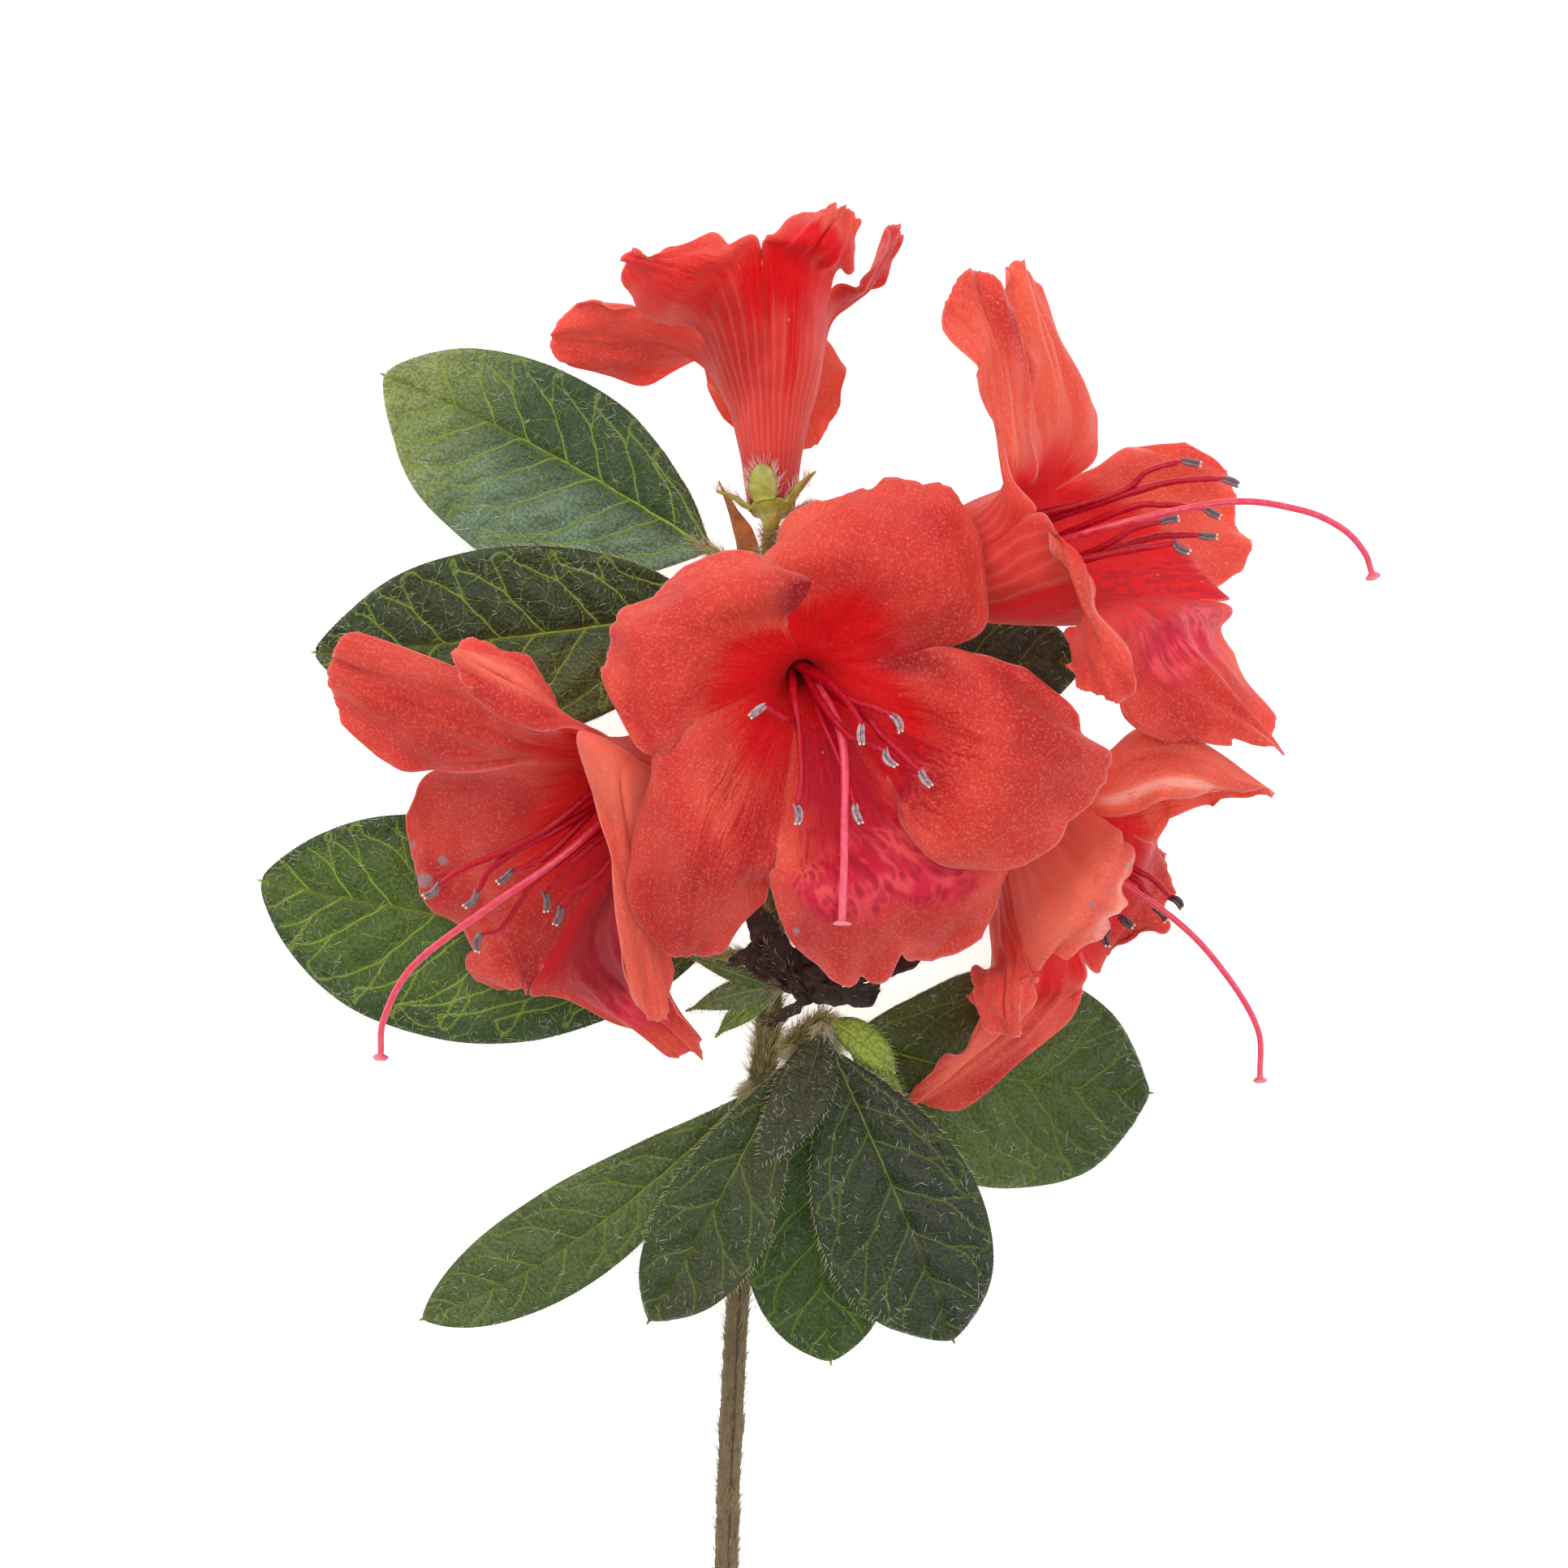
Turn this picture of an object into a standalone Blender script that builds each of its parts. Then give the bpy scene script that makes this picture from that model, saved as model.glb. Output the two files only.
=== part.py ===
"""A flowering azalea sprig, cut and laid down on its back with the blooms facing up.

The cut stem lies along Y with its cut end at the low end of Y. Z is up from the surface
it lies on, X is across it. Every length below is in millimetres.
"""
import math

import bmesh
import bpy
import numpy as np
from mathutils import Vector

MM = 0.001

# ---- driving dimensions -------------------------------------------------
PETAL_THICK = 0.6
LEAF_THICK = 0.7
STEM_RADIUS = 1.45
STEM_TIP_RADIUS = 1.25
KNOB_RADIUS = 2.3
LOBE_COUNT = 5
LOBE_TURN = 2.0 * math.pi / LOBE_COUNT

# bloom tube: distance from its base along its axis, and radius there
TUBE = ((0.0, 2.9), (7.0, 3.7), (14.0, 5.0))
TUBE_FLARE = 0.38

# how finely a bloom is divided in the solid
TUBE_ROWS = 3
FLARE_ROWS = 3
LOBE_ROWS = 5
LOBE_COLUMNS = 6

# the main stem from the cut end up to the knob the blooms leave from
STEM_LINE = [
    (-12.0, -94.0, 1.45),
    (-11.5, -75.0, 3.5),
    (-10.5, -53.5, 7.0),
    (-9.5, -38.0, 10.0),
    (-8.0, -24.5, 13.5),
    (-6.5, -16.0, 16.0),
    (-5.5, -1.0, 18.0),
    (-5.5, 20.0, 20.5),
    (-6.0, 35.5, 22.0),
    (-6.0, 42.0, 23.0),
]

# the short spur the lower leaves leave from
SPUR_LINE = [(-4.4, -16.8, 18.3), (-2.5, -15.2, 20.0), (0.0, -13.5, 21.5), (1.5, -12.5, 22.0)]
SPUR_RADII = [1.0, 1.2, 1.4, 1.1]

# ---- blooms -------------------------------------------------------------
# base and mouth set the tube's place and direction.
# notches are the points between neighbouring lobes, going round the axis; lobe number n
# runs out between notch n and notch n + 1. Each lobe has three lines running outwards:
# its first edge, its middle (rim, halfway, tip) and its second edge.
BLOOMS = {
    "centre": {
        "base": (-4.5, 37.0, 33.0),
        "mouth": (0.5, 29.5, 52.0),
        "notches": [(8.0, 34.0, 50.0), (-4.0, 38.5, 51.0), (-15.5, 26.0, 54.0), (-5.0, 10.5, 51.0), (9.0, 19.0, 51.0)],
        "lobes": [
            {
                "name": "top",
                "first": [(21.0, 38.0, 50.0), (21.0, 52.0, 47.5)],
                "middle": [(2.5, 38.0, 50.0), (9.0, 47.5, 56.0), (11.0, 57.5, 47.0)],
                "second": [(-6.0, 46.5, 50.0), (-2.0, 54.0, 46.0)],
            },
            {
                "name": "upper left",
                "first": [(-1.5, 43.5, 57.0), (-10.5, 49.0, 54.0)],
                "middle": [(-10.5, 35.5, 55.0), (-17.5, 38.0, 59.0), (-26.0, 39.0, 52.0)],
                "second": [(-22.0, 22.5, 55.0), (-27.5, 31.0, 53.0)],
            },
            {
                "name": "lower left",
                "first": [(-20.0, 18.5, 51.0), (-25.0, 2.5, 47.0)],
                "middle": [(-10.5, 18.5, 54.0), (-14.5, 8.0, 56.0), (-17.0, -4.0, 46.0)],
                "second": [(-6.5, 5.5, 48.5), (-9.0, 0.0, 46.5)],
            },
            {
                "name": "bottom",
                "first": [(-6.5, 6.5, 53.5), (-3.0, -3.5, 51.0)],
                "middle": [(2.5, 12.0, 53.0), (5.5, 3.5, 57.0), (7.0, -7.5, 48.5)],
                "second": [(24.0, 8.5, 49.0), (19.5, -4.5, 45.0)],
            },
            {
                "name": "right",
                "first": [(14.5, 10.0, 57.0), (25.5, 7.5, 53.0)],
                "middle": [(11.0, 26.5, 51.0), (23.5, 22.5, 59.0), (37.0, 20.0, 50.0)],
                "second": [(19.5, 35.5, 54.0), (30.0, 29.0, 51.0)],
            },
        ],
        "anthers": [(-7.5, 27.5, 60.0), (5.5, 24.5, 63.0), (10.0, 26.0, 61.5), (9.0, 21.5, 62.5), (13.5, 19.0, 62.5), (-2.5, 14.5, 60.5), (5.0, 14.5, 61.5)],
        "style": [(-1.5, 33.0, 46.0), (3.0, 24.5, 57.5), (3.5, 12.0, 61.5), (3.5, -0.5, 62.5)],
    },
    "top": {
        "base": (-6.0, 57.5, 34.0),
        "mouth": (-6.0, 76.5, 23.0),
        "notches": [(1.5, 81.0, 27.0), (-0.5, 75.5, 17.0), (-13.5, 73.0, 18.0), (-14.5, 75.5, 26.0), (-7.0, 85.2, 34.0)],
        "lobes": [
            {
                "name": "right",
                "first": [(5.0, 83.5, 30.0), (9.0, 88.0, 28.0)],
                "middle": [(1.5, 78.0, 22.0), (6.5, 82.5, 23.0), (10.5, 91.0, 20.0)],
                "second": [(7.5, 81.5, 15.0), (11.0, 87.5, 13.0)],
            },
            {
                "name": "back",
                "first": [(4.0, 73.5, 8.0), (3.5, 67.0, 4.0)],
                "middle": [(-6.5, 76.5, 10.0), (-5.5, 70.5, 3.2), (-2.0, 62.0, 1.0)],
                "second": [(-14.5, 71.5, 8.0), (-11.5, 65.0, 3.5)],
            },
            {
                "name": "left",
                "first": [(-22.5, 70.0, 16.0), (-32.0, 72.5, 15.0)],
                "middle": [(-15.5, 73.5, 21.0), (-24.5, 75.5, 21.0), (-34.5, 76.5, 18.0)],
                "second": [(-21.5, 76.5, 28.0), (-29.0, 81.5, 26.0)],
            },
            {
                "name": "front left",
                "first": [(-22.0, 78.0, 33.0), (-24.0, 82.5, 37.0)],
                "middle": [(-13.0, 81.0, 37.0), (-17.0, 83.0, 43.0), (-24.5, 86.0, 43.0)],
                "second": [(-11.5, 87.4, 38.0), (-19.0, 87.0, 42.0)],
            },
            {
                "name": "front right",
                "first": [(-5.0, 88.4, 38.0), (-0.5, 91.8, 38.0)],
                "middle": [(-2.0, 84.0, 37.0), (0.5, 87.0, 42.0), (3.8, 92.3, 40.0)],
                "second": [(4.0, 85.0, 32.0), (5.5, 88.5, 33.0)],
            },
        ],
        "anthers": [(-10.0, 81.5, 25.0), (-6.8, 83.5, 27.0), (-3.0, 82.0, 25.0), (-3.6, 80.0, 19.0), (-9.6, 79.5, 19.0)],
        "style": [(-6.0, 70.0, 26.8), (-6.0, 77.0, 23.0), (-6.5, 82.5, 21.0), (-6.0, 87.0, 22.5)],
    },
    "right": {
        "base": (7.5, 44.5, 30.0),
        "mouth": (29.0, 48.0, 39.0),
        "notches": [(27.0, 56.5, 41.0), (27.5, 52.5, 50.0), (35.0, 38.5, 41.0), (50.0, 42.0, 21.0), (31.0, 56.5, 26.0)],
        "lobes": [
            {
                "name": "near upright",
                "first": [(26.5, 66.5, 43.0), (24.5, 79.5, 41.0)],
                "middle": [(24.0, 56.0, 48.0), (24.0, 67.0, 47.0), (20.0, 84.0, 42.0)],
                "second": [(20.7, 66.5, 50.0), (14.8, 78.0, 46.0)],
            },
            {
                "name": "near hanging",
                "first": [(36.5, 41.5, 58.0), (40.5, 29.0, 55.0)],
                "middle": [(33.0, 46.0, 54.0), (34.5, 38.0, 57.0), (35.5, 29.5, 53.0)],
                "second": [(33.0, 36.5, 47.0), (31.5, 32.5, 47.0)],
            },
            {
                "name": "lower blotched",
                "first": [(39.5, 27.0, 40.0), (49.0, 24.5, 36.0)],
                "middle": [(41.0, 41.5, 31.0), (47.0, 33.5, 36.0), (59.5, 23.5, 28.0)],
                "second": [(52.5, 36.5, 24.0), (55.5, 30.5, 22.0)],
            },
            {
                "name": "far",
                "first": [(52.0, 43.0, 17.5), (56.0, 47.0, 12.0)],
                "middle": [(41.0, 51.0, 18.0), (47.5, 52.5, 13.0), (55.5, 53.0, 8.0)],
                "second": [(37.5, 62.0, 18.0), (47.5, 63.0, 11.0)],
            },
            {
                "name": "far upright",
                "first": [(37.0, 66.0, 26.0), (30.5, 80.0, 26.0)],
                "middle": [(29.5, 59.5, 33.0), (30.5, 70.0, 34.0), (26.5, 85.5, 32.0)],
                "second": [(26.5, 69.0, 39.0), (24.5, 82.5, 37.0)],
            },
        ],
        "anthers": [(48.0, 59.5, 37.0), (53.0, 57.0, 38.0), (50.5, 53.0, 40.0), (45.0, 52.0, 41.0), (50.0, 50.0, 39.0), (46.5, 48.5, 41.0)],
        "style": [(21.5, 46.5, 36.0), (36.0, 50.5, 42.5), (52.0, 54.0, 43.5), (64.0, 52.5, 41.5), (72.0, 44.5, 38.0)],
    },
    "left": {
        "base": (-10.5, 29.0, 28.0),
        "mouth": (-26.5, 15.5, 36.0),
        "notches": [(-29.5, 25.0, 50.0), (-33.0, 25.0, 42.0), (-36.0, 21.0, 34.0), (-35.5, -5.5, 19.0), (-23.5, 6.5, 34.0)],
        "lobes": [
            {
                "name": "top curled",
                "first": [(-37.0, 27.5, 55.0), (-45.0, 31.5, 52.0)],
                "middle": [(-31.0, 26.5, 48.0), (-37.5, 31.5, 54.0), (-46.0, 35.5, 50.0)],
                "second": [(-34.5, 33.0, 46.0), (-41.5, 37.5, 46.0)],
            },
            {
                "name": "top left long",
                "first": [(-46.5, 34.5, 36.0), (-61.8, 39.3, 30.0)],
                "middle": [(-35.0, 23.0, 38.0), (-48.0, 27.0, 34.0), (-63.5, 32.0, 28.0)],
                "second": [(-50.5, 19.5, 28.0), (-60.5, 24.5, 26.0)],
            },
            {
                "name": "lower left broad",
                "first": [(-49.5, 18.5, 26.0), (-53.5, 14.0, 20.0)],
                "middle": [(-39.0, 9.5, 23.5), (-46.0, 7.5, 18.0), (-50.5, 2.0, 13.0)],
                "second": [(-38.5, -8.5, 17.0), (-43.0, -9.0, 13.0)],
            },
            {
                "name": "bottom blotched",
                "first": [(-31.5, -10.2, 19.0), (-23.0, -14.5, 21.0)],
                "middle": [(-28.5, 0.0, 25.5), (-25.5, -8.5, 25.5), (-15.5, -17.0, 26.0)],
                "second": [(-22.0, -3.5, 31.5), (-16.5, -13.0, 31.0)],
            },
            {
                "name": "near right",
                "first": [(-20.5, 2.0, 36.5), (-17.5, -8.0, 36.5)],
                "middle": [(-23.5, 18.5, 49.0), (-22.5, 5.5, 45.0), (-20.5, -12.0, 43.0)],
                "second": [(-26.5, 9.5, 49.0), (-24.5, -8.0, 45.5)],
            },
        ],
        "anthers": [(-49.5, 4.5, 30.5), (-44.4, 3.4, 30.5), (-40.0, 6.4, 32.0), (-43.5, -2.0, 30.5), (-34.8, 3.2, 33.0), (-33.2, 1.4, 31.5)],
        "style": [(-21.0, 21.0, 33.0), (-30.0, 13.5, 37.5), (-42.5, 4.0, 36.2), (-52.0, -5.0, 31.5), (-55.5, -17.0, 27.0)],
    },
    "low": {
        "base": (13.0, 24.5, 22.0),
        "mouth": (31.0, 10.5, 28.0),
        "notches": [(35.5, 14.5, 37.0), (26.5, -3.0, 38.0), (22.5, -2.0, 29.0), (34.5, -4.0, 14.0), (41.5, 11.5, 18.0)],
        "lobes": [
            {
                "name": "near",
                "first": [(39.5, 11.0, 40.0), (40.0, 8.5, 39.0)],
                "middle": [(31.5, 6.5, 43.0), (35.5, 3.5, 46.0), (38.5, 2.0, 42.0)],
                "second": [(30.5, -3.5, 42.0), (34.5, -2.5, 42.0)],
            },
            {
                "name": "crumpled",
                "first": [(27.5, -6.5, 39.0), (27.5, -11.5, 37.0)],
                "middle": [(24.5, -2.5, 35.0), (23.5, -8.5, 41.0), (24.0, -14.0, 37.0)],
                "second": [(20.5, -6.5, 33.0), (19.0, -9.5, 33.0)],
            },
            {
                "name": "bottom twisted",
                "first": [(20.0, -14.0, 27.5), (15.5, -18.5, 22.5)],
                "middle": [(29.5, -5.5, 20.0), (25.5, -13.0, 24.0), (12.5, -23.5, 18.0)],
                "second": [(34.5, -9.5, 17.0), (23.5, -20.0, 15.0)],
            },
            {
                "name": "far",
                "first": [(38.0, -4.0, 8.0), (42.0, -3.0, 3.0)],
                "middle": [(39.0, 4.0, 9.0), (43.5, 3.5, 4.0), (46.5, 3.0, 0.6)],
                "second": [(44.0, 11.0, 12.0), (46.0, 8.5, 5.0)],
            },
            {
                "name": "top",
                "first": [(45.5, 13.5, 23.0), (52.5, 16.5, 27.0)],
                "middle": [(36.5, 21.5, 32.0), (44.5, 25.5, 33.0), (59.0, 17.0, 30.0)],
                "second": [(44.5, 16.0, 40.0), (53.0, 17.5, 35.0)],
            },
        ],
        "anthers": [(46.5, 3.0, 25.5), (44.5, 1.5, 26.5), (40.0, 0.5, 26.5), (37.5, -1.5, 27.5)],
        "style": [(23.0, 16.5, 25.3), (34.5, 9.0, 29.5), (45.0, 1.0, 30.0), (54.0, -7.0, 28.5), (57.0, -20.0, 25.0)],
    },
}

# the flower stalks, from the knob to just under the bloom's base
STALKS = {
    "centre": [(-5.9, 41.6, 25.8), (-6.0, 40.5, 28.0)],
    "top": [(-6.4, 45.0, 25.4), (-7.2, 49.5, 30.5)],
    "right": [(-3.2, 43.2, 23.8), (0.8, 44.2, 26.0)],
    "left": [(-8.2, 40.0, 24.6), (-9.2, 36.0, 26.0)],
    "low": [(-2.8, 39.4, 23.0), (1.5, 35.0, 21.0)],
}

# how far the five green lobes under each bloom reach
CALYX_REACH = (4.4, 3.2, 3.6, 3.0, 4.0)

# ---- leaves -------------------------------------------------------------
# base, middle and tip of the midrib, the blade's width, where it is widest (0 base, 1 tip),
# how round it is towards the base and the tip, the share that is stalk, its roll in degrees
# and how much wider one half is than the other
LEAVES = {
    "leaf_upper_left": ((-8.2, 44.8, 21.5), (-32.5, 60.5, 12.0), (-57.0, 72.0, 1.0), 26.0, 0.56, 1.0, 0.55, 0.14, -8.0, 0.18),
    "leaf_middle_left": ((-8.9, 41.8, 22.5), (-38.0, 37.5, 20.5), (-65.5, 35.5, 12.0), 25.0, 0.55, 0.8, 0.72, 0.10, 0.0, 0.06),
    "leaf_lower_left": ((-7.4, -4.5, 15.5), (-42.5, 0.0, 7.0), (-73.0, 5.5, 0.5), 29.3, 0.56, 0.8, 0.60, 0.10, 0.0, 0.10),
    "leaf_behind": ((-3.6, 34.0, 20.0), (15.0, 34.0, 12.0), (35.0, 34.5, 6.0), 17.0, 0.60, 0.8, 0.55, 0.12, 0.0, 0.0),
    "leaf_lower_right": ((2.7, -17.0, 19.5), (23.5, -20.0, 10.0), (44.0, -22.5, 0.5), 29.0, 0.54, 0.8, 0.62, 0.08, 0.0, 0.0),
    "fan_leaf_outer": ((-10.1, -23.2, 14.0), (-29.0, -39.5, 13.0), (-51.5, -51.8, 8.0), 13.0, 0.64, 1.4, 0.5, 0.14, 0.0, -0.12),
    "fan_leaf_front": ((-3.4, -17.6, 21.0), (-12.8, -36.0, 22.0), (-21.5, -51.5, 19.0), 14.2, 0.66, 1.2, 0.5, 0.16, 0.0, 0.05),
    "fan_leaf_back": ((-0.6, -17.0, 19.0), (0.0, -37.5, 13.0), (1.9, -57.3, 8.0), 19.2, 0.66, 1.2, 0.5, 0.20, 0.0, 0.0),
    "fan_leaf_right": ((2.2, -16.5, 22.2), (10.8, -35.5, 24.0), (17.5, -54.0, 19.0), 21.6, 0.61, 1.0, 0.5, 0.14, 0.0, -0.10),
    "fan_leaf_small": ((0.2, -15.6, 23.6), (-2.2, -22.5, 27.0), (-7.5, -30.5, 28.5), 6.8, 0.55, 0.9, 0.6, 0.10, 0.0, 0.0),
    "young_leaf_left": ((-5.4, -9.5, 19.5), (-10.5, -9.6, 21.0), (-16.4, -11.0, 20.5), 3.2, 0.50, 0.9, 0.9, 0.10, 0.0, 0.0),
    "young_leaf_left_low": ((-7.6, -10.4, 18.0), (-10.5, -12.0, 18.0), (-12.8, -14.2, 17.5), 2.8, 0.50, 0.9, 0.9, 0.10, 0.0, 0.0),
    "young_leaf_left_thin": ((-6.8, -6.4, 19.8), (-11.0, -5.3, 21.5), (-16.6, -3.9, 22.0), 1.6, 0.50, 0.9, 0.9, 0.10, 0.0, 0.0),
    "young_leaf_right": ((2.8, -13.6, 23.8), (6.2, -15.4, 26.0), (9.8, -18.6, 25.5), 3.8, 0.55, 0.8, 0.6, 0.10, 0.0, 0.0),
    "young_leaf_right_low": ((3.6, -14.8, 21.6), (7.4, -18.2, 22.4), (11.2, -22.2, 21.5), 2.4, 0.60, 0.9, 0.9, 0.10, 0.0, 0.0),
}
LEAF_ROWS = 9
LEAF_COLUMNS = 4

# ---- withered remains at the spur, and the bud scale by the top bloom ----
WITHERED_CORE = (-0.8, -7.4, 25.6)
WITHERED_STRIPS = [
    [(-4.5, -6.5, 26.6), (-8.0, -6.2, 26.0), (-11.0, -4.4, 25.0)],
    [(-3.0, -3.0, 27.0), (-5.8, 0.8, 28.0), (-7.4, 4.2, 26.5)],
    [(-3.0, -10.6, 25.5), (-5.0, -12.8, 24.8), (-7.0, -13.4, 23.6)],
    [(2.0, -9.5, 26.5), (5.0, -10.5, 26.5), (7.5, -10.0, 25.5)],
    [(3.5, -5.6, 27.0), (8.5, -3.6, 28.4), (13.2, -2.6, 27.4)],
    [(0.4, -3.4, 27.0), (1.4, 0.6, 28.0), (1.8, 3.8, 27.0)],
]
WITHERED_WIDTHS = [2.4, 3.4, 3.8, 3.4, 2.4, 1.2]
BUD_SCALE_LINE = [(-10.0, 46.5, 26.4), (-10.6, 50.5, 26.8), (-11.6, 54.0, 27.4), (-12.8, 57.5, 28.0)]


# ---- small helpers ------------------------------------------------------
def unit(vector):
    vector = np.asarray(vector, float)
    return vector / np.linalg.norm(vector)


def ease(amount):
    amount = np.clip(amount, 0.0, 1.0)
    return amount * amount * (3.0 - 2.0 * amount)


def smooth_line(points, count):
    """count + 1 points on a smooth line through the given points."""
    given = np.asarray(points, float)
    given = np.vstack([2 * given[0] - given[1], given, 2 * given[-1] - given[-2]])
    spans = len(given) - 3
    line = []
    for place in np.linspace(0.0, spans, count + 1):
        number = min(int(place), spans - 1)
        t = place - number
        a, b, c, d = given[number:number + 4]
        line.append(0.5 * (2 * b + (c - a) * t + (2 * a - 5 * b + 4 * c - d) * t**2 + (3 * b - a - 3 * c + d) * t**3))
    return np.array(line)


def directions(line):
    steps = np.gradient(line, axis=0)
    return steps / np.linalg.norm(steps, axis=1)[:, None]


def carried_sides(headings, side):
    """a sideways direction carried along the line without turning about it."""
    sides = []
    side = np.asarray(side, float)
    for heading in headings:
        side = unit(side - heading * (side @ heading))
        sides.append(side)
    return np.array(sides)


def through_three(first, middle, second, across):
    """the curve through three points; across runs from -1 to 1."""
    across = np.asarray(across)[:, None]
    return middle + (second - first) / 2 * across + ((first + second) / 2 - middle) * across**2


def hermite(start, end, leave, arrive, t):
    t = np.asarray(t, float)
    if t.ndim:
        t = t[:, None]
    a = 2 * t**3 - 3 * t**2 + 1
    b = t**3 - 2 * t**2 + t
    c = 3 * t**2 - 2 * t**3
    d = t**3 - t**2
    return a * start + b * leave + c * end + d * arrive


# ---- objects ------------------------------------------------------------
MATERIALS = {}


def material(name, colour, roughness):
    if name not in MATERIALS:
        made = bpy.data.materials.new(name)
        made.use_nodes = True
        shader = made.node_tree.nodes["Principled BSDF"]
        shader.inputs["Base Color"].default_value = (*colour, 1.0)
        shader.inputs["Roughness"].default_value = roughness
        made.diffuse_color = (*colour, 1.0)
        MATERIALS[name] = made
    return MATERIALS[name]


PETAL = ("petal coral red", (0.78, 0.10, 0.05), 0.55)
GREEN = ("leaf green", (0.06, 0.14, 0.04), 0.45)
YOUNG = ("young leaf green", (0.22, 0.36, 0.07), 0.50)
BARK = ("stem brown green", (0.22, 0.20, 0.09), 0.70)
STALK = ("flower stalk green", (0.40, 0.42, 0.10), 0.60)
FILAMENT = ("filament red", (0.60, 0.03, 0.06), 0.45)
DRY = ("withered brown", (0.07, 0.03, 0.02), 0.80)
RUST = ("bud scale rust", (0.36, 0.16, 0.05), 0.70)


def finish(bm, name, look):
    bmesh.ops.recalc_face_normals(bm, faces=bm.faces)
    bmesh.ops.triangulate(bm, faces=bm.faces)
    bmesh.ops.scale(bm, verts=bm.verts, vec=(MM, MM, MM))
    mesh = bpy.data.meshes.new(name)
    bm.to_mesh(mesh)
    bm.free()
    mesh.materials.append(material(*look))
    made = bpy.data.objects.new(name, mesh)
    bpy.context.scene.collection.objects.link(made)
    return made


def thickened(points, faces, thick):
    """a closed sheet of even thickness about the given surface."""
    points = np.asarray(points, float)
    normals = np.zeros_like(points)
    for face in faces:
        corners = points[list(face)]
        middle = corners.mean(axis=0)
        for number in range(len(face)):
            one = corners[number] - middle
            two = corners[(number + 1) % len(face)] - middle
            area = np.cross(one, two)
            normals[face[number]] += area
            normals[face[(number + 1) % len(face)]] += area
    normals /= np.linalg.norm(normals, axis=1)[:, None]
    bm = bmesh.new()
    upper = [bm.verts.new(point + normal * thick / 2) for point, normal in zip(points, normals)]
    lower = [bm.verts.new(point - normal * thick / 2) for point, normal in zip(points, normals)]
    edges = {}
    for face in faces:
        bm.faces.new([upper[corner] for corner in face])
        bm.faces.new([lower[corner] for corner in reversed(face)])
        for number in range(len(face)):
            start, end = face[number], face[(number + 1) % len(face)]
            edges[(start, end)] = edges.get((start, end), 0) + 1
    for start, end in edges:
        if (end, start) not in edges:
            bm.faces.new([upper[end], upper[start], lower[start], lower[end]])
    return bm


# ---- limbs and stalks ---------------------------------------------------
def limb(bm, line, radii, sides):
    """a round limb along the line, closed at both ends."""
    headings = directions(line)
    across = carried_sides(headings, (1.0, 0.2, 0.1) if abs(headings[0][0]) < 0.8 else (0.1, 1.0, 0.1))
    rings = []
    for point, heading, side, radius in zip(line, headings, across, radii):
        other = np.cross(heading, side)
        ring = []
        for number in range(sides):
            turn = 2 * math.pi * number / sides
            ring.append(bm.verts.new(point + radius * (side * math.cos(turn) + other * math.sin(turn))))
        rings.append(ring)
    walls = []
    for lower, upper in zip(rings, rings[1:]):
        row = []
        for number in range(sides):
            after = (number + 1) % sides
            row.append(bm.faces.new([lower[number], lower[after], upper[after], upper[number]]))
        walls.append(row)
    bm.faces.new(list(reversed(rings[0])))
    bm.faces.new(rings[-1])
    return walls


def grow(bm, face, line, widths, thicknesses, facing, shrink=0.75):
    """a four-sided arm grown out of a face along the line."""
    middle = np.array(face.calc_center_median())
    root = [middle + (np.array(vert.co) - middle) * shrink for vert in face.verts]
    outer = list(face.verts)
    bm.faces.remove(face)
    inner = [bm.verts.new(corner) for corner in root]
    for number in range(4):
        after = (number + 1) % 4
        bm.faces.new([outer[number], outer[after], inner[after], inner[number]])
    line = np.asarray(line, float)
    headings = directions(np.vstack([middle, line]))[1:]
    tops = carried_sides(headings, facing)
    previous = inner
    order = None
    for point, heading, top, width, thick in zip(line, headings, tops, widths, thicknesses):
        side = np.cross(heading, top)
        corners = [
            point + side * width / 2 + top * thick / 2,
            point - side * width / 2 + top * thick / 2,
            point - side * width / 2 - top * thick / 2,
            point + side * width / 2 - top * thick / 2,
        ]
        if order is None:
            best = None
            for way in (1, -1):
                for start in range(4):
                    trial = [(start + way * number) % 4 for number in range(4)]
                    apart = sum(np.linalg.norm(np.array(root[n]) - corners[trial[n]]) for n in range(4))
                    if best is None or apart < best:
                        best = apart
                        order = trial
        ring = [bm.verts.new(corners[number]) for number in order]
        for number in range(4):
            after = (number + 1) % 4
            bm.faces.new([previous[number], previous[after], ring[after], ring[number]])
        previous = ring
    bm.faces.new(previous)


def main_stem():
    line = smooth_line(STEM_LINE, 22)
    share = np.linspace(0.0, 1.0, len(line))
    radii = STEM_RADIUS + (STEM_TIP_RADIUS - STEM_RADIUS) * share
    nodes = np.array([-66.0, -38.0, -13.0, -6.0, 30.0])
    for place in nodes:
        radii = radii + 0.25 * np.exp(-((line[:, 1] - place) / 2.0) ** 2)
    knob = KNOB_RADIUS * np.sqrt(np.clip(1.0 - ((line[:, 1] - 42.0) / 3.2) ** 2, 0.0, 1.0))
    radii = np.maximum(radii, knob)
    extra = line[-1] + directions(line)[-1] * np.array([[0.9], [1.5]])
    line = np.vstack([line, extra])
    radii = np.concatenate([radii, [KNOB_RADIUS * 0.85, KNOB_RADIUS * 0.45]])
    bm = bmesh.new()
    limb(bm, line, radii, 10)
    return finish(bm, "main_stem", BARK)


def side_shoot():
    bm = bmesh.new()
    limb(bm, smooth_line(SPUR_LINE, 6), np.interp(np.linspace(0, 3, 7), range(4), SPUR_RADII), 8)
    return finish(bm, "side_shoot", BARK)


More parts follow.
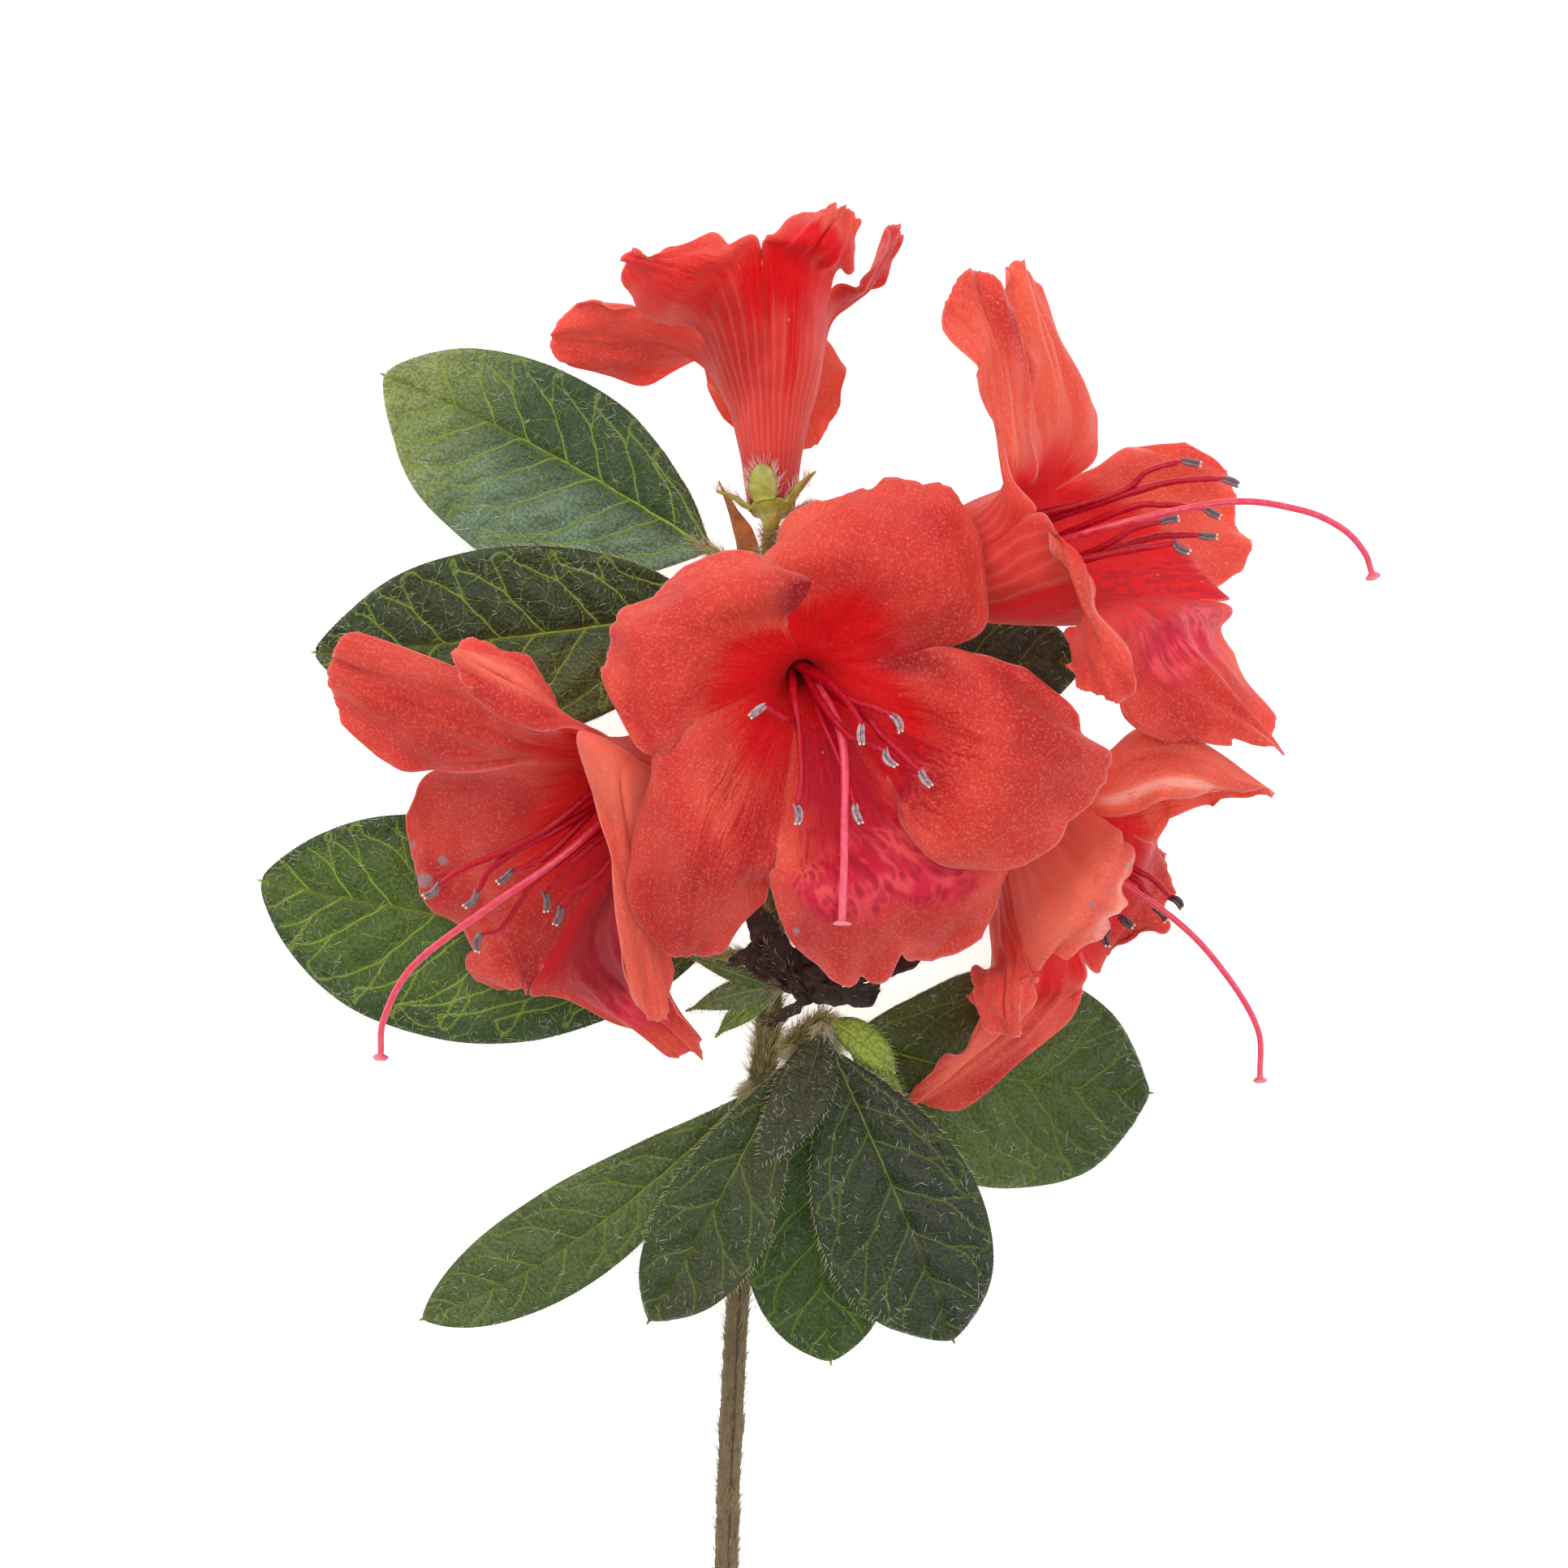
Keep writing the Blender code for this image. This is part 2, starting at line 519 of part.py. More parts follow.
def flower_stalk(name):
    """one flower stalk widening into the cup under the bloom, with five small green lobes."""
    bloom = BLOOMS[name]
    base = np.array(bloom["base"])
    axis = unit(np.array(bloom["mouth"]) - base)
    points = [np.array(point) for point in STALKS[name]] + [base - axis * 3.0]
    line = np.vstack([smooth_line(points, 6), [base - axis * 1.8, base - axis * 1.0]])
    radii = np.array([1.1, 1.05, 1.0, 1.0, 1.0, 1.1, 1.4, 1.9, 2.1])
    bm = bmesh.new()
    walls = limb(bm, line, radii, 10)
    for number in range(5):
        face = walls[-1][2 * number]
        middle = np.array(face.calc_center_median())
        out = middle - base
        out = unit(out - axis * (out @ axis))
        reach = CALYX_REACH[number]
        places = [
            base - axis * 1.2 + out * 3.6,
            base + axis * reach * 0.25 + out * 4.3,
            base + axis * reach * 0.50 + out * 5.4,
            base + axis * reach * 0.65 + out * 6.6,
        ]
        grow(bm, face, places, (1.3, 2.0, 1.5, 0.5), (0.5, 0.5, 0.45, 0.4), out, 0.9)
    return finish(bm, "stalk_" + name, STALK)


# ---- blooms -------------------------------------------------------------
def tube_frame(bloom):
    """the tube's base, axis, two cross directions and the turn of the first lobe."""
    base = np.array(bloom["base"], float)
    axis = unit(np.array(bloom["mouth"], float) - base)
    first = unit(np.cross(axis, (0.3, 0.2, 1.0)))
    second = np.cross(axis, first)
    rims = np.array([lobe["middle"][0] for lobe in bloom["lobes"]], float) - base
    turns = np.arctan2(rims @ second, rims @ first)
    lag = turns - LOBE_TURN * np.arange(LOBE_COUNT)
    start = math.atan2(np.sin(lag).mean(), np.cos(lag).mean())
    return base, axis, first, second, start


def lobe_grid(bloom, number, frame, across):
    """rows of points from the tube's base to the lobe's tip."""
    base, axis, first, second, start = frame
    lobe = bloom["lobes"][number]
    turns = start + LOBE_TURN * number + across * LOBE_TURN / 2
    ring = np.cos(turns)[:, None] * first + np.sin(turns)[:, None] * second
    notch_one = np.array(bloom["notches"][number], float)
    notch_two = np.array(bloom["notches"][(number + 1) % LOBE_COUNT], float)
    edge_one = [np.array(point) for point in lobe["first"]]
    middle = [np.array(point) for point in lobe["middle"]]
    edge_two = [np.array(point) for point in lobe["second"]]
    top = TUBE[-1][0]
    tube_end = base + axis * top + ring * TUBE[-1][1]
    rim = through_three(notch_one, middle[0], notch_two, across)
    halfway = through_three(edge_one[0], middle[1], edge_two[0], across)
    outer = through_three(edge_one[1], middle[2], edge_two[1], across)
    span = np.linalg.norm(rim - tube_end, axis=1)[:, None]
    leave_tube = (axis * math.cos(TUBE_FLARE) + ring * math.sin(TUBE_FLARE)) * span
    shared = (np.abs(across) ** 3)[:, None]
    at_rim = (halfway - tube_end) / 2 * (1 - shared) + (rim - tube_end) * 0.9 * shared
    at_half = (outer - rim) / 2
    at_end = outer - halfway
    rows = []
    for place in np.linspace(0.0, top, TUBE_ROWS + 1)[:-1]:
        radius = np.interp(place, [part[0] for part in TUBE], [part[1] for part in TUBE])
        rows.append(base + axis * place + ring * radius)
    for t in np.linspace(0.0, 1.0, FLARE_ROWS + 1):
        rows.append(hermite(tube_end, rim, leave_tube, at_rim, t))
    rounding = 1 - 0.10 * (1 - np.sqrt(np.clip(1 - np.abs(across) ** 3, 0.0, 1.0)))
    for row in range(1, LOBE_ROWS + 1):
        t = 2 * rounding * row / LOBE_ROWS
        near = hermite(rim, halfway, at_rim, at_half, np.clip(t, 0, 1))
        far = hermite(halfway, outer, at_half, at_end, np.clip(t - 1, 0, 1))
        rows.append(np.where((t > 1)[:, None], far, near))
    grid = np.array(rows)
    return ruffled(grid, across, 1.9 * number)


def ruffled(grid, across, phase):
    """waves along the free edges of a lobe."""
    normals = np.cross(np.gradient(grid, axis=0), np.gradient(grid, axis=1))
    normals /= np.linalg.norm(normals, axis=2)[:, :, None]
    first_free = TUBE_ROWS + FLARE_ROWS
    for row in range(first_free + 1, len(grid)):
        out = (row - first_free) / LOBE_ROWS
        edge = np.maximum(np.abs(across) ** 3, 0.8 * ease((out - 0.6) / 0.4))
        wave = 0.8 * edge * ease(out / 0.5) * np.sin(2.6 * math.pi * across * (0.5 + 0.5 * out) + 6.0 * out + phase)
        grid[row] += normals[row] * wave[:, None]
    return grid


def corolla(name):
    """tube and five lobes as one thin closed piece."""
    bloom = BLOOMS[name]
    frame = tube_frame(bloom)
    across = np.linspace(-1.0, 1.0, LOBE_COLUMNS + 1)
    joined_rows = TUBE_ROWS + FLARE_ROWS + 1
    points = []
    places = {}
    for number in range(LOBE_COUNT):
        grid = lobe_grid(bloom, number, frame, across)
        for row in range(len(grid)):
            for column in range(LOBE_COLUMNS + 1):
                joined = row < joined_rows and column == LOBE_COLUMNS
                if joined:
                    continue
                places[(number, row, column)] = len(points)
                points.append(grid[row][column])
    for number in range(LOBE_COUNT):
        for row in range(joined_rows):
            places[(number, row, LOBE_COLUMNS)] = places[((number + 1) % LOBE_COUNT, row, 0)]
    faces = []
    rows = joined_rows + LOBE_ROWS
    for number in range(LOBE_COUNT):
        for row in range(rows - 1):
            for column in range(LOBE_COLUMNS):
                faces.append((
                    places[(number, row, column)],
                    places[(number, row, column + 1)],
                    places[(number, row + 1, column + 1)],
                    places[(number, row + 1, column)],
                ))
    pole = len(points)
    points.append(frame[0] - frame[1] * 0.3)
    for number in range(LOBE_COUNT):
        for column in range(LOBE_COLUMNS):
            faces.append((places[(number, 0, column + 1)], places[(number, 0, column)], pole))
    bm = thickened(points, faces, PETAL_THICK)
    return finish(bm, "bloom_" + name, PETAL)


def turn_cost(wanted, offered):
    """how far two lists of turns are from each other, going round."""
    apart = wanted - offered[:len(wanted)]
    return float((1 - np.cos(apart)).sum())


def stamens(name):
    """the style and the stamens of one bloom, grown out of one small block in the tube."""
    bloom = BLOOMS[name]
    base, axis, first, second, start = tube_frame(bloom)
    bm = bmesh.new()
    layers = []
    for height, half in ((0.9, 0.9), (3.4, 1.2)):
        count = 3
        layer = {}
        for row in range(count + 1):
            for column in range(count + 1):
                if height < 1.0 and 0 < row < count and 0 < column < count:
                    continue
                x = (2 * column / count - 1) * half
                y = (2 * row / count - 1) * half
                layer[(row, column)] = bm.verts.new(base + axis * height + first * x + second * y)
        layers.append(layer)
    low, high = layers
    border = [(0, 0), (0, 1), (0, 2), (0, 3), (1, 3), (2, 3), (3, 3), (3, 2), (3, 1), (3, 0), (2, 0), (1, 0)]
    for number in range(12):
        one = border[number]
        two = border[(number + 1) % 12]
        bm.faces.new([low[one], low[two], high[two], high[one]])
    bm.faces.new([low[place] for place in reversed(border)])
    cells = []
    for row in range(3):
        for column in range(3):
            corners = [(row, column), (row, column + 1), (row + 1, column + 1), (row + 1, column)]
            cells.append(bm.faces.new([high[corner] for corner in corners]))
    centre_cell = cells[4]
    ring_cells = [cells[0], cells[1], cells[2], cells[5], cells[8], cells[7], cells[6], cells[3]]
    style = smooth_line([base + axis * 4.7] + [np.array(point) for point in bloom["style"]], 11)
    last = unit(style[-1] - style[-2])
    tip = style[-1]
    knobbed = np.vstack([style[:-1], tip - last * 1.4, tip - last * 0.9, tip - last * 0.1, tip + last * 0.3])
    widths = [0.85] * len(style) + [1.6, 1.7, 1.1]
    grow(bm, centre_cell, knobbed, widths, widths, first)
    anthers = np.array(bloom["anthers"], float)
    beside = np.array([style[np.argmin(np.abs((style - anther) @ axis))] for anther in anthers])
    anther_turns = np.arctan2((anthers - beside) @ second, (anthers - beside) @ first)
    anthers = anthers[np.argsort(anther_turns)]
    anther_turns = np.sort(anther_turns)
    cell_turns = np.radians(np.arange(8) * 45.0 - 135.0)
    best_shift = min(range(8), key=lambda shift: turn_cost(anther_turns, np.roll(cell_turns, -shift)))
    for number, anther in enumerate(anthers):
        chosen = (number + best_shift) % 8
        root = np.array(ring_cells[chosen].calc_center_median())
        spread = root - base
        spread = unit(spread - axis * (spread @ axis))
        throat = base + axis * 13.0 + spread * 2.3
        line = smooth_line([root + axis * 1.0, base + axis * 8.0 + spread * 1.7, throat, (throat + anther) / 2 + axis * 1.2, anther], 7)
        last = unit(line[-1] - line[-2])
        line = np.vstack([line, line[-1] + last * 0.35, line[-1] + last * 2.2, line[-1] + last * 2.5])
        widths = [0.62] * 8 + [1.25, 1.25, 0.8]
        grow(bm, ring_cells[chosen], line, widths, widths, first)
    return finish(bm, "stamens_" + name, FILAMENT)


# ---- leaves -------------------------------------------------------------
def leaf(name):
    base, middle, tip, width, widest, round_base, round_tip, stalk, roll, uneven = LEAVES[name]
    share = 1 - (1 - np.linspace(0.0, 1.0, LEAF_ROWS + 1)) ** 1.35
    line = through_three(np.array(base), np.array(middle), np.array(tip), share * 2 - 1)
    headings = directions(line)
    sides = carried_sides(headings, np.cross((0.0, 0.0, 1.0), headings[0]))
    faces_up = np.cross(headings, sides)
    lean = math.radians(roll)
    sides, faces_up = sides * math.cos(lean) + faces_up * math.sin(lean), faces_up * math.cos(lean) - sides * math.sin(lean)
    blade = np.clip((share - stalk) / (1 - stalk), 0.0, 1.0)
    peak = (widest - stalk) / (1 - stalk)
    near = np.clip(1 - (1 - blade / peak) ** 2, 0.0, 1.0) ** round_base
    far = np.clip(1 - ((blade - peak) / (1 - peak)) ** 2, 0.0, 1.0) ** round_tip
    half = np.where(blade < peak, near, far) * width / 2
    half = np.maximum(half, 0.6 - 0.25 * share)
    across = np.linspace(-1.0, 1.0, LEAF_COLUMNS + 1)
    offsets = across[None, :] * half[:, None] * (1 + uneven * np.sign(across))[None, :]
    lift = 0.16 * np.abs(offsets) - 0.012 * offsets**2
    grid = line[:, None, :] + sides[:, None, :] * offsets[:, :, None] + faces_up[:, None, :] * lift[:, :, None]
    points = grid.reshape(-1, 3)
    faces = []
    step = LEAF_COLUMNS + 1
    for row in range(LEAF_ROWS):
        for column in range(LEAF_COLUMNS):
            corner = row * step + column
            faces.append((corner, corner + 1, corner + step + 1, corner + step))
    bm = thickened(points, faces, LEAF_THICK if width > 5.0 else 0.5)
    return finish(bm, name, YOUNG if name.startswith("young") else GREEN)


# ---- withered remains and bud scale -------------------------------------
def withered_scales():
    bm = bmesh.new()
    core = np.array(WITHERED_CORE)
    corners = bmesh.ops.create_cube(bm, size=3.6)["verts"]
    for vert in corners:
        vert.co = Vector(core) + vert.co
    bm.faces.ensure_lookup_table()
    bmesh.ops.subdivide_edges(bm, edges=list(bm.edges), cuts=1, use_grid_fill=True)
    taken = []
    for number, strip in enumerate(WITHERED_STRIPS):
        target = unit(np.array(strip[0]) - core)
        options = [face for face in bm.faces if face not in taken and len(face.verts) == 4]
        options = [face for face in options if abs((np.array(face.calc_center_median()) - core)[2]) < 1.0]
        options.sort(key=lambda face: -float(unit(np.array(face.calc_center_median()) - core) @ target))
        line = smooth_line(strip, 5)
        facing = (math.sin(1.3 * number), math.cos(1.3 * number), 1.5)
        keep = options[0]
        grow(bm, keep, line, WITHERED_WIDTHS, (1.2, 0.8, 0.7, 0.7, 0.6, 0.5), facing)
        taken.append(keep)
    return finish(bm, "withered_scales", DRY)


def bud_scale():
    line = smooth_line(BUD_SCALE_LINE, 6)
    headings = directions(line)
    sides = carried_sides(headings, (0.8, 0.1, 0.5))
    half = np.array([0.9, 1.3, 1.25, 0.9, 0.6, 0.45, 0.3])
    across = np.linspace(-1.0, 1.0, 4)
    facing = np.cross(headings, sides)
    offsets = across[None, :] * half[:, None]
    grid = line[:, None, :] + sides[:, None, :] * offsets[:, :, None] + facing[:, None, :] * (0.25 * offsets**2)[:, :, None]
    faces = []
    for row in range(6):
        for column in range(3):
            corner = row * 4 + column
            faces.append((corner, corner + 1, corner + 5, corner + 4))
    bm = thickened(grid.reshape(-1, 3), faces, 0.5)
    return finish(bm, "bud_scale", RUST)


def clear_scene():
    for item in list(bpy.data.objects):
        bpy.data.objects.remove(item, do_unlink=True)


def build():
    clear_scene()
    main_stem()
    side_shoot()
    for name in BLOOMS:
        corolla(name)
        stamens(name)
        flower_stalk(name)
    for name in LEAVES:
        leaf(name)
    withered_scales()
    bud_scale()


build()
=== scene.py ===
"""A cut azalea sprig lying on its back: thin ruffled petals, stamens, veined hairy leaves,
a hairy stem and its withered scales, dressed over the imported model. Lengths in the tables
are in millimetres, and colours are given the way a paint chart gives them, 0 to 255."""
import math

import bpy
import numpy as np
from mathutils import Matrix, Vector


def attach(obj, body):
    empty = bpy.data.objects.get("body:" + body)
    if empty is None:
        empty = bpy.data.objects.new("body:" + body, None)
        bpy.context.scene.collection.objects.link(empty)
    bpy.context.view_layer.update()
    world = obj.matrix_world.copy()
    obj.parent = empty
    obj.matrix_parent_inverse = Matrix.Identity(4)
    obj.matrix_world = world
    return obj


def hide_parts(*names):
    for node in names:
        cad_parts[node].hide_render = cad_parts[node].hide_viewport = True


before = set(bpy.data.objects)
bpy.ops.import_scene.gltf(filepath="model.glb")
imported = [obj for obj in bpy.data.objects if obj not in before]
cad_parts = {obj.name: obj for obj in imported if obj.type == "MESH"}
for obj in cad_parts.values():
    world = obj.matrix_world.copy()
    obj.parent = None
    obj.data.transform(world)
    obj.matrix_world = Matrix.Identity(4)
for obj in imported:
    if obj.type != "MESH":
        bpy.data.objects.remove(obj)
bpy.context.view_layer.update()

bl_info = {
    "name": "Azalea Sprig",
    "version": (1, 0, 0),
    "blender": (4, 5, 0),
    "location": "View3D > Sidebar > Sprig",
    "description": "Dresses a cut flowering azalea sprig",
    "category": "Object",
}

MM = 0.001

# ---- blooms -------------------------------------------------------------
# the usual tube: distance from its base along its axis, and radius there
TUBE = ((0.0, 2.9), (7.0, 3.7), (14.0, 5.0))
# how far the tube's wall leans outwards at its end, in radians
TUBE_FLARE = 0.38
LOBE_COUNT = 5
LOBE_TURN = 2.0 * math.pi / LOBE_COUNT
# rows of points in the tube, in the flare and on a lobe, and columns across a lobe
TUBE_ROWS = 9
FLARE_ROWS = 16
LOBE_ROWS = 42
LOBE_COLUMNS = 44

# A lobe has three lines that run outwards: its first edge (halfway, tip), its middle (rim,
# halfway, tip) and its second edge. Places on it are across, -1 at the first edge and 1 at the
# second, and out, 0 at the rim and 1 at the tip; patches of colour count along from the
# bloom's base instead, 1 at the rim and 2 at the tip.
# nicks: dips in the outer edge as (across, depth, breadth).
# pushes: (across, out, shift, breadth, length), see pushed.
# folds: ridges and channels as (start, end, height, breadth), see ruffled.
# rolls: edges turned over as (side, breadth, turn, start, end), see rolled.
# crumple: height of the small crumples.
# deep: how far along the deep red of the throat reaches.
# tone: how much paler (painted light) or, below 0, darker (painted shade) the lobe is painted, and tones
# the same as patches (across, breadth, start, end, strength).
# blush, spots and streaks: magenta patches, rows of dark spots and fine dark red lines as
# (across, half breadth, start, end, strength).
CENTRE_LOBES = {
    "top": {
        "first": [(21, 38, 50), (21, 52, 47.5)],
        "middle": [(2.5, 38, 50), (9, 47.5, 56), (11, 57.5, 47)],
        "second": [(-6, 46.5, 50), (-2, 54, 46)],
        "nicks": [(0.75, 0.8, 0.1), (0.35, 0.4, 0.08)],
        "pushes": [(0.35, 1, (0.4, -1, 0), 0.35, 0.3), (0.95, 0.55, (-1.2, 0.2, 0), 0.3, 0.3)],
        "folds": [
            ((0.1, 0.1), (0.35, 0.8), -0.35, 1.1), ((-0.5, 0.1), (-0.75, 0.7), 0.4, 1.2),
            ((-0.15, 0.3), (-0.2, 0.95), -0.3, 0.9),
        ],
        "deep": 1.16,
        "light_and_shade_patches": [(0.9, 0.25, 1.2, 2, 0.25), (-1, 0.35, 0.95, 1.5, -0.8)],
    },
    "upper left": {
        "first": [(-1.5, 43.5, 57), (-10.5, 49, 54)],
        "middle": [(-10.5, 35.5, 55), (-17.5, 38, 59), (-26, 39, 52)],
        "second": [(-22, 22.5, 55), (-27.5, 31, 53)],
        "nicks": [(-0.35, 0.9, 0.1), (-0.75, 0.5, 0.06)],
        "pushes": [
            (0.45, 1, (1.6, -0.2, 0), 0.4, 0.35), (1, 0.5, (1, -0.9, -1), 0.4, 0.35),
            (-0.95, 0.42, (0.5, 0, 2.4), 0.3, 0.26), (-0.95, 0.62, (0.8, 0.4, 0.8), 0.25, 0.18),
        ],
        "folds": [((-0.45, 0.1), (-0.5, 0.9), 0.5, 1.2), ((0.3, 0.2), (0.5, 0.9), -0.4, 1.2)],
        "deep": 0.93,
        "light_and_shade_patches": [(-1, 0.18, 1.15, 1.62, -1.3)],
    },
    "lower left": {
        "first": [(-20, 18.5, 51), (-25, 2.5, 47)],
        "middle": [(-10.5, 18.5, 54), (-14.5, 8, 56), (-17, -4, 46)],
        "second": [(-6.5, 5.5, 48.5), (-9, 0, 46.5)],
        "nicks": [(0.45, 0.7, 0.08), (-0.2, 0.5, 0.1)],
        "pushes": [(-0.95, 0.35, (-1.4, 0.4, 0), 0.35, 0.35)],
        "folds": [((0, 0), (-0.1, 0.95), -0.5, 1.4), ((0.45, 0), (0.5, 0.8), 0.35, 1)],
        "deep": 0.8,
        "light_and_shade_patches": [(0, 0.55, 0.9, 1.3, 0.35), (0, 1.4, 1.4, 2.2, -0.3), (0.8, 0.5, 1, 1.5, -0.3)],
        "streaks": [(0.35, 0.75, 0.7, 1.55, 1)],
    },
    "bottom": {
        "first": [(-6.5, 6.5, 53.5), (-3, -3.5, 51)],
        "middle": [(2.5, 12, 53), (5.5, 3.5, 57), (7, -7.5, 48.5)],
        "second": [(24, 8.5, 49), (19.5, -4.5, 45)],
        "nicks": [(-0.12, 1, 0.05), (0.26, 3.4, 0.07), (0.62, -0.3, 0.12)],
        "pushes": [
            (-0.5, 0.95, (1, -0.3, 0), 0.35, 0.3), (-0.95, 0.35, (1.2, 0, 0), 0.3, 0.3),
            (0.6, 0.95, (0.2, 1.8, 0), 0.4, 0.3), (0.4, 1, (0, 1.3, 0), 0.16, 0.3),
        ],
        "folds": [
            ((-0.2, 0.2), (-0.35, 0.95), 0.4, 1), ((0.35, 0.1), (0.4, 0.9), -0.5, 1.2),
            ((0.7, 0.1), (0.65, 0.9), 0.4, 1.1),
        ],
        "deep": 0.6,
        "light_and_shade_patches": [(-0.75, 0.35, 0.9, 1.3, 0.35), (0, 1.4, 1.6, 2.2, -0.34)],
        "blush": [(0.1, 0.92, 0.3, 1.62, 1.1)],
        "spots": [(0.1, 0.92, 0.6, 1.62, 1.15)],
    },
    "right": {
        "first": [(14.5, 10, 57), (25.5, 7.5, 53)],
        "middle": [(11, 26.5, 51), (23.5, 22.5, 59), (37, 20, 50)],
        "second": [(19.5, 35.5, 54), (30, 29, 51)],
        "nicks": [(-0.55, 0.8, 0.08), (0.5, 0.6, 0.09)],
        "pushes": [
            (0.55, 0.9, (-0.8, -0.5, 0), 0.25, 0.3), (-0.9, 0.75, (-0.4, -1.5, 0), 0.35, 0.35),
            (-1, 0.2, (-1.4, -0.4, 0), 0.3, 0.3),
        ],
        "folds": [
            ((0.35, 0), (0.45, 0.9), 0.5, 1.2), ((-0.3, 0.1), (-0.35, 0.9), -0.4, 1.3),
            ((0.75, 0), (0.85, 0.8), -0.4, 1),
        ],
        "deep": 1.02,
        "light_and_shade_patches": [(0.3, 1.2, 1.55, 2.2, -0.42), (0.95, 0.25, 0.95, 1.35, -0.9)],
        "blush": [(-0.6, 0.6, 0.7, 1.18, 1.1)],
        "spots": [(-0.6, 0.6, 0.75, 1.3, 1)],
        "streaks": [(-0.3, 0.75, 0.8, 1.4, 1)],
    },
}

TOP_LOBES = {
    "right": {
        "first": [(5, 83.5, 30), (9, 88, 28)],
        "middle": [(1.5, 78, 22), (6.5, 82.5, 23), (10.5, 91, 20)],
        "second": [(7.5, 81.5, 15), (11, 87.5, 13)],
        "pushes": [(-0.9, 0.35, (1.4, -0.8, 0), 0.5, 0.3), (0.9, 0.45, (-1.4, 1, 0), 0.5, 0.35)],
        "light_and_shade": -0.5,
    },
    "back": {
        "first": [(4, 73.5, 8), (3.5, 67, 4)],
        "middle": [(-6.5, 76.5, 10), (-5.5, 70.5, 3.2), (-2, 62, 1)],
        "second": [(-14.5, 71.5, 8), (-11.5, 65, 3.5)],
        "pushes": [(-0.7, 0.95, (-0.6, 0.5, 0), 0.4, 0.35)],
        "light_and_shade": 0.65,
    },
    "left": {
        "first": [(-22.5, 70, 16), (-32, 72.5, 15)],
        "middle": [(-15.5, 73.5, 21), (-24.5, 75.5, 21), (-34.5, 76.5, 18)],
        "second": [(-21.5, 76.5, 28), (-29, 81.5, 26)],
        "pushes": [(0.9, 0.75, (0.2, 1.2, 0), 0.5, 0.35), (1, 0.35, (0.4, 2.2, 0), 0.4, 0.25)],
        "folds": [((0.1, 0), (0, 0.95), 0.4, 1.2), ((-0.5, 0.1), (-0.4, 0.9), -0.4, 1.2)],
        "light_and_shade": 0.15,
    },
    "front left": {
        "first": [(-22, 78, 33), (-24, 82.5, 37)],
        "middle": [(-13, 81, 37), (-17, 83, 43), (-24.5, 86, 43)],
        "second": [(-11.5, 87.4, 38), (-19, 87, 42)],
        "pushes": [
            (0.55, 1, (0.2, -1.6, 0), 0.28, 0.25), (1, 0.25, (0, 0.8, 0), 0.4, 0.25),
            (1, 0.62, (0.2, 0.5, 0), 0.3, 0.2),
        ],
        "folds": [
            ((0, 0), (0.1, 0.95), 0.5, 1.1), ((0.5, 0), (0.5, 0.8), -0.5, 1),
            ((-0.5, 0.1), (-0.4, 0.9), -0.4, 1.1),
        ],
    },
    "front right": {
        "first": [(-5, 88.4, 38), (-0.5, 91.8, 38)],
        "middle": [(-2, 84, 37), (0.5, 87, 42), (3.8, 92.3, 40)],
        "second": [(4, 85, 32), (5.5, 88.5, 33)],
        "nicks": [(-0.2, 1.2, 0.08), (0.4, 0.6, 0.06)],
        "folds": [
            ((0, 0), (-0.1, 0.95), 0.8, 0.8), ((0.5, 0), (0.4, 0.9), -0.7, 0.8),
            ((-0.5, 0.1), (-0.5, 0.9), -0.5, 0.8),
        ],
        "light_and_shade_patches": [(0.1, 0.7, 1.6, 2.2, 0.25)],
    },
}

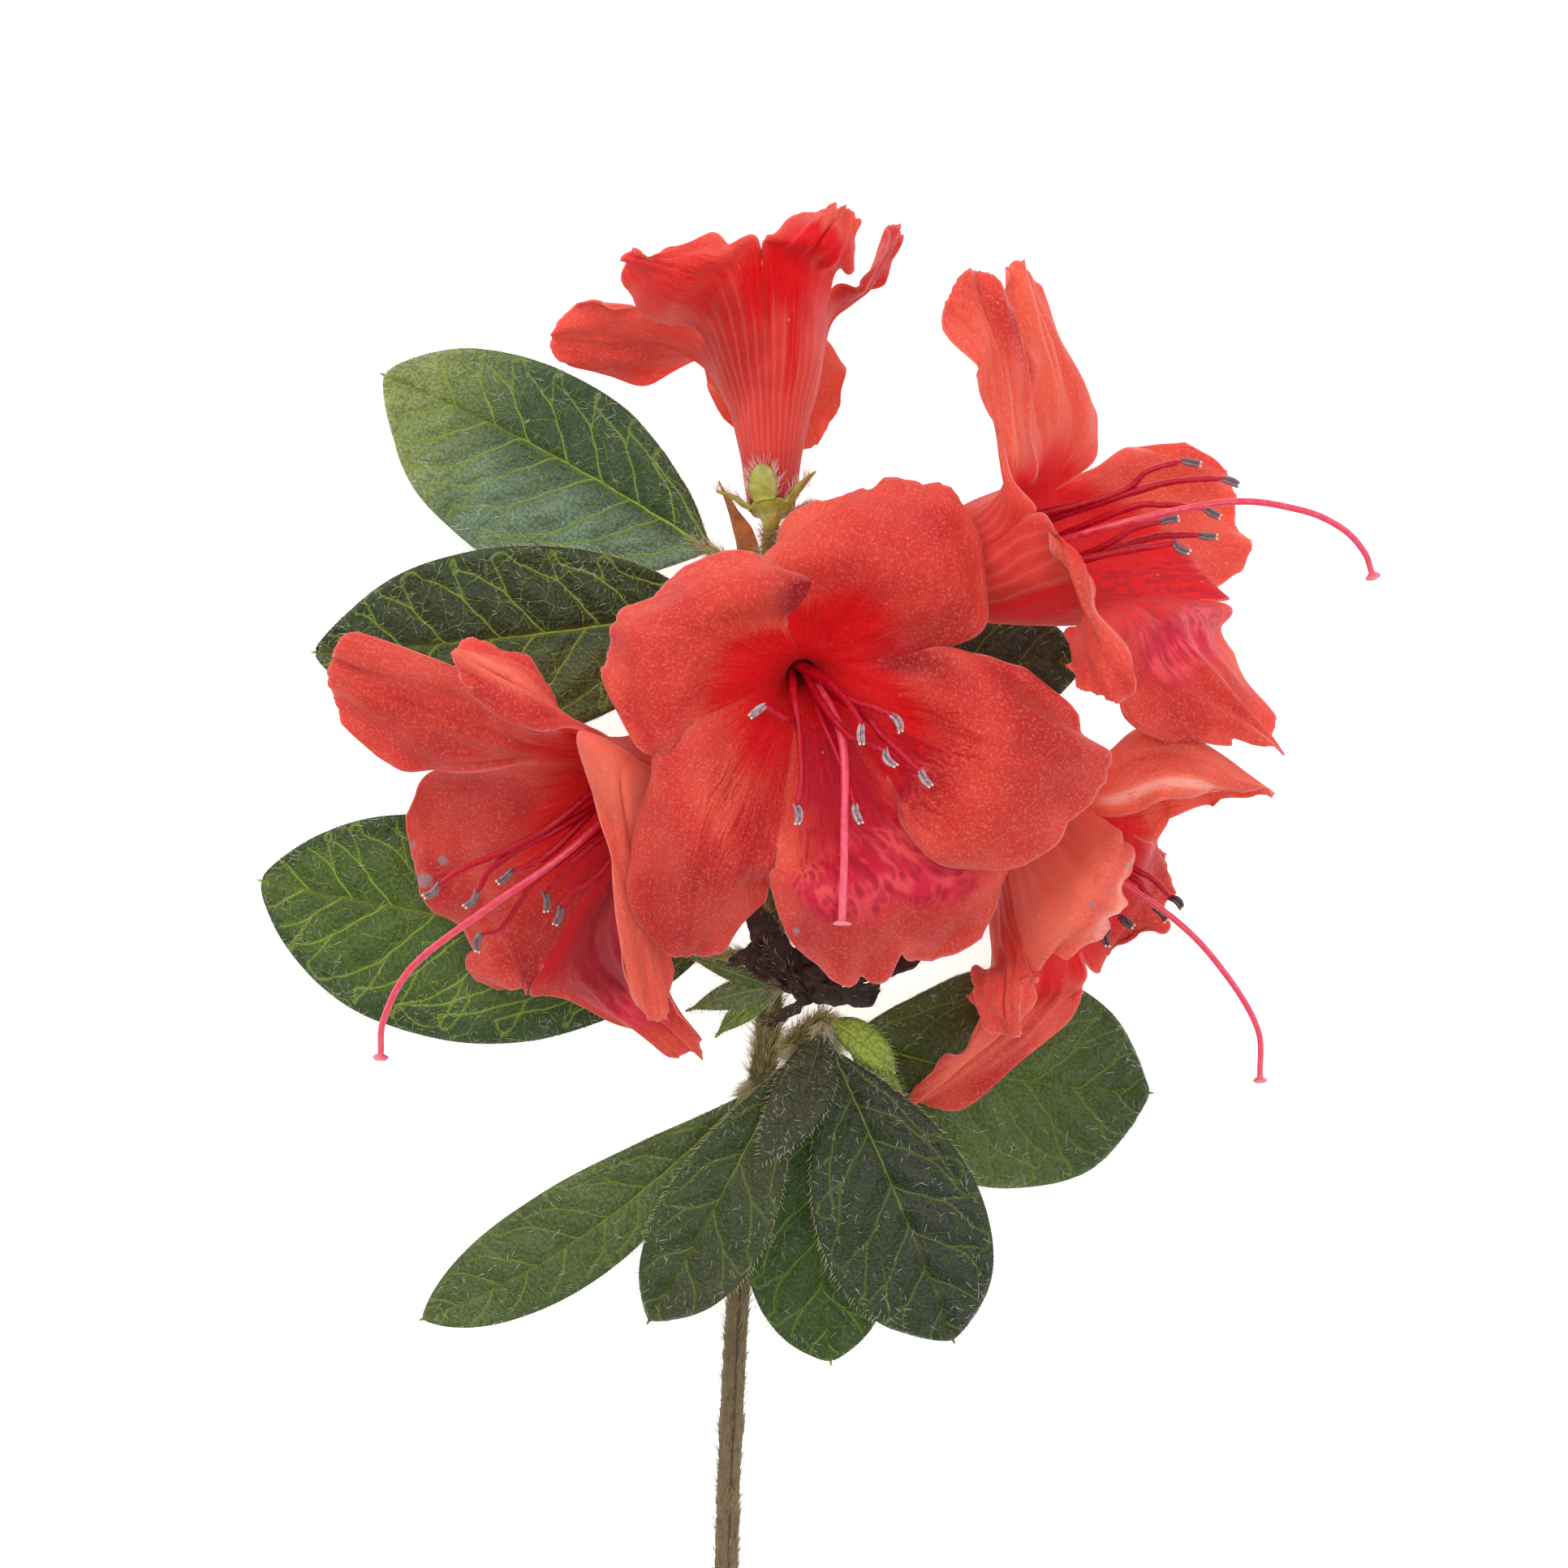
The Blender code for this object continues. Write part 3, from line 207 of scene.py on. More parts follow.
RIGHT_LOBES = {
    "near upright": {
        "first": [(26.5, 66.5, 43), (24.5, 79.5, 41)],
        "middle": [(24, 56, 48), (24, 67, 47), (20, 84, 42)],
        "second": [(20.7, 66.5, 50), (14.8, 78, 46)],
        "pushes": [
            (1, 0.74, (2.4, 0.2, 1), 0.6, 0.13), (1, 0.12, (-3.4, 0, 0.5), 0.5, 0.2),
            (-0.95, 0.8, (1.6, 0.2, 0), 0.4, 0.25),
        ],
        "folds": [
            ((0.2, 0), (0.1, 0.95), 0.7, 1.1), ((-0.5, 0.1), (-0.3, 0.9), -0.5, 0.9),
            ((0.7, 0.2), (0.6, 0.9), -0.4, 0.8),
        ],
        "light_and_shade_patches": [(0.5, 0.5, 1.1, 1.9, 0.35), (-0.3, 0.4, 0.9, 1.6, 0.55)],
    },
    "near hanging": {
        "first": [(36.5, 41.5, 58), (40.5, 29, 55)],
        "middle": [(33, 46, 54), (34.5, 38, 57), (35.5, 29.5, 53)],
        "second": [(33, 36.5, 47), (31.5, 32.5, 47)],
        "pushes": [
            (-0.9, 0.95, (0.6, -0.6, 0), 0.4, 0.3), (-0.95, 0.4, (-2.2, -1.2, 0), 0.5, 0.35),
            (0.9, 0.3, (-1, 0.8, 0), 0.5, 0.35),
        ],
        "rolls": [(-1, 3, 1.2, 0.2, 0.9)],
        "light_and_shade": 0.12,
    },
    "lower blotched": {
        "first": [(39.5, 27, 40), (49, 24.5, 36)],
        "middle": [(41, 41.5, 31), (47, 33.5, 36), (59.5, 23.5, 28)],
        "second": [(52.5, 36.5, 24), (55.5, 30.5, 22)],
        "pushes": [
            (0.05, 1.05, (1, -1.4, 0), 0.2, 0.18), (-0.9, 0.85, (-0.2, -0.9, 0), 0.3, 0.35),
            (0.35, 1, (-1, -0.4, 0), 0.16, 0.3),
        ],
        "nicks": [(-0.52, 2.2, 0.1)],
        "folds": [
            ((0.3, 0.2), (0.1, 0.95), 0.9, 1), ((-0.2, 0.3), (-0.05, 0.95), -0.6, 0.9),
            ((0.65, 0.1), (0.5, 0.9), 0.6, 1),
        ],
        "blush": [(0.2, 0.8, 0.6, 1.55, 1.1)],
        "spots": [(0.2, 0.8, 0.55, 1.5, 1.3)],
    },
    "far": {
        "first": [(52, 43, 17.5), (56, 47, 12)],
        "middle": [(41, 51, 18), (47.5, 52.5, 13), (55.5, 53, 8)],
        "second": [(37.5, 62, 18), (47.5, 63, 11)],
        "pushes": [
            (0.8, 0.95, (3.4, -0.2, 0), 0.35, 0.5), (0.95, 0.35, (1.5, -0.2, 0), 0.4, 0.3),
            (0, 1, (-0.6, 0.2, 0), 0.3, 0.3), (-0.45, 1, (0.2, -0.5, 0), 0.3, 0.35),
            (-1, 0.45, (-0.9, 0.4, 0), 0.3, 0.3), (0.35, 0.9, (0.5, 0.9, 0), 0.35, 0.4),
        ],
        "blush": [(-0.85, 0.42, 0.6, 1.4, 1.15)],
        "spots": [(-0.85, 0.42, 0.55, 1.4, 1.3)],
        "light_and_shade_patches": [(0.1, 0.8, 1.2, 2, 0.3)],
    },
    "far upright": {
        "first": [(37, 66, 26), (30.5, 80, 26)],
        "middle": [(29.5, 59.5, 33), (30.5, 70, 34), (26.5, 85.5, 32)],
        "second": [(26.5, 69, 39), (24.5, 82.5, 37)],
        "pushes": [
            (0.9, 0.35, (-0.8, 0, 0), 0.4, 0.25), (-0.95, 0.2, (1.4, 0, 0), 0.4, 0.25),
            (-0.9, 0.85, (-1.2, -0.4, 0), 0.4, 0.25), (0.9, 0.58, (1.4, 0, 1), 0.4, 0.12),
            (0.95, 0.88, (-1.9, 0.2, 0.5), 0.35, 0.16),
        ],
        "folds": [
            ((0, 0), (0.3, 0.95), 0.8, 1.1), ((-0.5, 0.1), (-0.2, 0.95), -0.6, 1),
            ((0.5, 0), (0.6, 0.8), -0.5, 0.9),
        ],
        "light_and_shade_patches": [(0.2, 0.8, 1.1, 2, 0.45)],
    },
}

LEFT_LOBES = {
    "top curled": {
        "first": [(-37, 27.5, 55), (-45, 31.5, 52)],
        "middle": [(-31, 26.5, 48), (-37.5, 31.5, 54), (-46, 35.5, 50)],
        "second": [(-34.5, 33, 46), (-41.5, 37.5, 46)],
        "pushes": [
            (0.9, 0.75, (-1.2, -0.9, 0), 0.5, 0.35), (-0.9, 0.6, (0.6, -2.4, -0.5), 0.6, 0.4),
            (0.9, 0.2, (0.8, 0.4, 0), 0.5, 0.3),
        ],
        "folds": [((0, -0.1), (-0.1, 1), 1.5, 0.8), ((0.5, 0.1), (0.4, 0.9), -0.6, 0.8)],
        "light_and_shade_patches": [(-0.05, 0.3, 0.8, 2, 0.75), (-0.7, 0.4, 1, 2, -0.25)],
    },
    "top left long": {
        "first": [(-46.5, 34.5, 36), (-61.8, 39.3, 30)],
        "middle": [(-35, 23, 38), (-48, 27, 34), (-63.5, 32, 28)],
        "second": [(-50.5, 19.5, 28), (-60.5, 24.5, 26)],
        "pushes": [
            (-0.7, 0.85, (0.4, -1.7, 0), 0.35, 0.4), (-0.98, 0.55, (0.6, -1, 0), 0.3, 0.35),
            (-1, 1.05, (-0.9, 0.4, 0), 0.25, 0.25), (0, 1, (0.6, 0, 0), 0.4, 0.3),
            (0.9, 0.95, (0.6, -0.2, 0), 0.3, 0.3),
        ],
        "folds": [
            ((0.2, 0), (0.1, 0.95), 0.5, 1.2), ((0.85, -0.1), (0.8, 0.5), -1.2, 1.2),
            ((-0.4, 0.2), (-0.4, 0.95), -0.4, 1.2),
        ],
        "deep": 0.95,
        "light_and_shade": -0.1,
    },
    "lower left broad": {
        "first": [(-49.5, 18.5, 26), (-53.5, 14, 20)],
        "middle": [(-39, 9.5, 23.5), (-46, 7.5, 18), (-50.5, 2, 13)],
        "second": [(-38.5, -8.5, 17), (-43, -9, 13)],
        "pushes": [
            (0.3, 1, (2.2, 0.4, 0), 0.15, 0.25), (-0.9, 0.75, (-0.6, 0.3, 0), 0.3, 0.3),
            (0.5, 1, (2.6, 0, 0), 0.13, 0.25), (0.8, 1, (-0.6, -0.8, 0), 0.15, 0.3),
            (0.95, 0.6, (1, 0.5, 0), 0.3, 0.4), (-1, 0.45, (0, 1.4, 0), 0.35, 0.35),
        ],
        "folds": [
            ((-0.2, 0), (-0.3, 0.9), 0.4, 1.4), ((0.3, 0), (0.4, 0.9), -0.5, 1.3),
            ((-0.85, 0), (-0.75, 0.8), -0.8, 1),
        ],
        "deep": 0.84,
        "light_and_shade": -0.22,
        "light_and_shade_patches": [(1, 0.4, 0.55, 1.25, -0.6)],
    },
    "bottom blotched": {
        "first": [(-31.5, -10.2, 19), (-23, -14.5, 21)],
        "middle": [(-28.5, 0, 25.5), (-25.5, -8.5, 25.5), (-15.5, -17, 26)],
        "second": [(-22, -3.5, 31.5), (-16.5, -13, 31)],
        "pushes": [
            (-0.2, 1, (-0.6, 0.2, 0), 0.3, 0.3), (0.2, 1.05, (0.8, -0.2, 0), 0.2, 0.2),
            (-0.95, 0.4, (-0.4, 0.8, 0), 0.3, 0.4),
        ],
        "folds": [
            ((-0.3, 0.1), (-0.4, 0.95), 0.7, 0.9), ((0.1, 0.2), (0, 0.95), -0.8, 0.9),
            ((0.45, 0.1), (0.4, 0.95), 0.7, 0.9),
        ],
        "light_and_shade": -0.2,
        "light_and_shade_patches": [(0.1, 0.9, 0.45, 1.55, -0.8), (0.1, 0.4, 1.55, 2.1, 0.4)],
        "blush": [(0.15, 0.9, 0.4, 1.75, 1.3)],
        "spots": [(0.2, 0.85, 0.6, 1.6, 0.9)],
    },
    "near right": {
        "first": [(-20.5, 2, 36.5), (-17.5, -8, 36.5)],
        "middle": [(-23.5, 18.5, 49), (-22.5, 5.5, 45), (-20.5, -12, 43)],
        "second": [(-26.5, 9.5, 49), (-24.5, -8, 45.5)],
        "pushes": [(-0.95, 0.4, (-3, 0.4, 0), 0.6, 0.24), (-0.95, 0.8, (-0.9, 0.3, 0), 0.4, 0.25)],
        "folds": [((0.3, -0.2), (0.1, 0.8), 0.7, 0.9), ((-0.3, 0), (-0.3, 0.9), -0.7, 0.9)],
        "light_and_shade": 0.45,
        "light_and_shade_patches": [(0.2, 0.9, 0.6, 1.3, 0.36)],
    },
}

LOW_LOBES = {
    "near": {
        "first": [(39.5, 11, 40), (40, 8.5, 39)],
        "middle": [(31.5, 6.5, 43), (35.5, 3.5, 46), (38.5, 2, 42)],
        "second": [(30.5, -3.5, 42), (34.5, -2.5, 42)],
        "folds": [((-0.3, -0.3), (-0.2, 0.7), 0.6, 1), ((0.4, -0.3), (0.5, 0.8), -0.6, 1.1)],
        "light_and_shade": 0.35,
        "light_and_shade_patches": [(0.2, 1, 1.78, 2.2, 0.9), (0.2, 1, 0.7, 1.5, 0.4)],
    },
    "crumpled": {
        "first": [(27.5, -6.5, 39), (27.5, -11.5, 37)],
        "middle": [(24.5, -2.5, 35), (23.5, -8.5, 41), (24, -14, 37)],
        "second": [(20.5, -6.5, 33), (19, -9.5, 33)],
        "crumple": 0.45,
        "folds": [
            ((0, 0), (-0.1, 0.95), 1, 0.7), ((0.45, 0.1), (0.5, 0.9), -0.8, 0.7),
            ((-0.5, 0.1), (-0.5, 0.9), -0.7, 0.7),
        ],
        "light_and_shade": 0.1,
    },
    "bottom twisted": {
        "first": [(20, -14, 27.5), (15.5, -18.5, 22.5)],
        "middle": [(29.5, -5.5, 20), (25.5, -13, 24), (12.5, -23.5, 18)],
        "second": [(34.5, -9.5, 17), (23.5, -20, 15)],
        "pushes": [(0.95, 0.2, (-1.8, -0.2, 0), 0.35, 0.3), (0.6, 1, (1.4, -1.2, 0), 0.35, 0.3)],
        "folds": [((-0.1, 0.1), (0, 0.95), -1.2, 0.8), ((0.4, 0.1), (0.35, 0.9), 0.8, 0.9)],
        "light_and_shade_patches": [(-0.15, 0.35, 1.3, 1.85, 0.55)],
    },
    "far": {
        "first": [(38, -4, 8), (42, -3, 3)],
        "middle": [(39, 4, 9), (43.5, 3.5, 4), (46.5, 3, 0.6)],
        "second": [(44, 11, 12), (46, 8.5, 5)],
        "pushes": [(-0.95, 0.9, (0.6, 1.6, 0), 0.3, 0.3), (-0.45, 0.9, (0.9, -0.9, 0), 0.35, 0.35)],
        "light_and_shade": -0.2,
    },
    "top": {
        "first": [(45.5, 13.5, 23), (52.5, 16.5, 27)],
        "middle": [(36.5, 21.5, 32), (44.5, 25.5, 33), (59, 17, 30)],
        "second": [(44.5, 16, 40), (53, 17.5, 35)],
        "folds": [((0.62, 0), (0.5, 1), 0.9, 0.7)],
        "light_and_shade": 0.15,
        "light_and_shade_patches": [(0.88, 0.06, 1, 1.9, 1.1), (-0.2, 0.9, 0.8, 2, 0.4)],
    },
}

# base and mouth set the tube's place and direction, and tube its own outline where it isn't
# the usual one. notches are the points between neighbouring lobes: lobe n runs out between
# notch n and notch n + 1. crimson: deep red patches on the back, placed by lobe number
# instead of across. Each filament runs from the tube through its bends to its anther, whose
# sacs point in its anther_way; anther_shade goes from silver (0) to brown (1).
BLOOMS = {
    "centre": {
        "base": (-5.2, 37.3, 33),
        "mouth": (-0.4, 29.9, 52),
        "tube": ((0, 2.5), (7, 2.3), (14, 2.1)),
        "notches": [(8, 34, 50), (-4, 38.5, 51), (-15.5, 26, 54), (-5, 10.5, 51), (9, 19, 51)],
        "lobes": CENTRE_LOBES,
        "anthers": [
            (-7.5, 27.5, 60), (5.5, 24.5, 63), (10, 26, 61.5), (9, 21.5, 62.5), (13.5, 19, 62.5),
            (-2.5, 14.5, 60.5), (5, 14.5, 61.5),
        ],
        "bends": [
            [(-3.3, 26.7, 57), (-5.3, 27.2, 59)],
            [(2.4, 30.1, 56), (4.9, 26.9, 61)],
            [(1.3, 31.2, 54), (3.9, 28.9, 58), (7, 27.9, 60.5)],
            [(0.3, 28.9, 54), (3.6, 24.7, 58.5), (5.9, 23.5, 60.5)],
            [(5.7, 27.1, 57), (8, 24.5, 59.5), (10.8, 21.8, 61.5)],
            [(-3, 30.1, 54.5), (-2.2, 24, 57.5), (-2, 18.9, 59.5)],
            [(0.3, 27.1, 54), (3.4, 19.9, 58.5)],
        ],
        "anther_ways": [
            (-8, -6, 1), (0, -10, 1), (5, -9, 0), (5, -8, 1), (5, -8, 1), (1, -10, 1), (3, -10, 1),
        ],
        "anther_shade": 0.14,
        "style": [(-1.5, 33, 46), (3, 24.5, 57.5), (3.4, 12, 61.5), (3.1, 1.2, 62.5)],
        "style_radius": 0.52,
        "anther_length": 2.7,
    },
    "top": {
        "base": (-5.8, 54.2, 35.6),
        "mouth": (-6, 76.5, 23),
        "notches": [(1.5, 81, 27), (-0.5, 75.5, 17), (-13.5, 73, 18), (-14.5, 75.5, 26), (-7, 85.2, 34)],
        "lobes": TOP_LOBES,
        "anthers": [(-10, 81.5, 25), (-6.8, 83.5, 27), (-3, 82, 25), (-3.6, 80, 19), (-9.6, 79.5, 19)],
        "style": [(-6, 70, 26.8), (-6, 77, 23), (-6.5, 82.5, 21), (-6, 87, 22.5)],
        "crimson": [
            (4, 0.48, 0.8, 1.75, 1.15), (3.46, 0.26, 0.72, 1.1, 0.75), (3, 0.42, 0.95, 2.2, 0.54),
            (3.95, 0.14, 0.45, 0.9, 0.7),
        ],
        "style_radius": 0.45,
        "anther_length": 2.5,
    },
    "right": {
        "base": (7.5, 44.5, 30),
        "mouth": (29, 48, 39),
        "tube": ((0, 2.9), (7, 5.2), (14, 7.4)),
        "notches": [(27, 56.5, 41), (27.5, 52.5, 50), (35, 38.5, 41), (50, 42, 21), (31, 56.5, 26)],
        "lobes": RIGHT_LOBES,
        "anthers": [
            (48, 59.5, 37), (53, 57, 38), (50.5, 53, 40), (45, 52, 41), (50, 50, 39), (46.5, 48.5, 41),
        ],
        "bends": [
            [(37.8, 55.3, 36), (42.5, 58.4, 37)],
            [(40.9, 55.8, 36.5), (47.2, 57.2, 37.5)],
            [(38.9, 53.2, 39), (44, 54, 40)],
            [(35.2, 48, 39), (40.4, 50.9, 40.5)],
            [(40.9, 49.3, 38.5), (46.1, 50.1, 39)],
            [(38.9, 48, 40.5), (43, 48.6, 41)],
        ],
        "anther_ways": [(10, -2, 0), (10, -4, 0), (9, -5, 0), (10, 2, 0), (10, -1, 0), (8, -6, 0)],
        "anther_shade": 0.65,
        "style": [
            (21.5, 46.5, 36), (36, 50.8, 42.5), (52, 54.2, 43.5), (61.5, 53.3, 42.3), (67, 51, 41),
            (70, 48, 39.4), (71.1, 45.3, 38),
        ],
        "crimson": [(1.26, 0.14, 0.35, 0.92, 1.8)],
        "style_radius": 0.45,
        "anther_length": 2.7,
    },
    "left": {
        "base": (-10.5, 29, 28),
        "mouth": (-26.5, 15.5, 36),
        "notches": [(-29.5, 25, 50), (-33, 25, 42), (-36, 21, 34), (-35.5, -5.5, 19), (-23.5, 6.5, 34)],
        "lobes": LEFT_LOBES,
        "anthers": [
            (-49.5, 4.5, 30.5), (-44.4, 3.4, 30.5), (-40, 6.4, 32), (-43.5, -2, 30.5), (-34.8, 3.2, 33),
            (-33.2, 1.4, 31.5),
        ],
        "bends": [
            [(-33, 13.7, 35), (-38.2, 10.5, 34), (-45, 7.6, 32)],
            [(-33, 12.6, 34.5), (-38.2, 10, 33.5), (-42.1, 7.1, 32)],
            [(-33, 10.5, 34), (-36.7, 7.9, 33)],
            [(-35.1, 6.9, 34.5), (-38.2, 3.2, 33.5), (-40.8, -0.4, 32)],
            [(-29.9, 9.5, 35), (-33, 6.4, 34)],
            [(-27.3, 7.4, 34), (-30.9, 4.8, 33)],
        ],
        "anther_ways": [(-7, -6, 0), (-6, -8, 0), (-7, -6, 0), (-3, -9, 0), (1, -10, 0), (-3, -9, 0)],
        "anther_shade": 0.6,
        "style": [
            (-20, 20.5, 33), (-31.9, 9.6, 37.5), (-42.4, 2.2, 36.2), (-51.9, -5.1, 31.5),
            (-55.8, -12, 28.6), (-56.3, -16.6, 27),
        ],
        "style_radius": 0.46,
        "anther_length": 2.9,
    },
    "low": {
        "base": (13, 24.5, 22),
        "mouth": (31, 10.5, 28),
        "notches": [(35.5, 14.5, 37), (26.5, -3, 38), (22.5, -2, 29), (34.5, -4, 14), (41.5, 11.5, 18)],
        "lobes": LOW_LOBES,
        "anthers": [(46.5, 3, 25.5), (44.5, 1.5, 26.5), (40, 0.5, 26.5), (37.5, -1.5, 27.5)],
        "bends": [
            [(40, 7.9, 26), (43.4, 6, 26)],
            [(39.7, 6.8, 27), (42.3, 4.6, 27)],
            [(36.5, 5, 27), (38, 2.6, 27)],
            [(36, 4, 28), (37.6, 1.4, 28)],
        ],
        "anther_ways": [(7, -6, 0), (7, -8, 0), (8, -6, 0), (-1, -10, 0)],
        "anther_shade": 1,
        "style": [
            (23, 16.5, 25.3), (34.5, 8.8, 29.5), (46.4, 0.6, 30), (52.8, -6.3, 28.8), (57, -13.4, 26.8),
            (57.4, -19.6, 25),
        ],
        "style_radius": 0.42,
        "anther_length": 2.5,
    },
}

# grey scars on petals: place and radius
PETAL_SCARS = {
    "left": [
        ((-48.5, 8.4, 20), 1), ((-52.6, 10.5, 20), 0.8), ((-61.3, 31.3, 28), 0.6), ((-51, 5.8, 18), 1.5),
    ],
    "low": [((39.8, 7.9, 40), 0.7), ((37.4, 4.7, 44), 0.5), ((35.1, 2.9, 45), 0.6)],
    "centre": [((-2.6, -0.3, 51), 0.8), ((-2.8, 1.9, 52), 0.4)],
}

# the flower stalks, from the knob to just under the bloom's base
STALKS = {
    "centre": [(-5.9, 41.6, 25.8), (-6, 40.5, 28)],
    "top": [(-6.2, 45, 25.4), (-6.2, 48.5, 31)],
    "right": [(-3.2, 43.2, 23.8), (0.8, 44.2, 26)],
    "left": [(-8.2, 40, 24.6), (-9.2, 36, 26)],
    "low": [(-2.8, 39.4, 23), (1.5, 35, 21)],
}

# ---- leaves -------------------------------------------------------------
# base, middle and tip of the midrib, the blade's width, where it is widest (0 base, 1 tip),
# how round it is towards the base and the tip, the share that is stalk, its roll in degrees
# and how much wider one half is than the other
LEAVES = {
    "leaf_upper_left": (
        (-8, 44.6, 21.8), (-32.3, 60, 12), (-57, 72.2, 1), 26.4, 0.55, 0.9, 0.62, 0.12, -8, 0.2
    ),
    "leaf_middle_left": (
        (-8.9, 41.8, 22.5), (-38, 37.5, 20.5), (-65.5, 35.5, 12), 25, 0.55, 0.64, 0.72, 0.1, 0, 0.06
    ),
    "leaf_lower_left": (
        (-7.4, -4.5, 15.5), (-42.5, 0, 7), (-73, 5.5, 0.5), 29.3, 0.56, 0.8, 0.6, 0.1, 0, 0.1
    ),
    "leaf_behind": ((-3.6, 34, 20), (15, 34, 12), (35, 34.5, 6), 17, 0.6, 0.8, 0.55, 0.12, 0, 0),
    "leaf_lower_right": (
        (1.4, -14, 20.6), (23.5, -20, 10), (44, -22.5, 0.5), 29, 0.54, 0.85, 0.62, 0.06, 0, 0
    ),
    "fan_leaf_outer": (
        (-7.8, -20.6, 15), (-28.6, -39.4, 13), (-51.6, -51.9, 8), 13.4, 0.6, 1.15, 0.62, 0.03, 0, -0.14
    ),
    "fan_leaf_front": (
        (-2.4, -15.6, 20.6), (-12.6, -35.6, 22), (-21.8, -51.6, 19), 14.4, 0.6, 1.15, 0.72, 0.03, 0, 0.1
    ),
    "fan_leaf_back": ((-1, -14.8, 20.2), (0, -37.2, 13), (1.9, -57.4, 8), 19.2, 0.64, 1.2, 0.62, 0.18, 0, 0),
    "fan_leaf_right": (
        (0.8, -13.6, 22.6), (10.4, -35.2, 24), (17.8, -54, 19), 21.6, 0.58, 1.05, 0.6, 0.05, 0, -0.06
    ),
    "fan_leaf_small": (
        (0.8, -12.6, 24.2), (-1.8, -21.6, 27), (-7.6, -30.6, 28.5), 7.4, 0.5, 0.8, 0.9, 0.05, 0, 0
    ),
    "young_leaf_left": (
        (-4.4, -8, 20.2), (-10, -8.9, 21.6), (-16.6, -11.1, 20.5), 4, 0.42, 0.7, 1.1, 0.06, 0, 0
    ),
    "young_leaf_left_low": (
        (-5.6, -9.4, 19), (-9.4, -11.2, 19.6), (-12.9, -14.4, 18.5), 3, 0.45, 0.8, 1.1, 0.06, 0, 0
    ),
    "young_leaf_left_thin": (
        (-5.4, -8, 20.4), (-10.2, -6.4, 22.6), (-16.8, -3.8, 23), 2.4, 0.45, 0.8, 1.1, 0.08, 0, 0
    ),
    "young_leaf_right": (
        (1.2, -12.2, 24), (5.6, -14.6, 26.2), (9.9, -18.9, 25.5), 4.6, 0.58, 0.8, 0.6, 0.08, 0, 0
    ),
    "young_leaf_right_low": (
        (1.8, -13.2, 22.4), (6.8, -17.4, 23.4), (11.3, -22.4, 22), 2.8, 0.6, 0.9, 0.9, 0.08, 0, 0
    ),
}

# each leaf's main colour, how clearly its veins show, and other colours with where they lie:
# towards the tip, one side of the midrib or both edges
LEAF_COLOURS = {
    # leaf_upper_left: the pale grey-green on its right side and its pale tip are painted sheen, a reflection
    # on the blade
    "leaf_upper_left": ((54, 82, 46), 0.85, [((122, 146, 118), "right side"), ((158, 170, 98), "tip")]),
    "leaf_middle_left": ((48, 58, 24), 0.9, [((92, 100, 54), "right side")]),
    "leaf_lower_left": ((80, 104, 34), 1.00, [((50, 74, 28), "edges")]),
    "leaf_behind": ((40, 46, 26), 0.35, [((44, 56, 28), "edges")]),
    "leaf_lower_right": ((84, 104, 40), 0.42, [((60, 80, 32), "tip")]),
    "fan_leaf_outer": ((94, 108, 56), 0.5, [((88, 106, 50), "right side")]),
    "fan_leaf_front": ((62, 68, 36), 0.38, [((58, 72, 34), "left side")]),
    "fan_leaf_back": ((64, 92, 36), 0.65, [((66, 92, 38), "tip")]),
    "fan_leaf_right": ((46, 50, 38), 0.36, [((44, 56, 32), "left side")]),
    "fan_leaf_small": ((58, 56, 36), 0.1, [((54, 58, 40), "tip")]),
    "young_leaf_left": ((130, 146, 92), 0.3, [((140, 164, 92), "tip")]),
    "young_leaf_left_low": ((150, 176, 78), 0.3, [((140, 170, 74), "tip")]),
    "young_leaf_left_thin": ((124, 142, 84), 0.3, [((134, 156, 92), "tip")]),
    "young_leaf_right": ((162, 182, 62), 0.4, [((124, 152, 48), "edges")]),
    "young_leaf_right_low": ((140, 166, 72), 0.4, [((118, 146, 58), "tip")]),
}

# how far above the floor the middle of a blade or a rib stays
LOWEST = 0.45
# hairs that grow from lower than this point upwards
UPWARD_BELOW = 2.5
# length of a step along a side vein
VEIN_STEP = 0.34

# ---- stem, spur, withered remains and bud scale -------------------------
STEM_LINE = [
    (-12, -94, 1.45),
    (-11.5, -75, 3.5),
    (-10.5, -53.5, 7),
    (-9.5, -38, 10),
    (-8, -24.5, 13.5),
    (-6.5, -16, 16),
    (-5.5, -1, 18),
    (-5.5, 20, 20.5),
    (-6, 35.5, 22),
    (-6, 42, 23),
]
STEM_RADIUS = 1.5
STEM_TIP_RADIUS = 1.3
KNOB_RADIUS = 2.2
# how many hairs grow on the stem, on its younger half, on the shoot and on a flower stalk
STEM_HAIRS = 5200
YOUNG_STEM_HAIRS = 2600
SHOOT_HAIRS = 1300
STALK_HAIRS = 520
# where the stem thickens a little, along Y
STEM_JOINTS = (-66, -38, -13, -6, 30)
SPUR_LINE = [(-4.4, -16.8, 18.3), (-2.5, -15.2, 20), (0, -13.5, 21.5), (1.5, -12.5, 22)]
SPUR_RADII = [1, 1.2, 1.4, 1.1]
WITHERED_CORE = (-0.8, -7.4, 25.6)
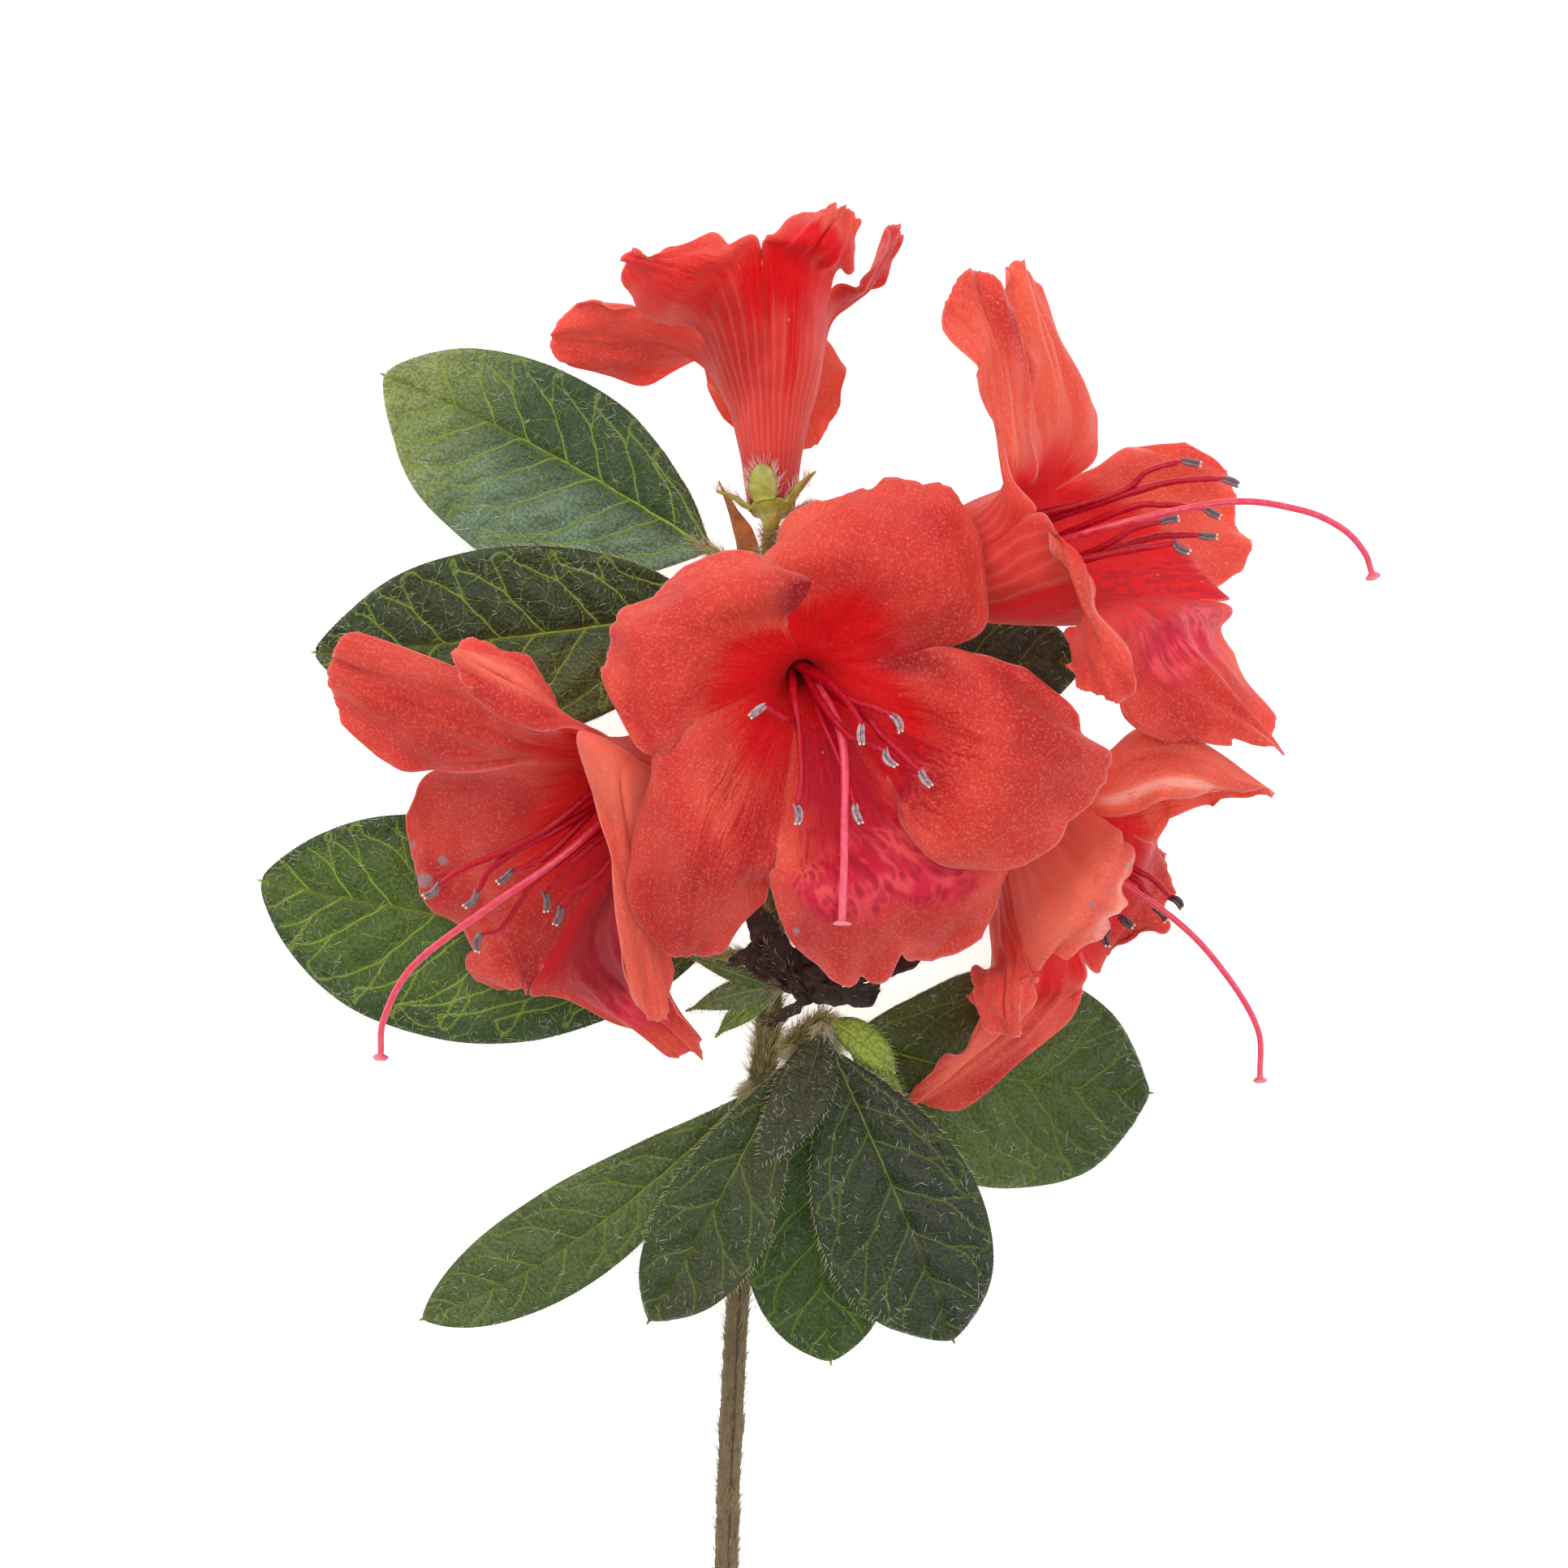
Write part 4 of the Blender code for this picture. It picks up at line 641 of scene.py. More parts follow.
# each withered strip's line, width and curl
WITHERED_STRIPS = [
    ([(-0.8, -8.4, 25.6), (-4.2, -5.6, 26.8), (-7.8, -4, 26.8), (-11.3, -4.8, 25.2)], 6.4, 0.8),
    ([(-3.6, -6, 25.8), (-6.4, -2.2, 27.2), (-7.8, 1.6, 28), (-7.6, 5.4, 26.5)], 5, 0.7),
    ([(-0.4, -8.4, 25.8), (-3, -10.6, 25.5), (-5, -12, 24.8), (-7, -12.8, 23.6)], 2.4, 1.2),
    ([(-3.6, -6.6, 26.2), (0.6, -8.6, 27), (4.6, -8.9, 27.2), (8.2, -8, 26)], 4.4, 0.9),
    ([(-0.8, -7.4, 25.6), (3.8, -6.4, 27), (9.4, -4.8, 27.6), (14.4, -3.6, 26.6)], 3.8, 0.8),
    ([(-0.8, -7.4, 25.6), (0.4, -3.4, 27), (1.4, 0.6, 28), (1.8, 3.8, 27)], 4.4, 0.7),
    ([(-0.9, -9.6, 25.8), (-3.4, -7.2, 27.6), (-5.2, -5.4, 27.8), (-6.6, -4.6, 27.4)], 2.2, 1.3),
    ([(-1.8, -8.8, 27.2), (-3.8, -6.4, 28.2), (-6, -3.4, 28.6), (-7.6, -1.2, 28.4)], 1.2, 0.4),
]
BUD_SCALE_LINE = [(-9, 46, 26.4), (-9.6, 50.2, 27.2), (-11.2, 54, 27.6), (-12.6, 57.4, 28)]


# ---- settings a user would change ---------------------------------------
def paint(red, green, blue):
    """a colour from a paint chart's 0 to 255 numbers, as light."""
    parts = []
    for part in (red, green, blue):
        part = part / 255.0
        parts.append(part / 12.92 if part <= 0.04045 else ((part + 0.055) / 1.055) ** 2.4)
    return tuple(parts)


def length_setting(name, description, default):
    return bpy.props.FloatProperty(
        name=name, description=description, default=default * MM, min=0.0, unit="LENGTH", precision=5
    )


def colour_setting(name, description, red, green, blue):
    return bpy.props.FloatVectorProperty(
        name=name, description=description, default=paint(red, green, blue), size=3, subtype="COLOR",
        min=0.0, max=1.0
    )


class PetalSettings(bpy.types.PropertyGroup):
    thickness: length_setting("Thickness", "How thick the petals are near the tube", 0.42)
    edge_thickness: length_setting("Edge thickness", "How thick the petals are at their edge", 0.16)
    ruffle: length_setting("Ruffle", "Height of the waves along the petal edges", 0.8)
    frill: length_setting("Frill", "Height of the small waves along the petal edges", 0.28)
    coral: colour_setting("Coral", "Main petal colour", 207, 59, 43)
    coral_shade: colour_setting("Coral shade", "Darker parts of the petals", 188, 38, 34)
    margin: colour_setting("Margin", "Paler petal edge", 228, 96, 80)
    throat: colour_setting("Throat", "Deep red inside the tube", 210, 0, 12)
    blush: colour_setting("Blush", "Magenta patch on the marked petals", 196, 26, 60)
    spots: colour_setting("Spots", "Dark spots in the throat", 156, 0, 38)
    outside: colour_setting("Outside", "Back of the petals", 218, 66, 54)
    veins: colour_setting("Veins", "Veins on the back of the petals", 196, 30, 34)


class StamenSettings(bpy.types.PropertyGroup):
    filament_radius: length_setting("Filament radius", "Half the thickness of a filament", 0.46)
    anther_width: length_setting("Anther width", "Width of a pair of pollen sacs", 1.15)
    filament: colour_setting("Filament", "Filament colour", 182, 8, 36)
    style: colour_setting("Style", "Colour of the style", 226, 62, 92)
    stigma: colour_setting("Stigma", "Colour of the stigma", 214, 132, 142)
    anther: colour_setting("Anther", "Colour of the darker pollen sacs", 66, 40, 44)
    pollen: colour_setting("Pollen", "Colour at the pores", 232, 226, 204)


class LeafSettings(bpy.types.PropertyGroup):
    thickness: length_setting("Thickness", "How thick the blades of grown leaves are", 0.5)
    vein_radius: length_setting("Vein radius", "Half the thickness of a side vein at the midrib", 0.1)
    hair_length: length_setting("Hair length", "Length of a hair on a blade", 1.25)
    hair_radius: length_setting("Hair radius", "Half the thickness of a hair", 0.034)
    hair_spacing: length_setting("Hair spacing", "Distance between hairs on a blade", 1.25)
    veins: colour_setting("Veins", "Colour of the vein network", 152, 178, 56)
    hairs: colour_setting("Hairs", "Colour of the hairs on the blades", 236, 238, 222)
    under: colour_setting("Underside", "Colour of the underside", 120, 138, 84)


class StemSettings(bpy.types.PropertyGroup):
    bark: colour_setting("Bark", "Brown of the older stem", 112, 92, 68)
    green: colour_setting("Green", "Green of the younger stem", 92, 98, 44)
    hairs: colour_setting("Hairs", "Hairs on the stem", 176, 160, 116)
    cup: colour_setting("Cup", "Green of the lobes under a bloom", 172, 172, 60)
    withered: colour_setting("Withered", "Withered remains", 40, 26, 20)
    rust: colour_setting("Rust", "Dry bud scale", 178, 104, 40)


class StageSettings(bpy.types.PropertyGroup):
    floor: colour_setting("Floor", "Pale floor", 250, 250, 250)
    camera_height: length_setting("Camera height", "How high the camera is", 1325.0)
    camera_across: bpy.props.FloatProperty(
        name="Camera across", description="Camera place along X", default=-4.2 * MM, unit="LENGTH"
    )
    camera_along: bpy.props.FloatProperty(
        name="Camera along", description="Camera place along Y", default=18.27 * MM, unit="LENGTH"
    )
    lens: bpy.props.FloatProperty(
        name="Lens", description="Focal length in millimetres", default=230.7, min=1.0, unit="CAMERA"
    )
    key: bpy.props.FloatProperty(
        name="Key light", description="Strength of the large light", default=11.0, min=0.0, unit="POWER"
    )
    glow: bpy.props.FloatProperty(
        name="Floor glow", description="How much light the floor gives by itself", default=0.72, min=0.0,
        subtype="FACTOR"
    )
    fill: bpy.props.FloatProperty(
        name="Fill light", description="Strength of the light from all round", default=0.55, min=0.0,
        subtype="FACTOR"
    )


SETTINGS = {
    "sprig_petals": PetalSettings,
    "sprig_stamens": StamenSettings,
    "sprig_leaves": LeafSettings,
    "sprig_stem": StemSettings,
    "sprig_stage": StageSettings,
}


# ---- small helpers ------------------------------------------------------
def unit(vector):
    vector = np.asarray(vector, float)
    return vector / np.linalg.norm(vector, axis=-1, keepdims=True)


def ease(amount):
    amount = np.clip(amount, 0.0, 1.0)
    return amount * amount * (3.0 - 2.0 * amount)


def window(value, low, high, soft):
    """1 between low and high, falling to 0 over soft on either side."""
    return ease((value - low) / soft + 0.5) * (1.0 - ease((value - high) / soft + 0.5))


def hump(value, place, breadth):
    return np.exp(-(((value - place) / breadth) ** 2))


def smooth_line(points, count):
    """count + 1 points on a smooth line through the given points."""
    given = np.asarray(points, float)
    given = np.vstack([2 * given[0] - given[1], given, 2 * given[-1] - given[-2]])
    spans = len(given) - 3
    line = []
    for place in np.linspace(0.0, spans, count + 1):
        number = min(int(place), spans - 1)
        t = place - number
        a, b, c, d = given[number:number + 4]
        line.append(
            0.5 * (2 * b + (c - a) * t + (2 * a - 5 * b + 4 * c - d) * t**2 + (3 * b - a - 3 * c + d) * t**3)
        )
    return np.array(line)


def directions(line):
    return unit(np.gradient(line, axis=0))


def carried_sides(headings, side):
    """a sideways direction carried along the line without turning about it."""
    sides = []
    side = np.asarray(side, float)
    for heading in headings:
        side = unit(side - heading * (side @ heading))
        sides.append(side)
    return np.array(sides)


def through_three(first, middle, second, across):
    """the curve through three points; across runs from -1 to 1."""
    across = np.asarray(across)[:, None]
    return middle + (second - first) / 2 * across + ((first + second) / 2 - middle) * across**2


def hermite(start, end, leave, arrive, t):
    t = np.asarray(t, float)
    if t.ndim:
        t = t[:, None]
    a = 2 * t**3 - 3 * t**2 + 1
    b = t**3 - 2 * t**2 + t
    c = 3 * t**2 - 2 * t**3
    d = t**3 - t**2
    return a * start + b * leave + c * end + d * arrive


def swell(points, size, seed):
    """gentle seeded unevenness of about the given size, between -1 and 1."""
    rng = np.random.default_rng(seed)
    total = np.zeros(np.shape(points)[:-1])
    for _ in range(7):
        way = unit(rng.normal(size=3)) * (2 * math.pi / size) * rng.uniform(0.6, 1.5)
        total += np.sin(points @ way + rng.uniform(0, 2 * math.pi))
    return total / 3.5


# ---- meshes -------------------------------------------------------------
def piece(name, parts, look, nodes=()):
    """one mesh piece from parts of (points, faces, {attribute: values}), in millimetres."""
    points = []
    faces = []
    notes = {}
    start = 0
    for part_points, part_faces, part_notes in parts:
        points.append(np.asarray(part_points, float))
        for block in part_faces:
            faces.extend((np.asarray(block) + start).tolist())
        for key, values in part_notes.items():
            notes.setdefault(key, []).append(np.asarray(values, float))
        start += len(part_points)
    points = np.vstack(points)
    mesh = bpy.data.meshes.new(name)
    mesh.from_pydata((points * MM).tolist(), [], faces)
    for key, values in notes.items():
        values = np.vstack(values)
        if len(values) != len(points):
            raise RuntimeError("attribute " + key + " does not fit " + name)
        made = mesh.attributes.new(key, "FLOAT_VECTOR", "POINT")
        made.data.foreach_set("vector", values.astype(np.float32).ravel())
    mesh.shade_smooth()
    mesh.materials.append(look)
    mesh.update()
    made = bpy.data.objects.new(name, mesh)
    bpy.context.scene.collection.objects.link(made)
    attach(made, "root")
    if nodes:
        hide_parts(*nodes)
    return made


def vertex_normals(points, blocks):
    normals = np.zeros_like(points)
    for block in blocks:
        corners = points[block]
        count = block.shape[1]
        middle = corners.mean(axis=1)
        for number in range(count):
            after = (number + 1) % count
            area = np.cross(corners[:, number] - middle, corners[:, after] - middle)
            np.add.at(normals, block[:, number], area)
            np.add.at(normals, block[:, after], area)
    return unit(normals + 1e-12)


def shell(points, blocks, half, notes):
    """a closed sheet about a surface; the note called side is 1 above and 0 below."""
    normals = vertex_normals(points, blocks)
    half = np.asarray(half)[:, None]
    count = len(points)
    faces = []
    edges = []
    for block in blocks:
        faces.append(block)
        faces.append(block[:, ::-1] + count)
        for number in range(block.shape[1]):
            edges.append(np.stack([block[:, number], block[:, (number + 1) % block.shape[1]]], axis=1))
    edges = np.vstack(edges)
    keys = edges.min(axis=1) * count + edges.max(axis=1)
    _, back, times = np.unique(keys, return_inverse=True, return_counts=True)
    rim = edges[times[back] == 1]
    faces.append(np.stack([rim[:, 1], rim[:, 0], rim[:, 0] + count, rim[:, 1] + count], axis=1))
    doubled = {}
    for key, values in notes.items():
        lower = values.copy()
        if key in ("grown", "vein"):
            lower[:, 2] = 0.0
        doubled[key] = np.vstack([values, lower])
    return np.vstack([points + normals * half, points - normals * half]), faces, doubled


def sheet_quads(index):
    """the faces between neighbouring points of a sheet, from its array of point numbers."""
    corners = [index[..., :-1, :-1], index[..., :-1, 1:], index[..., 1:, 1:], index[..., 1:, :-1]]
    return np.stack(corners, axis=-1).reshape(-1, 4)


def sheet(grid, half):
    """a thin closed sheet from rows of points, half as thick to each side as half says."""
    index = np.arange(grid[:, :, 0].size).reshape(grid.shape[:2])
    return shell(grid.reshape(-1, 3), [sheet_quads(index)], np.broadcast_to(half, index.shape).ravel(), {})


def tube_mesh(line, radii, sides, side=(0.3, 0.2, 1.0), shape=None):
    """a round limb along a line, closed at both ends; shape is a factor per (row, side)."""
    line = np.asarray(line, float)
    headings = directions(line)
    across = carried_sides(headings, side if abs(headings[0] @ unit(side)) < 0.9 else (1.0, 0.1, 0.2))
    other = np.cross(headings, across)
    turns = np.arange(sides) * 2 * math.pi / sides
    spread = np.cos(turns)[None, :, None] * across[:, None] + np.sin(turns)[None, :, None] * other[:, None]
    size = np.asarray(radii, float)[:, None, None] * np.ones((1, sides, 1))
    if shape is not None:
        size = size * shape[:, :, None]
    rings = line[:, None] + spread * size
    rows = len(line)
    points = np.vstack([rings.reshape(-1, 3), line[0], line[-1]])
    row, column = np.meshgrid(np.arange(rows - 1), np.arange(sides), indexing="ij")
    after = (column + 1) % sides
    walls = np.stack(
        [row * sides + column, row * sides + after, (row + 1) * sides + after, (row + 1) * sides + column],
        axis=-1
    )
    walls = walls.reshape(-1, 4)
    number = np.arange(sides)
    after = (number + 1) % sides
    first = np.stack([after, number, np.full(sides, rows * sides)], axis=1)
    last = np.stack(
        [(rows - 1) * sides + number, (rows - 1) * sides + after, np.full(sides, rows * sides + 1)], axis=1
    )
    return points, [walls, first, last]


def along_note(rows, sides, extra=0.0):
    """how far along a limb each of its points is, with its turn."""
    share = np.repeat(np.linspace(0, 1, rows), sides)
    turn = np.tile(np.arange(sides) / sides, rows)
    body = np.stack([share, turn, np.full(len(share), extra)], axis=1)
    return np.vstack([body, [[0.0, 0.0, extra], [1.0, 0.0, extra]]])


def needles(roots, leaning, lengths, radius, rng, bend):
    """fine tapering hairs, three-sided, each bent a little."""
    roots = np.asarray(roots, float)
    count = len(roots)
    heading = unit(leaning)
    heading[:, 2] = np.where(roots[:, 2] < UPWARD_BELOW, np.abs(heading[:, 2]), heading[:, 2])
    loose = unit(rng.normal(size=(count, 3)))
    side = unit(np.cross(heading, loose) + 1e-9)
    other = np.cross(heading, side)
    lengths = np.asarray(lengths)[:, None]
    bow = side * lengths * (rng.uniform(-bend, bend, size=count))[:, None]
    rings = []
    for share, size in ((-0.06, 1.0), (0.33, 0.9), (0.68, 0.62)):
        centre = roots + heading * lengths * share + bow * share**2
        for turn in (0.0, 2.094, 4.189):
            rings.append(centre + radius * size * (side * math.cos(turn) + other * math.sin(turn)))
    rings.append(roots + heading * lengths + bow)
    points = np.stack(rings, axis=1).reshape(-1, 3)
    start = (np.arange(count) * 10)[:, None]
    quads = []
    for ring in (0, 3):
        for number in range(3):
            after = (number + 1) % 3
            quads.append(
                start + np.array([[ring + number, ring + after, ring + 3 + after, ring + 3 + number]])
            )
    tips = [start + np.array([[6 + number, 6 + (number + 1) % 3, 9]]) for number in range(3)]
    tips.append(start + np.array([[2, 1, 0]]))
    return points, [np.vstack(quads), np.vstack(tips)]


def hair_piece(name, hairs, radius, rng, look, bend=0.35):
    """one piece of fine hairs, from their roots, ways and lengths."""
    roots, leaning, lengths = hairs
    points, faces = needles(roots, leaning, lengths, radius, rng, bend)
    piece(name, [(points, faces, {})], look)


# ---- materials ----------------------------------------------------------
class Shader:
    """a material's nodes, with short ways to add to them."""

    def __init__(self, name, roughness=0.5):
        self.material = bpy.data.materials.new(name)
        self.material.use_nodes = True
        self.tree = self.material.node_tree
        self.surface = self.tree.nodes["Principled BSDF"]
        self.surface.inputs["Roughness"].default_value = roughness

    def put(self, socket, value):
        if isinstance(value, bpy.types.NodeSocket):
            self.tree.links.new(value, socket)
        elif socket.type == "RGBA":
            socket.default_value = (*value, 1.0)
        else:
            socket.default_value = value

    def reckon(self, operation, first, second):
        made = self.tree.nodes.new("ShaderNodeMath")
        made.operation = operation
        self.put(made.inputs[0], first)
        self.put(made.inputs[1], second)
        return made.outputs[0]

    def plus(self, first, second):
        return self.reckon("ADD", first, second)

    def minus(self, first, second):
        return self.reckon("SUBTRACT", first, second)

    def times(self, first, second):
        return self.reckon("MULTIPLY", first, second)

    def most(self, first, second):
        return self.reckon("MAXIMUM", first, second)

    def least(self, first, second):
        return self.reckon("MINIMUM", first, second)

    def blend(self, amount, first, second):
        made = self.tree.nodes.new("ShaderNodeMix")
        made.data_type = "RGBA"
        self.put(made.inputs[0], amount)
        self.put(made.inputs[6], first)
        self.put(made.inputs[7], second)
        return made.outputs[2]

    def remap(self, value, low, high, to_low=0.0, to_high=1.0):
        made = self.tree.nodes.new("ShaderNodeMapRange")
        made.interpolation_type = "SMOOTHSTEP"
        for name, setting in (
            ("Value", value), ("From Min", low), ("From Max", high), ("To Min", to_low), ("To Max", to_high)
        ):
            self.put(made.inputs[name], setting)
        return made.outputs[0]

    def place(self):
        return self.tree.nodes.new("ShaderNodeTexCoord").outputs["Object"]

    def note(self, name):
        made = self.tree.nodes.new("ShaderNodeAttribute")
        made.attribute_name = name
        split = self.tree.nodes.new("ShaderNodeSeparateXYZ")
        self.tree.links.new(made.outputs["Vector"], split.inputs[0])
        return split.outputs[0], split.outputs[1], split.outputs[2], made.outputs["Vector"]

    def vector(self, x, y, z=0.0):
        made = self.tree.nodes.new("ShaderNodeCombineXYZ")
        for socket, value in zip(made.inputs, (x, y, z)):
            self.put(socket, value)
        return made.outputs[0]

    def noise(self, where, scale, detail=2.0, roughness=0.5):
        made = self.tree.nodes.new("ShaderNodeTexNoise")
        self.put(made.inputs["Vector"], where)
        made.inputs["Scale"].default_value = scale
        made.inputs["Detail"].default_value = detail
        made.inputs["Roughness"].default_value = roughness
        return made.outputs[0]

    def cells(self, where, scale, feature="DISTANCE_TO_EDGE", dimensions="2D"):
        made = self.tree.nodes.new("ShaderNodeTexVoronoi")
        made.voronoi_dimensions = dimensions
        made.feature = feature
        self.put(made.inputs["Vector"], where)
        made.inputs["Scale"].default_value = scale
        return made.outputs[0]

    def line(self, value, width):
        """1 on the whole numbers of value, falling to 0 at width from them."""
        return self.remap(self.reckon("PINGPONG", value, 0.5), 0.0, width, 1.0, 0.0)

    def raise_by(self, height, distance):
        made = self.tree.nodes.new("ShaderNodeBump")
        made.inputs["Distance"].default_value = distance * MM
        made.inputs["Strength"].default_value = 1.0
        self.put(made.inputs["Height"], height)
        self.tree.links.new(made.outputs[0], self.surface.inputs["Normal"])

    def glow_within(self, weight, radius, scale):
        """light that spreads under the skin, further in red than in green and blue."""
        self.surface.inputs["Subsurface Weight"].default_value = weight
        self.surface.inputs["Subsurface Radius"].default_value = radius
        self.surface.inputs["Subsurface Scale"].default_value = scale * MM

    def colour(self, value):
        self.put(self.surface.inputs["Base Color"], value)
        return self.material


def petal_look(settings):
    look = Shader("petal coral", 0.5)
    beside, along, side, _ = look.note("grown")
    blush, margin, spots, _ = look.note("marks")
    deep, scar, crimson, _ = look.note("stain")
    # tone holds the painted light, the painted shade and the fine dark red streaks
    light, dark, streaks, _ = look.note("light_and_shade")
    where = look.place()
    drift = look.noise(where, 170.0, 1.0)
    broad = look.noise(where, 75.0, 2.0, 0.6)
    grit = look.noise(where, 2600.0, 1.0, 0.75)
    # veins fan out from the throat and fork twice on their way to the edge
    bent = look.plus(beside, look.times(look.minus(drift, 0.5), 0.2))
    first_veins = look.line(look.times(bent, 3.5), 0.1)
    second_veins = look.times(
        look.line(look.times(bent, 7.5), 0.17), look.remap(along, 0.85, 1.15, 0.0, 0.75)
    )
    third_veins = look.times(look.line(look.times(bent, 16.0), 0.26), look.remap(along, 1.2, 1.5, 0.0, 0.55))
    veins = look.most(look.most(first_veins, second_veins), third_veins)
    # painted highlight: a pale line along the petals' rims, left out where painted shade lies
    rim_highlight = look.times(look.remap(margin, 0.1, 0.55, 0.55, 0.0), look.remap(dark, 0.3, 0.9, 1.0, 0.0))
    # inside
    inside = look.blend(look.remap(broad, 0.36, 0.66), settings.coral, settings.coral_shade)
    pale = look.remap(look.plus(margin, look.times(look.minus(broad, 0.5), 16.0)), 0.0, 6.0, 0.5, 0.0)
    inside = look.blend(pale, inside, settings.margin)
    inside = look.blend(look.times(veins, 0.2), inside, settings.coral_shade)
    streak = look.noise(look.vector(look.times(beside, 16.0), look.times(along, 2.0), 3.0), 1.6, 2.0, 0.6)
    ragged = look.times(look.minus(streak, 0.5), 1.35)
    strong = look.blend(look.remap(along, 1.00, 1.4), paint(178, 0, 26), settings.blush)
    cloud = look.noise(look.vector(look.times(bent, 5.0), look.times(along, 3.6), 9.0), 1.0, 2.0, 0.68)
    washed = look.times(look.remap(cloud, 0.42, 0.6), look.remap(along, 0.96, 1.22, 0.0, 0.8))
    strong = look.blend(washed, strong, paint(224, 78, 84))
    inside = look.blend(look.remap(look.plus(blush, ragged), 0.15, 1.0), inside, strong)
    # painted light on the inside: paler coral, then pale pink, where tone paints light
    inside = look.blend(look.least(look.most(light, 0.0), 0.9), inside, paint(240, 116, 84))
    inside = look.blend(look.remap(light, 0.75, 1.4, 0.0, 0.75), inside, paint(246, 178, 168))
    reach = look.plus(deep, ragged)
    inside = look.blend(look.remap(reach, 0.25, 0.9), inside, settings.throat)
    fine = look.noise(look.vector(look.times(bent, 30.0), look.times(along, 3.2), 7.0), 1.0, 1.0, 0.6)
    brushed = look.times(look.remap(fine, 0.48, 0.64), streaks)
    inside = look.blend(look.times(brushed, 0.85), inside, paint(178, 0, 24))
    wander = look.times(drift, 2.2)
    spotted = look.vector(
        look.plus(look.times(bent, 11.0), wander), look.times(look.plus(along, drift), 6.5), 1.0
    )
    dots = look.cells(spotted, 1.0, "F1")
    shown = look.remap(look.times(spots, look.plus(0.35, drift)), 0.34, 0.7)
    inside = look.blend(look.times(look.remap(dots, 0.16, 0.52, 0.62, 0.0), shown), inside, settings.spots)
    # outside
    outside = look.blend(look.remap(broad, 0.34, 0.66), settings.outside, settings.coral_shade)
    outside = look.blend(look.remap(margin, 0.0, 2.8, 0.36, 0.0), outside, settings.margin)
    outside = look.blend(look.times(veins, 0.3), outside, settings.veins)
    ribs = look.line(look.plus(look.times(bent, 3.5), 0.5), 0.26)
    ribs = look.times(ribs, look.remap(along, 1.15, 0.8, 0.0, 0.22))
    outside = look.blend(ribs, outside, paint(238, 130, 116))
    # painted light on the outside: paler coral, then pale pink, where tone paints light
    outside = look.blend(look.least(look.most(light, 0.0), 0.9), outside, paint(240, 122, 96))
    outside = look.blend(look.remap(light, 0.75, 1.4, 0.0, 0.75), outside, paint(246, 178, 168))
    outside = look.blend(look.remap(look.plus(crimson, ragged), 0.25, 0.9), outside, settings.throat)
    skin = look.blend(side, inside, outside)
    # painted shade: darker red where tone paints shade
    skin = look.blend(look.least(dark, 0.9), skin, paint(142, 6, 24))
    bare = look.minus(1.0, look.least(look.plus(look.most(deep, blush), crimson), 0.85))
    hatch = look.noise(look.vector(look.times(bent, 60.0), look.times(along, 9.0), 11.0), 1.0, 1.0, 0.7)
    skin = look.blend(look.times(look.remap(hatch, 0.5, 0.72, 0.0, 0.4), bare), skin, settings.coral_shade)
    # painted glints: the petal's fine grain made lighter where it would catch the light
    painted_sparkle = look.times(look.remap(grit, 0.46, 0.78, 0.0, 0.19), bare)
    skin = look.blend(painted_sparkle, skin, (0.95, 0.46, 0.36))
    # painted glints: rare tiny pinkish-white specks on the petals
    glint_cells = look.cells(where, 420.0, "F1", "3D")
    painted_glints = look.times(look.remap(glint_cells, 0.04, 0.11, 0.26, 0.0), look.remap(drift, 0.56, 0.66))
    skin = look.blend(painted_glints, skin, (0.95, 0.55, 0.48))
    # the painted highlight along the rims
    skin = look.blend(rim_highlight, skin, paint(226, 122, 118))
    torn = look.times(scar, look.plus(0.15, look.noise(where, 1500.0, 3.0, 0.7)))
    skin = look.blend(look.remap(torn, 0.34, 0.52, 0.0, 0.85), skin, paint(150, 128, 128))
    height = look.plus(look.times(hatch, -0.5), look.times(grit, 0.26))
    height = look.plus(height, look.times(look.noise(where, 620.0, 1.0), 0.8))
    look.raise_by(height, 0.2)
    look.surface.inputs["Sheen Weight"].default_value = 0.04
    look.surface.inputs["Specular IOR Level"].default_value = 0.18
    look.glow_within(0.4, (1.0, 0.22, 0.16), 1.2)
    look.put(look.surface.inputs["Roughness"], look.remap(grit, 0.2, 0.8, 0.44, 0.66))
    return look.colour(skin)


